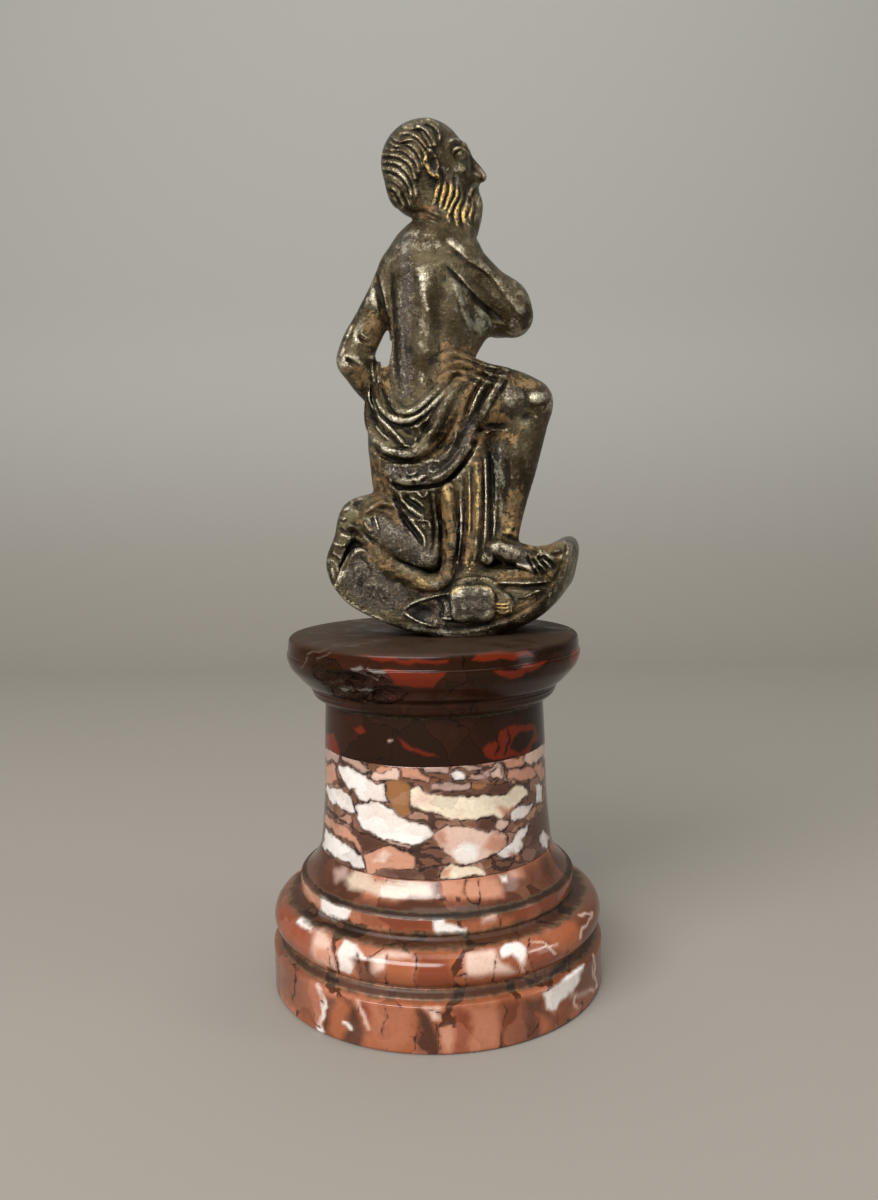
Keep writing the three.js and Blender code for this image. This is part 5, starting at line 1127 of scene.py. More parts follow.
def paint(mesh, name, values):
    """Keeps one number for each point of a mesh, for its material to read."""
    mesh.attributes.new(name, "FLOAT", "POINT").data.foreach_set("value", np.asarray(values, np.float32))


def piece(mesh, node, finish):
    """A finished piece that stands for a node of the part."""
    made = bpy.data.objects.new(mesh.name, mesh)
    bpy.context.scene.collection.objects.link(made)
    mesh.materials.append(finish)
    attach(made, "root")
    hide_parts(node)
    return made


def largest(points, faces):
    """The largest connected part of a surface."""
    label = np.arange(len(points))
    pairs = np.vstack([faces[:, [k, (k + 1) % 4]] for k in range(4)])
    while True:
        before = label.copy()
        least = np.minimum(label[pairs[:, 0]], label[pairs[:, 1]])
        np.minimum.at(label, pairs[:, 0], least)
        np.minimum.at(label, pairs[:, 1], least)
        label = label[label]
        if (label == before).all():
            break
    kept = label == np.bincount(label).argmax()
    number = np.cumsum(kept) - 1
    return points[kept], number[faces[kept[faces[:, 0]]]]


def thinned(mesh, faces):
    """The mesh with fewer, three-sided faces, the least needed taken out."""
    holder = bpy.data.objects.new("holder", mesh)
    bpy.context.scene.collection.objects.link(holder)
    modifier = holder.modifiers.new("thin", "DECIMATE")
    modifier.ratio = faces / (2 * len(mesh.polygons))
    made = bpy.data.meshes.new_from_object(holder.evaluated_get(bpy.context.evaluated_depsgraph_get()))
    bpy.data.objects.remove(holder)
    made.name = "figure"
    return made


class Drawing:
    """A drawing on the points of a mesh, as it looks from the eye, bent out of shape on the far side. Rows of
    size and reach, in mm, say how its outlines wobble."""
    def __init__(self, mesh, seed, wobble, far_bend):
        points = coordinates(mesh)
        far = np.clip(points[:, 1] / 12, 0, 1)
        near = points * [1, 0, 1] - np.abs(points) * [0, 1, 0]
        rows = [*((size, reach, 1) for size, reach in wobble), (14, far_bend, far)]
        bends = [0, 0]
        for k, (size, reach, share) in enumerate(rows):
            for way in (0, 1):
                bends[way] = bends[way] + noise(points, size, seed + 2 * k + way) * reach * share
        self.x, self.z = (place + bend for place, bend in zip(looks_at(*near.T), bends))
        self.mesh = mesh
        self.amounts = {}

    def near(self, edge, reach):
        low, high = edge.min(axis=0) - reach, edge.max(axis=0) + reach
        return np.nonzero((self.x > low[0]) & (self.x < high[0]) & (self.z > low[1]) & (self.z < high[1]))[0]

    def inside(self, outline, reach):
        """The points near an outline, and how far each is outside it."""
        edge = closed(outline)
        at = self.near(edge, reach)
        return at, signed_edge(edge, self.x[at], self.z[at])

    def along(self, points, reach):
        run = smooth(points, 4)
        at = self.near(run, reach)
        return at, nearest(run, self.x[at], self.z[at])[0]

    def area(self, name, outline, soft):
        """Fills an outline, its edges as soft as is said."""
        at, distance = self.inside(outline, soft)
        amount = self.amounts.setdefault(name, np.zeros(len(self.x)))
        amount[at] = np.maximum(amount[at], np.clip(0.5 - distance / soft, 0, 1))

    def keep(self):
        for name, amount in self.amounts.items():
            paint(self.mesh, name, amount)


class Marble(Drawing):
    """The colours and veins of a stone, and the grime and painted shade in its grooves."""
    def __init__(self, mesh, ground, seed):
        super().__init__(mesh, seed, wobble=[(3.2, 0.8), (1.3, 0.35)], far_bend=9)
        self.tint = np.tile(ground, (len(self.x), 1))
        starts = {"vein": 3.0, "plain": 1.0, "grime_and_shade": 0.0, "dust": 0.0}
        self.amounts = {name: np.full(len(self.x), start) for name, start in starts.items()}

    def blend(self, at, share, color):
        share = np.clip(share, 0, 1)[:, None]
        self.tint[at] = self.tint[at] * (1 - share) + np.array(color) * share

    def clast(self, color, outline, soft=0.4, veined=True):
        """A piece of another colour. A veined one has a vein all round it and hides those it covers."""
        at, distance = self.inside(outline, 3)
        self.blend(at, 0.5 - distance / soft, color)
        self.amounts["plain"][at] *= np.clip(0.5 + distance / 0.6, 0, 1)
        if veined:
            vein = self.amounts["vein"]
            vein[at] = np.where(distance < 0, -distance, np.minimum(vein[at], distance))

    def streak(self, color, points, width, soft=0.4):
        at, distance = self.along(points, width + 2)
        self.blend(at, 0.5 - (distance - width / 2) / soft, color)

    def crack(self, points, width=0.0):
        """A dark vein, wider than the usual by width."""
        at, distance = self.along(points, 3 + width)
        vein = self.amounts["vein"]
        vein[at] = np.minimum(vein[at], np.maximum(distance - width / 2, 0))

    def groove(self, r, z, wide, high):
        """Grime and painted shade in a groove that runs round the stone."""
        points = coordinates(self.mesh)
        off = np.hypot((np.hypot(points[:, 0], points[:, 1]) - r) / wide, (points[:, 2] - z) / high)
        self.amounts["grime_and_shade"] = np.maximum(self.amounts["grime_and_shade"], np.clip(1 - off, 0, 1))

    def dusted(self, low):
        """Old dust and fine scratches that dull what lies above a height."""
        self.amounts["dust"] = np.clip(coordinates(self.mesh)[:, 2] - low, 0, 1)

    def keep(self):
        super().keep()
        colors = np.column_stack([self.tint, np.ones(len(self.tint))]).astype(np.float32)
        self.mesh.attributes.new("tint", "FLOAT_COLOR", "POINT").data.foreach_set("color", colors.ravel())


def rises(mesh, times):
    """How far each point stands out, in mm, from an average of those around it that widens with times."""
    ends = np.empty(len(mesh.edges) * 2, np.int32)
    mesh.edges.foreach_get("vertices", ends)
    a, b = ends.reshape(-1, 2).T
    size = len(mesh.vertices)
    count = np.maximum(np.bincount(ends, minlength=size), 1)
    points = coordinates(mesh)
    around = points.copy()
    for _ in range(times):
        for axis in range(3):
            own = around[:, axis]
            total = np.bincount(a, own[b], size) + np.bincount(b, own[a], size)
            around[:, axis] = (own + total / count) / 2
    return ((points - around) * at_points(mesh, "normal")).sum(axis=1)


# Materials

class Finish:
    """A material whose nodes are added by short calls, which take numbers, colours or sockets."""
    def __init__(self, name):
        self.material = bpy.data.materials.new(name)
        self.material.use_nodes = True
        self.nodes = self.material.node_tree.nodes
        self.shader = self.nodes["Principled BSDF"]
        self.place = self.node("TexCoord").outputs["Object"]

    def node(self, kind, inputs=(), **settings):
        made = self.nodes.new("ShaderNode" + kind)
        for key, value in settings.items():
            setattr(made, key, value)
        for socket, value in dict(inputs).items():
            self.put(made.inputs[socket], value)
        return made

    def put(self, socket, value):
        if isinstance(value, bpy.types.NodeSocket):
            self.material.node_tree.links.new(value, socket)
        else:
            socket.default_value = (*value, 1) if socket.type == "RGBA" else value

    def set(self, **inputs):
        for name, value in inputs.items():
            self.put(self.shader.inputs[name.replace("_", " ")], value)

    def painted(self, name):
        return self.node("Attribute", attribute_name=name).outputs["Fac"]

    def noise(self, size, detail=4, rough=0.55, at=None, bend=0.0):
        """Noise from 0 to 1 whose features are about size mm across."""
        inputs = {"Vector": at or self.place, "Scale": 1000 / size, "Detail": detail, "Roughness": rough,
                  "Distortion": bend}
        return self.node("TexNoise", inputs).outputs["Fac"]

    def stretch(self, scale, turn=(0, 0, 0), at=None):
        inputs = {"Vector": at or self.place, "Scale": scale, "Rotation": turn}
        return self.node("Mapping", inputs).outputs["Vector"]

    def bent(self, place, size, reach):
        """A place moved about by up to half of reach mm."""
        off = self.node("TexNoise", {"Vector": place, "Scale": 1000 / size, "Detail": 3}).outputs["Color"]
        moved = self.node("VectorMath", {0: off, 1: (reach / 1000,) * 3, 2: place}, operation="MULTIPLY_ADD")
        return moved.outputs[0]

    def math(self, kind, a, b=0.0, c=0.0):
        made = self.node("Math", {0: a, 1: b}, operation=kind)
        if kind == "MULTIPLY_ADD":
            self.put(made.inputs[2], c)
        return made.outputs[0]

    def step(self, value, low, high):
        """0 below low, 1 above high and smooth between them; falls instead where low is above high."""
        inputs = {"Value": value, "From Min": low, "From Max": high}
        return self.node("MapRange", inputs, interpolation_type="SMOOTHSTEP").outputs["Result"]

    def mix(self, share, a, b):
        return self.node("Mix", {0: share, 6: a, 7: b}, data_type="RGBA").outputs[2]

    def times(self, a, b):
        return self.math("MULTIPLY", a, b)

    def plus(self, a, b):
        return self.math("ADD", a, b)

    def most(self, a, b):
        return self.math("MAXIMUM", a, b)

    def scaled(self, value, by, plus):
        return self.math("MULTIPLY_ADD", value, by, plus)

    def bump(self, height, distance, strength=1.0, normal=None):
        """Bumps as high as distance mm where height goes from 0 to 1."""
        inputs = {"Height": height, "Distance": distance / 1000, "Strength": strength}
        if normal:
            inputs["Normal"] = normal
        return self.node("Bump", inputs).outputs["Normal"]


def bronze_finish():
    """Old fire-gilt bronze: dull ochre where the gilding's ground is left, bare grey metal worn pale on the
    ridges with painted highlights there and in drawn streaks, painted shade that darkens the hollows almost
    to black, and specks of gold with painted glints on the crests of the hair."""
    f = Finish("bronze")
    fine, spots, cloud = f.noise(0.55, 5, 0.7), f.noise(2.4, 6, 0.68, bend=0.6), f.noise(11, 4, 0.6)
    crest, broad, hidden = f.painted("crest"), f.painted("broad"), f.painted("hidden")
    lift = lambda value, size, middle=0.5: f.scaled(value, size, -middle * size)
    ragged = f.plus(lift(spots, 3.4), f.plus(lift(fine, 1.6), lift(cloud, 1.2)))
    left = lambda name, low, high: f.step(f.plus(f.painted(name), ragged), low, high)

    metal = f.mix(f.step(cloud, 0.35, 0.65), DARK_METAL, PALE_METAL)
    metal = f.mix(f.times(left("slate", 0.3, 0.9), 0.75), metal, GREY_METAL)
    # The ridges are worn pale, and painted highlights are laid on them and in drawn streaks.
    ridge_wear_and_highlight = f.scaled(crest, 6, f.scaled(broad, 0.6, f.times(f.painted("silver_and_highlight"), 0.45)))
    pale_wear_and_highlight = f.step(f.scaled(ragged, 0.7, ridge_wear_and_highlight), 0.4, 1.2)
    line = f.math("ABSOLUTE", f.math("SUBTRACT", f.noise(2.8, 2, 0.5, bend=1.5), 0.5))
    scored = f.times(f.step(line, 0.014, 0.0), f.step(f.painted("slate"), 0.1, 0.8))
    pale_wear_and_highlight = f.most(pale_wear_and_highlight, f.times(scored, 0.55))
    metal = f.mix(f.times(pale_wear_and_highlight, 0.85), metal, WORN_AND_HIGHLIT_METAL)

    worn = f.scaled(hidden, 0.3, f.times(crest, -2.5))
    gilt = f.step(f.plus(f.plus(f.painted("gilt"), ragged), worn), 0.45, 0.6)
    gilt = f.times(gilt, f.step(f.noise(1.5, 6, 0.78), 0.6, 0.54))
    color = f.mix(gilt, metal, f.mix(f.step(spots, 0.3, 0.7), DARK_GILT, PALE_GILT))
    specks = f.scaled(crest, 8, lift(fine, 3.5, 0.56))
    gold = f.times(f.step(f.plus(f.painted("gold"), specks), 0.75, 1.2), f.step(f.painted("gold"), 0.05, 0.3))
    # Painted glints: gold on the crests of the hair, over gilding that is left there.
    gleam = f.times(f.step(f.plus(specks, 0.5), 0.8, 1.6), f.times(f.painted("gold_hair_and_glint"), 0.5))
    color = f.mix(f.most(gold, gleam), color, GOLD)

    green = f.times(left("verdigris", 0.75, 1.1), 0.6)
    color = f.mix(green, color, GREEN)
    # Painted shade: the hollows, found from how far points sink below those around them, are darkened almost
    # to black.
    low = f.scaled(broad, 1.2, f.plus(f.times(crest, 8), lift(fine, 0.5)))
    deep = f.times(f.step(low, -0.1, -0.9), f.scaled(gilt, -0.3, 0.95))
    color = f.mix(deep, color, HOLLOW_SHADE)
    pits = f.step(f.noise(0.8, 3, 0.6), 0.62, 0.7)
    f.set(Base_Color=f.mix(f.times(pits, 0.7), color, PIT))

    dull = f.most(f.most(f.times(gilt, 0.75), green), f.times(deep, 0.5))
    f.set(Metallic=f.scaled(dull, -0.8, 0.92))
    rough = f.scaled(f.noise(4, 5, 0.7), 0.36, 0.11)
    f.set(Roughness=f.scaled(pale_wear_and_highlight, -0.04, f.scaled(dull, 0.24, rough)))
    scratch = f.plus(f.noise(0.5, 3, 0.6, f.stretch((0.12, 1, 1), (0.3, 0.7, 0.2))),
                     f.noise(0.5, 3, 0.6, f.stretch((1, 1, 0.12), (0.2, -0.6, 0))))
    dents = f.scaled(gilt, 0.3, f.scaled(scratch, 0.5, f.times(pits, -0.6)))
    f.set(Normal=f.bump(f.plus(dents, f.scaled(fine, 0.9, f.times(spots, 1.6))), 0.27, 1))
    return f.material


def stone_finish(name, cells, colors, grain, veins, gloss):
    """Polished marble: its drawn pieces, smaller ones of its own between them, veins thin and thick by turns,
    and old grime in its grooves, blackened in their depths as painted shade. The cells are the size, stretch
    and turn of the small pieces."""
    f = Finish(name)
    size, deep = cells["size"], colors["deep"]
    bent = f.bent(f.place, size * 0.8, size * 0.9)
    own = {"Vector": f.stretch(cells["stretch"], cells["turn"], bent), "Scale": 1000 / size}
    cell = f.node("TexVoronoi", own).outputs["Color"]
    edge = f.node("TexVoronoi", own, feature="DISTANCE_TO_EDGE").outputs["Distance"]
    cloud, fine, wander = f.noise(7, 5, 0.62), f.noise(0.8, 4, 0.65), f.noise(2.6, 3, 0.6)
    plain, vein = f.painted("plain"), f.painted("vein")
    tint = f.node("Attribute", attribute_name="tint").outputs["Color"]

    inner = f.scaled(f.node("SeparateColor", {0: cell}).outputs[0], 0.6, f.times(cloud, 0.7))
    uneven = f.times(f.scaled(plain, 0.6, 0.4), grain)
    color = f.mix(f.times(f.step(inner, 0.62, 0.2), uneven), tint, deep)
    color = f.mix(f.times(f.step(inner, 0.62, 1.05), uneven), color, colors["pale"])
    color = f.mix(f.times(f.times(f.step(fine, 0.55, 0.3), uneven), 0.4), color, deep)
    color = f.mix(f.times(f.step(f.scaled(wander, 2.4, vein), 2.1, 1), 0.5), color, deep)

    reach = f.times(f.step(f.noise(size * 1.5, 2, 0.5), 0.4, 0.62), veins / size)
    thin = f.times(f.step(f.math("SUBTRACT", edge, f.times(reach, wander)), 0.012, 0.0), plain)
    drawn = f.step(f.scaled(fine, 0.35, f.scaled(wander, 0.7, vein)), 0.85, 0.5)
    dark = f.most(drawn, f.times(thin, 0.8))
    color = f.mix(dark, color, colors["dark"])

    # Grime in the grooves, black where it is deepest: partly grime, partly painted shade.
    grime_and_shade_depth = f.scaled(wander, 1.1, f.scaled(fine, 0.5, f.painted("grime_and_shade")))
    grime_and_shade = f.times(f.step(grime_and_shade_depth, 0.85, 1.35), f.step(f.painted("grime_and_shade"), 0.0, 0.15))
    color = f.mix(f.times(grime_and_shade, 0.8), color, f.mix(f.step(grime_and_shade_depth, 1.1, 1.6), DIRT, BLACK_GRIME_AND_SHADE))
    dust = f.times(f.painted("dust"), f.step(cloud, 0.1, 0.6))
    color = f.mix(f.times(dust, 0.6), color, DUST)
    f.set(Base_Color=color, Specular_IOR_Level=gloss)

    dull = f.scaled(dust, 0.5, f.times(grime_and_shade, 0.35))
    f.set(Roughness=f.plus(dull, f.scaled(f.noise(12, 5, 0.65), 0.22, 0.03)))
    pits = f.scaled(f.step(f.noise(0.9, 2, 0.5), 0.7, 0.8), -1, f.times(dark, -0.5))
    facets = f.plus(f.noise(2.2, 4, 0.6, bend=1.5), f.noise(9, 2, 0.5, bend=3))
    f.set(Normal=f.bump(f.times(facets, f.painted("broken")), 0.9, 1, f.bump(pits, 0.03, 0.5)))
    return f.material


# The bronze and what is left of its gilding

def figure():
    points, faces = largest(*skin(figure_clay()))
    points[np.abs(points[:, 2] - PLINTH_TOP) < 0.05, 2] = PLINTH_TOP
    mesh = thinned(new_mesh("clay", points, faces.tolist()), FIGURE_FACES)
    draw_bronze(mesh)
    piece(mesh, "philosopher_figure", bronze_finish())


def draw_bronze(mesh):
    """Where gilding, grey metal, green, and metal worn pale with painted highlights are left on the figure,
    and how far each point stands out, for the ridges' wear and highlights and the hollows' painted shade.
    """
    drawing = Drawing(mesh, seed=70, wobble=[(3, 0.8), (1.2, 0.4)], far_bend=14)
    for name, outlines in BRONZE_AREAS.items():
        for outline in outlines:
            drawing.area(name, outline, soft=3)
    drawing.keep()

    paint(mesh, "crest", rises(mesh, times=5))
    paint(mesh, "broad", rises(mesh, times=50))
    paint(mesh, "hidden", np.clip(at_points(mesh, "normal")[:, 1] * 1.5 + 0.3, 0, 1))


BRONZE_AREAS = {
    # Painted glints of gold on the hair's crests, with some gilding left there
    "gold_hair_and_glint": [
        [(-12, 220), (-8, 226), (0, 228), (6, 225), (12, 218), (15, 212), (13, 202), (8, 200), (0, 203),
         (-4, 205), (-9, 207), (-12, 213)],
    ],
    "gilt": [
        [(-2.5, 207), (0, 206.5), (2, 204.5), (5, 202.5), (1, 203), (-2, 203.5), (-3.5, 205)],
        [(-15.5, 179), (-12.5, 180.5), (-11, 177), (-12, 174), (-14.5, 171), (-16, 169.5), (-18, 169),
         (-17.5, 172), (-16, 174.5)],
        [(-13, 165.5), (-11, 166.5), (-10.5, 162), (-13, 162)],
        [(2.5, 168), (5, 170), (9, 169.5), (11, 168.5), (13.5, 166.5), (16, 164.5), (13.5, 162.5),
         (3, 161.5), (2.5, 165.5)],
        [(-22.5, 165), (-20, 167), (-17, 165), (-15.5, 161), (-16.5, 157.5), (-18, 158.5), (-19, 162),
         (-21.5, 163)],
        [(-13, 165.5), (-11.5, 166), (-10.5, 162.5), (-11.5, 158.5), (-13, 161)],
        [(2, 163), (4, 165.5), (8, 167.5), (11.5, 165.5), (16, 164.5), (14, 162), (10, 161), (8, 159.5),
         (6, 161), (4, 160.5)],
        [(17.5, 163.5), (14, 160.5), (12, 157), (10, 153.5), (8, 148.5), (6.5, 146), (4, 143.5),
         (0.5, 141.5), (-3, 141), (-3.5, 142), (-0.5, 143.5), (2.5, 147), (5.5, 151), (7.5, 155.5),
         (10, 159.5), (13.5, 162.5)],
        [(13.5, 149.5), (15, 153), (17.5, 156), (19, 157), (19.5, 154), (20.5, 151.5), (22, 149.5),
         (17, 149), (14, 147.5)],
        [(20, 163), (24, 163), (27, 161.5), (29.5, 160), (28, 158), (24, 159.5), (22, 161)],
        [(-16, 143.5), (-14, 142.5), (-11.5, 137), (-10, 133), (-11.5, 130.5), (-15, 131), (-15.5, 135.5)],
        [(-19, 124.5), (-17.5, 128), (-14.5, 129.5), (-10.5, 129), (-8, 126.5), (-7, 123.5), (-9.5, 125),
         (-13.5, 127.5), (-16.5, 126.5), (-18, 123.5)],
        [(-18, 118.5), (-14.5, 117), (-10, 113), (-6, 109.5), (-0.5, 108), (2, 106), (-0.5, 105),
         (-4.5, 106), (-10, 109.5), (-14.5, 113.5), (-17.5, 116.5)],
        [(2.5, 131.5), (5, 133.5), (7, 132.5), (6.5, 127.5), (6.5, 122), (5.5, 116.5), (4, 110), (2, 109),
         (3.5, 117), (3, 123.5), (1.5, 129)],
        [(8, 130), (10, 135.5), (13, 143), (14, 140.5), (13, 132.5), (13, 123.5), (11.5, 116.5),
         (10, 111.5), (8, 109.5), (8.5, 119.5), (10, 127.5)],
        [(19.5, 130), (22.5, 134), (24.5, 134.5), (24, 130), (24.5, 124.5), (23, 120), (19, 120),
         (19, 124.5)],
        [(23, 119.5), (27.5, 118.5), (33, 118), (36, 117.5), (34.5, 115), (30.5, 115.5), (25, 117)],
        [(22, 147.5), (24, 149), (23.5, 145.5), (22, 142.5), (21, 144.5)],
        [(10.5, 146.5), (14.5, 148), (20, 149), (21.5, 146.5), (17, 146), (14, 145), (11.5, 143)],
        [(17, 110), (23.5, 110.5), (30.5, 109.5), (33.5, 111.5), (36, 113.5), (34.5, 109.5), (31.5, 107),
         (17, 108)],
        [(-15, 119), (-10, 115), (-13.5, 115.5), (-16.5, 118.5)],
        [(17, 102.5), (21, 100.5), (26, 103), (30.5, 105.5), (29, 102), (23.5, 98), (16.5, 97.5)],
    ],
    "gold": [
        [(5, 177.5), (6.5, 178), (7, 175.5), (5.5, 175)],
        [(0.5, 216), (2.5, 214), (3.5, 211.5), (6, 211.5), (9, 209.5), (8.5, 206), (11.5, 203), (8.5, 201),
         (6, 203), (1.5, 207.5), (0.5, 211)],
        [(-1.5, 221), (0.5, 217.5), (1, 213.5), (-0.5, 211), (-1, 216)],
        [(9, 206), (12, 206), (12, 202), (9.5, 202)],
        [(2.5, 134), (6, 133.5), (6, 130), (3.5, 127.5), (2.5, 130)],
        [(11, 140.5), (13.5, 141), (13, 132.5), (12, 123.5), (10.5, 119.5), (10.5, 127.5), (12, 134)],
        [(19, 124.5), (22.5, 124), (23.5, 120), (18.5, 119.5)],
        [(16, 108), (18, 103.5), (21.5, 103), (21, 99.5), (17, 100), (16, 104.5)],
        [(5.5, 106.5), (8, 108.5), (15.5, 108), (16, 106.5), (8, 107), (6, 105.5)],
        [(-4.5, 110), (-0.5, 108.5), (-1.5, 107), (-4.5, 108)],
        [(9.5, 114), (13, 113.5), (11, 110), (8.5, 110)],
    ],
    # Painted highlights over metal worn pale: spine, shoulders, arms, knee, folds and feet
    "silver_and_highlight": [
        [(26, 159.5), (30.5, 158.5), (30.5, 154), (27, 154.5)],
        [(-2.5, 190.5), (-1, 190), (0, 180), (-0.8, 172), (-1.2, 160), (-2.4, 160), (-2.2, 172), (-1.4, 180)],
        [(1, 197.5), (6, 197.5), (9, 193.5), (11, 189.5), (8.5, 191.5), (4.5, 195), (1.5, 195)],
        [(-15, 187), (-19, 177.5), (-22, 172), (-24, 167), (-22, 166), (-20.5, 169.5), (-18, 175),
         (-14, 183)],
        [(0, 198.5), (3.5, 197.5), (1, 194), (-2, 195)],
        [(-14.5, 158), (-13, 153.5), (-9.5, 148), (-6, 143.5), (-8.5, 145), (-12.5, 148), (-15, 152.5)],
        [(-12.5, 156.5), (-10, 154.5), (-6.5, 152.5), (-3, 154), (0, 157), (0, 154.5), (-3, 152),
         (-7, 150.5), (-11, 152.5), (-13, 155.5)],
        [(0, 156.5), (4, 159.5), (8, 162), (4, 157), (0, 150), (-2.5, 145.5), (-6.5, 142), (-12.5, 143.5),
         (-16, 148), (-13.5, 145.5), (-7.5, 143), (-4, 144.5), (-0.5, 150)],
        [(-10, 135), (-3, 137), (2.5, 136.5), (0, 135), (-7.5, 133.5)],
        [(-7.5, 129), (-3, 130), (-1, 127.5), (-0.5, 122), (-3, 123.5), (-6.5, 125.5)],
        [(16.5, 118.5), (22.5, 115), (27.5, 111), (26.5, 111), (19.5, 114.5), (17, 116.5)],
        [(-17, 124), (-14, 123.5), (-14, 121), (-16.5, 122)],
        [(-26, 113), (-23.5, 112), (-22, 107.5), (-24, 106.5)],
    ],
    "slate": [
        [(16.5, 119), (20, 117.5), (24, 115.5), (28, 113), (31, 112), (29, 110), (24, 111.5), (19, 114),
         (16.5, 116)],
        [(5, 106.5), (10, 107.5), (15.5, 106.5), (16, 99), (10, 97.5), (5, 98.5)],
        [(0.5, 218.5), (5, 216), (9.5, 213.5), (9, 211), (5, 212.5), (2.5, 215), (0.5, 216)],
        [(-9, 198.5), (-4.5, 201), (-3, 188.5), (-4, 176), (-5.5, 163), (-9.5, 163), (-8.5, 176),
         (-7, 188.5)],
        [(-9.5, 169.5), (-4, 169.5), (-3.5, 163), (-4.5, 156.5), (-8, 156.5), (-9.5, 162)],
        [(-12.5, 141), (-7.5, 139), (-1, 140), (5, 144), (8, 146), (10.5, 153), (13.5, 156), (13.5, 152.5),
         (11, 144.5), (8, 140.5), (2.5, 136), (-7, 134), (-11.5, 135.5)],
        [(-11, 133), (-7.5, 129), (-6.5, 124.5), (-1, 120), (2, 114), (-3.5, 112), (-10, 115), (-16.5, 121),
         (-17.5, 124.5), (-13.5, 127), (-9.5, 124.5)],
        [(16.5, 145.5), (20, 147), (21, 144.5), (20, 138), (17, 132.5), (15.5, 128.5), (15, 138)],
        [(-21.5, 116), (-16.5, 115), (-10, 109), (-3.5, 105), (3.5, 104), (-2, 103.5), (-7.5, 99.5),
         (-17, 101), (-23.5, 106.5), (-24, 110.5)],
        [(-7, 100.5), (4.5, 104), (5.5, 98.5), (12.5, 97), (23.5, 99), (16.5, 95.5), (3, 95), (-3.5, 97.5)],
        [(18.5, 160.5), (23.5, 159.5), (26, 158), (25, 153), (22, 152), (18.5, 155)],
    ],
    "verdigris": [
        [(6, 187.5), (9, 186), (14.5, 180), (17, 177.5), (17.5, 173.5), (12.5, 171.5), (9, 173.5), (8, 178),
         (7, 182)],
        [(-10.5, 97), (-2, 96.5), (7.5, 94.5), (7, 92.5), (-3.5, 94), (-9, 95.5)],
        [(16.5, 142), (20, 140.5), (20.5, 132.5), (18.5, 124.5), (17, 127), (16.5, 135)],
        [(-23, 128.5), (-19.5, 130), (-21, 126.5), (-23, 126.5)],
    ],
}


# The stones and the pieces of colour in them

def stones():
    base = new_mesh("turned_base", *turned(base_profile(), spacing=0.5, sides=560))
    draw_base(Marble(base, TERRACOTTA, seed=40))
    cells = {"size": 12, "stretch": (1, 1, 0.4), "turn": (0.2, 0.1, 0)}
    colors = {"dark": shade(44, 26, 20), "deep": shade(92, 54, 42), "pale": shade(186, 122, 98)}
    finish = stone_finish("red_breccia", cells, colors, grain=0.7, veins=1.6, gloss=0.35)
    piece(base, "base", finish)

    shaft = new_mesh("turned_shaft", *turned(shaft_profile(), spacing=0.4, sides=480))
    draw_shaft(Marble(shaft, BROWN, seed=50))
    cells = {"size": 4.2, "stretch": (0.6, 0.8, 1.3), "turn": (0.1, 0.2, 0)}
    colors = {"dark": shade(42, 26, 24), "deep": shade(98, 66, 54), "pale": shade(190, 146, 126)}
    finish = stone_finish("breccia", cells, colors, grain=0.8, veins=1.2, gloss=0.5)
    piece(shaft, "shaft", finish)

    points, faces = turned(capital_profile(), spacing=0.42, sides=560)
    broken = chipped(flaked(points, CAPITAL_FLAKES), CHIP, depth=1.7, facets=30)
    capital = new_mesh("turned_capital", broken, faces)
    paint(capital, "broken", np.clip(np.linalg.norm(broken - points, axis=1) / 0.5, 0, 1))
    draw_capital(Marble(capital, GRIOTTE, seed=60))
    cells = {"size": 14, "stretch": (1, 1, 1), "turn": (0, 0, 0)}
    colors = {"dark": shade(14, 8, 7), "deep": shade(28, 16, 13), "pale": shade(74, 40, 32)}
    finish = stone_finish("griotte", cells, colors, grain=0.35, veins=0.0, gloss=0.2)
    piece(capital, "capital", finish)


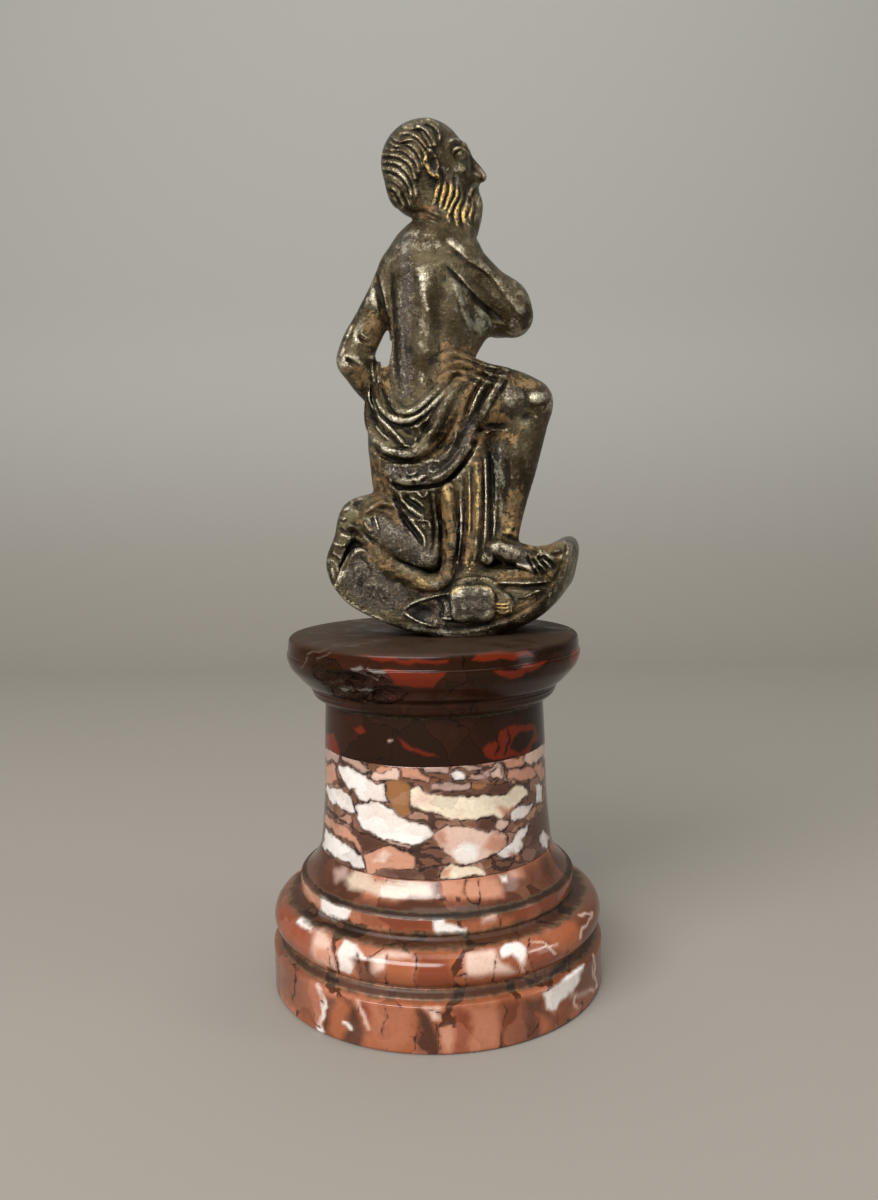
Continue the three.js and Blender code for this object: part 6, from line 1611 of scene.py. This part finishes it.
def draw_shaft(stone):
    """Pale pieces that lie aslant in brown, with dark veins between them."""
    stone.clast(UMBER, [(-24, 41), (-16, 37.6), (-13, 33.8), (-18, 31.4), (-23, 34.6), (-26, 39)], 1.6, False)
    stone.clast(OCHRE, [(-14.4, 53.6), (-8.4, 53.2), (-6.4, 50.6), (-8, 47), (-7, 44.4), (-9.6, 43.4),
                        (-12.6, 46)], 1.2, False)
    stone.clast(UMBER, [(-2, 50.4), (2, 50.6), (7, 50), (12.6, 52), (20.4, 52.4), (19, 50), (13, 48.8),
                        (6, 48.8), (0, 49.4)])
    stone.clast(UMBER, [(10.6, 41.6), (11.4, 39), (15.4, 38.8), (15.6, 41.8), (13, 42.4)])
    stone.crack([(31, 41), (31.7, 38), (31.5, 35.4), (30.4, 33.4)], 0.4)
    stone.clast(UMBER, [(23.6, 36), (26, 41), (29, 44.6), (31, 45), (31.4, 30), (27, 30), (20, 30),
                        (23, 32.6)], 1)
    small = [
        (GREY_PINK, [(-31, 64), (-26, 61.2), (-27.2, 58.8), (-31, 60)]),
        (SALMON, [(-30.6, 59), (-27.6, 58.6), (-26.8, 54.8), (-29.6, 52.6), (-31, 54)]),
        (GREY_PINK, [(-25.6, 61), (-21, 59.6), (-18.4, 57.4), (-19.6, 55.6), (-22.6, 57.6), (-25.8, 59.4)]),
        (PINK, [(-17.8, 56.6), (-14.4, 57.6), (-10.8, 56.8), (-10.2, 53.4), (-13.6, 53.4), (-16, 54),
                (-18.2, 55)]),
        (SALMON, [(-16.6, 57.8), (-12, 58), (-12.4, 56.2), (-15.8, 56.2)]),
        (SALMON, [(-9.8, 57.4), (-4.6, 57.2), (-1.8, 54), (-2.2, 52.6), (-5.4, 53.6), (-9, 54.2)]),
        (GREY_PINK, [(-3.8, 57.6), (1, 57.4), (3.4, 57), (2.8, 55), (-0.4, 55.2), (-2.6, 55.8)]),
        (WHITE, [(3.4, 55.2), (6.6, 55.8), (8.2, 55), (7.6, 53.8), (4.4, 53.6)]),
        (GREY_PINK, [(4, 57.4), (11, 58), (14.6, 56.8), (11.6, 56.4), (9.6, 55.8), (7.4, 56.6), (4, 56)]),
        (GREY_PINK, [(-1.4, 53), (3.8, 53), (9.4, 53), (10, 51), (6, 50.6), (1, 51), (-1.4, 51.2)]),
        (OCHRE, [(9.6, 52.8), (13.6, 52.4), (14, 51.2), (11.8, 50.4), (9.6, 51)]),
        (GREY_PINK, [(9.6, 55.2), (12.4, 55.4), (14.4, 54), (11.6, 53.6), (9.6, 54)]),
        (GREY_PINK, [(12, 56), (15, 56.4), (17.4, 58.2), (19.2, 56.8), (19.2, 54), (16, 53.6), (13.4, 54.6)]),
        (PINK, [(15, 55.6), (18.6, 56.4), (18.4, 54), (15.4, 53.8)]),
        (SALMON, [(18.4, 58.6), (24.4, 60), (26, 57.6), (22.6, 56.6), (19.8, 56.4)]),
        (SALMON, [(20, 55.8), (26, 56.8), (28.6, 56), (27.4, 53.4), (24.6, 52.6), (20, 53)]),
        (PINK, [(24.6, 59.4), (27, 62.4), (30, 64), (30.4, 60), (28, 58.6), (25.8, 57)]),
        (SALMON, [(26.8, 57), (30, 58.6), (30.2, 54), (28.6, 52.6), (28, 54.6)]),
    ]
    for color, outline in small:
        stone.clast(color, outline)
    stone.clast(WHITE, [(-26.8, 58.4), (-24, 57.4), (-19.6, 55.8), (-16, 53), (-14, 53), (-13.4, 50),
                        (-12.8, 47.2), (-15, 47.4), (-17.6, 48.6), (-19.4, 47.6), (-21, 48.4), (-22.4, 51.4),
                        (-25.6, 54)])
    stone.clast(WHITE, [(-31, 53.4), (-29.4, 52.2), (-26, 51.8), (-23.4, 49.4), (-22.2, 46.4), (-22.2, 44),
                        (-26.4, 46), (-29.8, 48.6)])
    stone.clast(WHITE, [(-22, 47.2), (-19.6, 47.2), (-17.4, 48.4), (-13.4, 46.4), (-9.8, 43.2), (-5.8, 42.4),
                        (-2.4, 40.6), (-0.6, 38.4), (-2.6, 36.2), (-6, 35.2), (-10, 36), (-14.6, 37.4),
                        (-20, 40.2), (-22, 42.6)])
    stone.clast(CREAM, [(-7.8, 51.4), (-5, 52), (-2.4, 50), (2, 49.2), (9, 48.4), (14, 48.8), (18.6, 49.4),
                        (21.4, 51.6), (25, 51.6), (25.6, 48.6), (23, 46.2), (19.6, 44), (17.6, 41.6),
                        (15.4, 42.6), (12, 42.4), (9.6, 41.6), (4.6, 42.4), (0, 44), (-3.6, 45.6),
                        (-7.6, 46.8)])
    stone.clast(PINK, [(-4.6, 50.6), (-1, 49), (-1.6, 46.6), (-6.4, 47.4)], 2.4, False)
    stone.clast(SALMON, [(17, 45), (21, 45.6), (22, 44.4), (18, 42.2)], 1.6, False)
    stone.clast(WHITE, [(20.8, 43.6), (23.6, 46), (27.6, 47), (26, 44.8), (24, 42), (22, 41), (20.8, 41.6)])
    stone.clast(WHITE, [(27.4, 51.6), (28.4, 52.2), (29.8, 50.6), (29.6, 47.4), (28.4, 46.4), (27.2, 48)])
    stone.clast(PINK, [(-0.8, 38.6), (2.6, 40.8), (8, 40), (11, 39), (15, 39.2), (19.4, 38), (19.4, 35),
                       (16, 32), (12, 30.4), (8, 30), (4.8, 30.4), (2, 32.6), (0.4, 35)], 0.5)
    stone.clast(SALMON, [(-0.6, 38.6), (2, 39.8), (3, 36.4), (0.6, 34.8)], 1.8, False)
    stone.clast(SALMON, [(15, 37.8), (19.2, 38), (19.6, 34.8), (16, 32.6), (13.4, 34)], 1.8, False)
    stone.clast(WHITE, [(4, 33.6), (9, 35), (12, 34), (11, 31.4), (8, 30.4), (5, 31)], 1.6, False)
    stone.clast(PINK, [(16, 41.8), (20.4, 41.8), (19, 39.4), (17.4, 38.2), (16, 39.6)])
    stone.clast(WHITE, [(16.4, 32.4), (19.4, 35), (22.4, 38.6), (26.4, 41.2), (24, 36.6), (22.8, 33.4),
                        (20.8, 31), (18, 31.2)])
    stone.clast(SALMON, [(20, 32.4), (22.8, 33.2), (22.6, 31), (20.4, 30.6)], 1, False)
    stone.clast(WHITE, [(28.6, 38), (30, 39.4), (31.6, 37), (30.4, 33.6), (28.8, 34)])
    stone.clast(SALMON, [(-31, 45.6), (-28.6, 43.6), (-24.6, 40), (-20.8, 36), (-20.6, 33.4), (-24.6, 37),
                         (-29, 40), (-31.6, 42)])
    stone.clast(WHITE, [(-31, 40.6), (-28.4, 38.4), (-24.6, 35.6), (-20.4, 33), (-19.8, 28.8), (-24, 29.2),
                        (-28, 32), (-31.6, 35.4)])
    stone.clast(SALMON, [(-20, 33), (-14, 34.8), (-9, 34), (-6, 32), (-6, 28.6), (-12, 28), (-19.4, 26.8)],
                0.6)
    stone.clast(PINK, [(-17.4, 31), (-15, 33.4), (-12.8, 32.4), (-14.4, 30.8)], 1.2, False)
    stone.clast(GREY_PINK, [(-14, 36.8), (-10, 36), (-6.4, 35), (-6.6, 33.8), (-11, 34.8), (-14.6, 36)])
    stone.clast(UMBER, [(-17, 28), (-12, 28.6), (-6, 28.2), (0, 28.6), (1, 26), (-4, 24), (-16, 25.4)], 0.8)
    stone.clast(CREAM, [(1.6, 28.8), (6, 29.6), (10, 29.6), (13.4, 28), (14.4, 26.2), (8, 26), (4, 25),
                        (0.6, 25.4)])
    stone.clast(SALMON, [(0.8, 28), (3.8, 28.4), (3.2, 25.4), (0.8, 25.6)], 1.4, False)
    stone.crack([(-31, 47.6), (-28, 44.6), (-25.6, 42), (-20.6, 39.4), (-15.6, 37.2), (-13.6, 35.4),
                 (-10, 33.8), (-6.4, 33.2), (-2, 34.4), (1.6, 34.2)], 0.3)
    stone.crack([(-4.6, 28.6), (0, 29.2), (5.6, 29.4), (9.6, 30.4), (14, 31), (17, 32), (20, 30.4),
                 (24, 29.8)], 0.3)
    stone.crack([(-6, 32.2), (-2, 32), (1.4, 31.2)])
    stone.keep()


def draw_base(stone):
    """Brick-red pieces that stand on end, with pale and dark veins running down between them, painted shade
    towards the sides and over the cavetto, and painted light on the front of the drum and torus.
    """
    # Painted shade: soft dark patches at the far left and right sides and over the right of the cavetto.
    for outline in ([(-46, 30), (-39, 24), (-38, 14), (-36, 4), (-36, -16), (-46, -6)],
                    [(46, 30), (38, 26), (37, 14), (38, 4), (36, -6), (35, -16), (46, -6)],
                    [(14, 26), (30, 33), (36, 30), (30, 21), (16, 18)]):
        stone.clast(shade(108, 66, 48), outline, 6, False)
    # Lighter patches on the front of the drum and torus are painted light, and darker ones towards the sides
    # painted shade, over the stone's own changes of tone.
    for color, outline in (
        (shade(178, 116, 90), [(8, -12), (16, -12.4), (18, -18), (16, -25), (10, -26), (8, -20)]),
        (shade(168, 104, 78), [(-20, -10), (-8, -12), (-8, -22), (-14, -25), (-19, -20)]),
        (shade(112, 62, 42), [(17, -10), (24, -9), (26, -16), (24, -24), (18, -24)]),
        (shade(184, 128, 102), [(-15, 4), (-7, 4), (-7, -3), (-15, -3)]),
        (shade(118, 66, 46), [(24, 3), (31, 8), (38, 14), (36, 2), (28, -4)]),
        (shade(108, 70, 50), [(-44, 18), (-38, 12), (-30, 6), (-34, -4), (-42, 4)]),
    ):
        stone.clast(color, outline, 4, False)
    # Painted shade: a soft dark umber band over the cavetto and fillet under the shaft.
    stone.clast(UMBER, [(-36, 36), (-24, 30), (-20, 20), (-4, 19), (16, 19), (34, 27), (37, 20), (20, 15),
                        (0, 13), (-22, 16), (-36, 22)], 3, False)
    # Grime and painted shade in the grooves under the torus and by the fillet
    stone.groove(FILLET_R + 1, (FILLET_LOW + TORUS_TOP) / 2, 4.6, 2.6)
    stone.groove(BASE_R - 1.8, TORUS_LOW - 0.6, 2.6, 2)
    stone.groove(FILLET_R - 0.8, FILLET_TOP + 0.4, 2.4, 1.2)
    pieces = [
        (UMBER, [(-38, 40), (-28, 36), (-25.6, 27), (-30, 23.4), (-36, 26)]),
        (GREY_PINK, [(-28, 29), (-24.6, 29.6), (-25.4, 25.6), (-27.6, 25)]),
        (BUFF, [(-25.4, 25.4), (-22.4, 28.6), (-19, 27.6), (-17.4, 25), (-12, 25), (-6, 25), (-2.2, 23.6),
                (-1.4, 20.6),
                 (-8, 20), (-16, 20.8), (-20.4, 22.4), (-24.4, 23)]),
        (UMBER, [(-1.4, 25), (0.4, 25), (0.4, 15.4), (-10, 15.8), (-9.6, 19.6), (-1.4, 20)]),
        (SALMON, [(0.4, 25), (6.8, 25), (6.4, 20), (0.6, 20.2)]),
        (SALMON, [(7, 25.2), (15.6, 26), (17.4, 23), (18, 20), (12, 19.6), (7, 20.2)]),
        (WHITE, [(16.8, 26.4), (19.4, 26.2), (19.2, 24.2), (17.4, 24.4)]),
        (SALMON, [(20.4, 27.4), (23.4, 28.4), (23.6, 25.4), (20.8, 24)]),
        (UMBER, [(18.6, 23.8), (24, 25), (28, 30), (36, 36), (38, 27), (31, 20.8), (20, 17)]),
        (SALMON, [(-37.4, 27), (-32.6, 21), (-33.6, 18.4), (-37.6, 22)]),
        (WHITE, [(-32.6, 21.2), (-27.6, 18.8), (-24, 17), (-25.4, 14.4), (-28.4, 13.4), (-33, 16.4)]),
        (BRICK, [(-21, 16.8), (-10, 15), (-2, 14.4), (-1.4, 10.4), (-12, 10.8), (-21, 13)]),
        (WHITE, [(-1.4, 14.2), (2, 13.8), (2.6, 12.4), (8, 11.4), (8, 9.6), (0.4, 9.4), (-1, 11)]),
        (PINK, [(12.4, 14.8), (16.6, 15.2), (15.4, 13.2), (12.4, 12.6)]),
        (BRICK, [(20.8, 16), (34, 22), (37, 26), (36, 19), (24, 12), (20.6, 12)]),
        (BRICK, [(-45.6, 14), (-42, 20.6), (-39, 19), (-36.8, 9.8), (-35.4, 4), (-38, 4), (-43, 9)]),
        (WHITE, [(-39.4, 13.6), (-38, 15.4), (-34.6, 12.4), (-36, 10.8), (-37.6, 12)]),
        (PINK, [(-35, 11.8), (-31.4, 11.6), (-30, 7), (-28.6, 2), (-29, -0.6), (-33, 1.6), (-35.4, 3.6)]),
        (SALMON, [(-34.6, 6), (-30.4, 5.6), (-30.2, 1.2), (-34.8, 2.6)]),
        (WHITE, [(-28, 5), (-26, 8.2), (-22.8, 6.4), (-20, 3.4), (-23, 0.8), (-25.6, -1.8), (-28.4, 0)]),
        (UMBER, [(-24.4, 3), (-18.4, 3), (-17.6, -2), (-19, -6), (-22, -4)]),
        (PINK, [(-18.4, 4), (-14, 5.4), (-8, 4.6), (-6.8, 3), (-14, 0.4), (-17.6, -2.4), (-18, 0)]),
        (TERRACOTTA, [(-15, 3.4), (-7, 3.4), (-6.8, -6), (-15.6, -5.4)]),
        (BRICK, [(-5.6, 4), (2.4, 1.4), (4.2, -2), (4, -6.4), (-6.2, -6.6)]),
        (PINK, [(7, 4.4), (15, 4.6), (17.6, 1), (22, -1.6), (14, -3), (8, -3.4)]),
        (WHITE, [(17, 4), (19, 6.4), (22.4, 6.8), (24.8, 4.4), (23.8, 0), (20.6, 3.4), (18, 2.6)]),
        (TERRACOTTA, [(31, 9), (35, 13), (38.6, 12.4), (40, 9.4), (39, 5), (34, 3), (31.6, 6)]),
        (BRICK, [(25, 4.6), (30.6, 5.6), (32, 2), (29, -1), (25.6, 0)]),
        (UMBER, [(-32.6, -7.6), (-24.6, -9.4), (-22.4, -14), (-20.6, -19.6), (-22, -24), (-28, -22),
                 (-33.6, -19)]),
        (TERRACOTTA, [(-28.6, -8.6), (-26.6, -9), (-25.2, -12), (-26, -18), (-29, -22), (-31.6, -19),
                      (-30.8, -12)]),
        (BRICK, [(-22.8, -9.6), (-19.4, -10.2), (-19.4, -16), (-20, -19.4), (-21.8, -15)]),
        (UMBER, [(-7, -12), (-5, -12), (-2, -17), (-0.4, -20), (0, -26.6), (-6.6, -25.6), (-6, -19)]),
        (PINK, [(-3.6, -12.2), (0, -12.2), (-0.4, -15), (-2.4, -15)]),
        (SALMON, [(0.4, -18), (3, -17.4), (4, -22), (2.4, -25.4), (0.6, -23)]),
        (BRICK, [(4, -12.6), (8.4, -13), (9.6, -19), (8, -25.6), (3, -26.4), (4.6, -20)]),
        (UMBER, [(24.4, -9.6), (28.8, -8.8), (29.4, -12.4), (33.2, -14.6), (33, -19), (27, -22), (23, -22.4),
                 (24.4, -16)]),
        (TERRACOTTA, [(27.8, -13.4), (31.6, -15.2), (31.8, -19.4), (29, -20.2), (27.6, -17)]),
        (WHITE, [(29, -8.2), (34, -5.6), (41, 0.6), (39.4, -3), (38, -7.6), (35, -10), (32.6, -12.8),
                 (30, -12.4)]),
        (GREY_PINK, [(36.8, -8), (42.6, -8), (42, -9.4), (37, -9.6)]),
    ]
    for color, outline in pieces:
        stone.clast(color, outline, 0.9 if color == WHITE else 2, False)
    stone.streak(WHITE, [(-34, -5), (-33.2, -8), (-32.4, -12), (-34, -16), (-33, -19.4)], 1.3)
    stone.streak(WHITE, [(-26.4, -15.6), (-25, -17.6)], 1.2, 0.8)
    stone.streak(PINK, [(-22.6, -9.6), (-21.4, -14), (-20, -18)], 0.8, 0.8)
    for points in ([(25.4, 7), (28.6, 6.4), (31, 5), (32.6, 3)], [(25.4, 3.4), (28.6, 5), (31.4, 5.6),
                                                                  (33.4, 6.4)],
                   [(43.4, 2.6), (43.4, -3), (44, -6), (42.6, -8)], [(38.6, -9), (37.8, -11), (38.4, -13.4)],
                   [(39.4, 14.6), (42.6, 14.6), (40.6, 11), (39.6, 8)], [(24.8, 3.4), (23.6, 0.6), (24, -2)]):
        stone.streak(PINK, points, 0.5)
    for points in ([(-6.2, 4), (-6.4, -1), (-6.2, -6.8)], [(-6.8, -12), (-6, -16), (-6.4, -20), (-6.8, -25)],
                   [(-4.4, -12.4), (-2.6, -15.8), (-0.6, -17), (-0.8, -21), (0.8, -26)],
                   [(-6, -19), (-4, -22), (-3, -25.6)], [(11.8, 25), (12, 20), (12, 15)], [(16.8, 15.4),
                                                                                           (17, 11.4)],
                   [(27, -13), (27.6, -16), (25.8, -20), (24.6, -22)], [(7.4, 25), (7, 22), (9, 19),
                                                                        (12, 17.6)],
                   [(-28.8, 3.6), (-28.2, -0.4), (-27, -3)], [(4.6, -2), (6, -3), (7.6, -2.6)],
                   [(-31, 6.4), (-30.4, 2), (-30.8, -2)], [(-22.6, 4.6), (-22, -0.6), (-22.6, -5)],
                   [(-14.6, 4), (-15, -1), (-14.4, -5.6)], [(8, -2.6), (8.4, -6)], [(16, 3), (15.4, -3),
                                                                                    (16, -5.4)],
                   [(-40.6, 2), (-40, -4), (-41, -9)], [(18, -11), (18.6, -16), (17.6, -21), (18.8, -24.6)],
                   [(-16, -10.6), (-15.2, -15), (-16.4, -20)], [(25.4, 8), (24.8, 3), (26.4, -2), (28.6, -6)],
                   [(-3, -12.4), (1, -13.4), (3.4, -12.6)]):
        stone.crack(points)
    stone.keep()


def draw_capital(stone):
    """Dark griotte with a few brick-red patches, its top dull with dust and fine scratches, and painted
    glints on the facets of its chip.
    """
    stone.dusted(93.6)
    # Grime and painted shade in the groove under the ovolo
    stone.groove(NECK_TOP_R + 1, NECK_TOP + 0.3, 2, 1.4)
    for outline in ([(-20, 88.6), (-12, 88), (-4, 87), (4, 86.6), (3.6, 85.6), (-6, 86), (-14, 86.8)],
                    [(11, 87), (12, 88.8), (18, 89), (25, 89), (27.4, 88), (22, 87), (14, 86)],
                    [(-14.4, 84.8), (-6, 83.8), (3.6, 83.4), (2.8, 82), (-0.6, 80), (-6, 79.2),
                     (-10.6, 80.2)],
                    [(15.6, 83.4), (24, 84.6), (31, 86.6), (28.6, 84), (24.4, 82), (20.4, 81.4)],
                    [(36, 85), (37.2, 89), (39.6, 90), (40, 84)],
                    [(-31, 67), (-28, 67.4), (-26.6, 65), (-26, 61), (-30, 62)],
                    [(-22.4, 69), (-20.4, 69.6), (-19, 67.8), (-21, 67.2)],
                    [(-11, 66), (-8.4, 65), (-4, 62.6), (-0.6, 60.8), (1, 59.2), (-2.6, 60.6), (-6.6, 62.6),
                     (-9.8, 64.8)],
                    [(13.6, 62.4), (17, 66.4), (21, 68.4), (25, 69.4), (27.6, 68), (28.4, 65), (26.4, 61),
                     (21, 60),
                     (16, 59.2), (13.8, 60)]):
        stone.clast(RED, outline, 0.5, False)
    stone.clast(GRIOTTE, [(20.6, 65), (24, 67.4), (26.6, 66.6), (26.2, 63), (23.6, 61), (20.6, 61.6)], 0.5,
                False)
    # Painted glints: small pale slivers on the chip's facets, standing for light caught by them.
    for outline in ([(-23, 84.9), (-20, 85.1), (-19, 83.9), (-21.6, 83.5)], [(-18.4, 84.7), (-14, 84.3),
                                                                             (-13.2, 83.2), (-16.8, 83.6)],
                    [(-17.6, 82.8), (-15.2, 82.7), (-15.8, 81.9)], [(-21.4, 79.6), (-18, 78.9), (-14.8, 79.3),
                                                                    (-17.6, 78.3)],
                    [(-25.6, 80.2), (-23, 79.2), (-24.2, 78.8)]):
        stone.clast(CHIP_GLINT, outline, 0.2, False)
    for points in ([(-34, 88.6), (-29, 90.4), (-25, 93)], [(-31, 87.6), (-28, 89.6)], [(-27, 91), (-20, 92.4),
                                                                                       (-16, 91.4)],
                   [(22, 92), (27, 93.4)], [(-36, 86), (-34, 88)]):
        stone.streak(SCRATCHED, points, 0.3, 0.3)
    stone.clast(GREY_PINK, [(-13, 65.4), (-12, 65.4), (-12, 64.6), (-13, 64.6)], 0.5, False)
    stone.crack([(16, 65.6), (17.4, 63), (16.4, 60.4)])
    stone.crack([(19.4, 67), (20, 63.6), (19, 60.6)])
    stone.keep()


# The studio

def studio():
    """Daylight from a window in front, above and to the left, in a grey room."""
    floor_and_wall()
    lamp("window", place=(-0.45, -0.9, 0.75), size=(1.1, 0.4), power=20)
    lamp("sky", place=(0.1, 0.0, 1.3), size=(1.2, 0.9), power=7)
    lamp("side", place=(1.0, -0.3, 0.35), size=(0.25, 0.8), power=2)
    world = bpy.data.worlds.new("studio")
    world.use_nodes = True
    background = world.node_tree.nodes["Background"]
    background.inputs["Color"].default_value = (*ROOM, 1)
    background.inputs["Strength"].default_value = ROOM_LIGHT
    bpy.context.scene.world = world
    bpy.context.scene.view_settings.view_transform = "Standard"


def floor_and_wall():
    """A pale floor that turns up into a wall behind."""
    near, bend, far, side, height = -1.5, 0.5, 0.85, 2.5, 2.5
    bow = far - bend
    turns = [[bend + bow * np.sin(a), bow - bow * np.cos(a)] for a in np.linspace(0, np.pi / 2, 16)]
    run = [[near, 0], [bend, 0], *turns, [far, height]]
    points = [(x, y, z) for y, z in run for x in (-side, side)]
    faces = [(2 * k, 2 * k + 1, 2 * k + 3, 2 * k + 2) for k in range(len(run) - 1)]
    mesh = bpy.data.meshes.new("floor")
    mesh.from_pydata(points, [], faces)
    mesh.polygons.foreach_set("use_smooth", np.ones(len(faces), bool))
    f = Finish("paper")
    up = f.node("SeparateXYZ", {0: f.place}).outputs["Z"]
    f.set(Base_Color=f.mix(f.step(up, 0.0, 0.3), FLOOR, WALL), Roughness=0.9)
    mesh.materials.append(f.material)
    floor = bpy.data.objects.new("floor", mesh)
    bpy.context.scene.collection.objects.link(floor)
    floor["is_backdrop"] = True


def lamp(name, place, size, power):
    """A soft lamp, width and height in metres, that faces the object."""
    light = bpy.data.lights.new(name, "AREA")
    light.shape = "RECTANGLE"
    light.size, light.size_y = size
    light.energy = power
    made = bpy.data.objects.new(name, light)
    made.location = place
    made.rotation_euler = (Vector((0, 0, 0.12)) - made.location).to_track_quat("-Z", "Y").to_euler()
    bpy.context.scene.collection.objects.link(made)


def camera():
    """The camera at the photograph's place, looking a little down and leaning a little."""
    up, ahead = np.array([0, np.sin(PITCH), np.cos(PITCH)]), np.array([0, np.cos(PITCH), -np.sin(PITCH)])
    right = np.array([1, 0, 0]) * np.cos(ROLL) - up * np.sin(ROLL)
    above = np.array([1, 0, 0]) * np.sin(ROLL) + up * np.cos(ROLL)
    data = bpy.data.cameras.new("camera")
    data.sensor_width = 36
    data.lens = LENS
    data.clip_start = 0.01
    made = bpy.data.objects.new("camera", data)
    turn = Matrix(np.column_stack([right, above, -ahead])).to_4x4()
    made.matrix_world = Matrix.Translation(EYE / 1000) @ turn
    bpy.context.scene.collection.objects.link(made)
    bpy.context.scene.camera = made


def corners():
    """The lowest and highest corner of what shows."""
    return [list(corner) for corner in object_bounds()]


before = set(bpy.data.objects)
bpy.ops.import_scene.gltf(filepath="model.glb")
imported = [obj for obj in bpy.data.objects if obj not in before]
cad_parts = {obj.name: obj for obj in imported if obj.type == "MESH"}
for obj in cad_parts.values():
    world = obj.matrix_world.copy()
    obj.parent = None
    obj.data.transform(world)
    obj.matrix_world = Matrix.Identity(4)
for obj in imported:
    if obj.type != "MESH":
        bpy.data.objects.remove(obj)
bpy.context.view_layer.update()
figure()
stones()
studio()
camera()
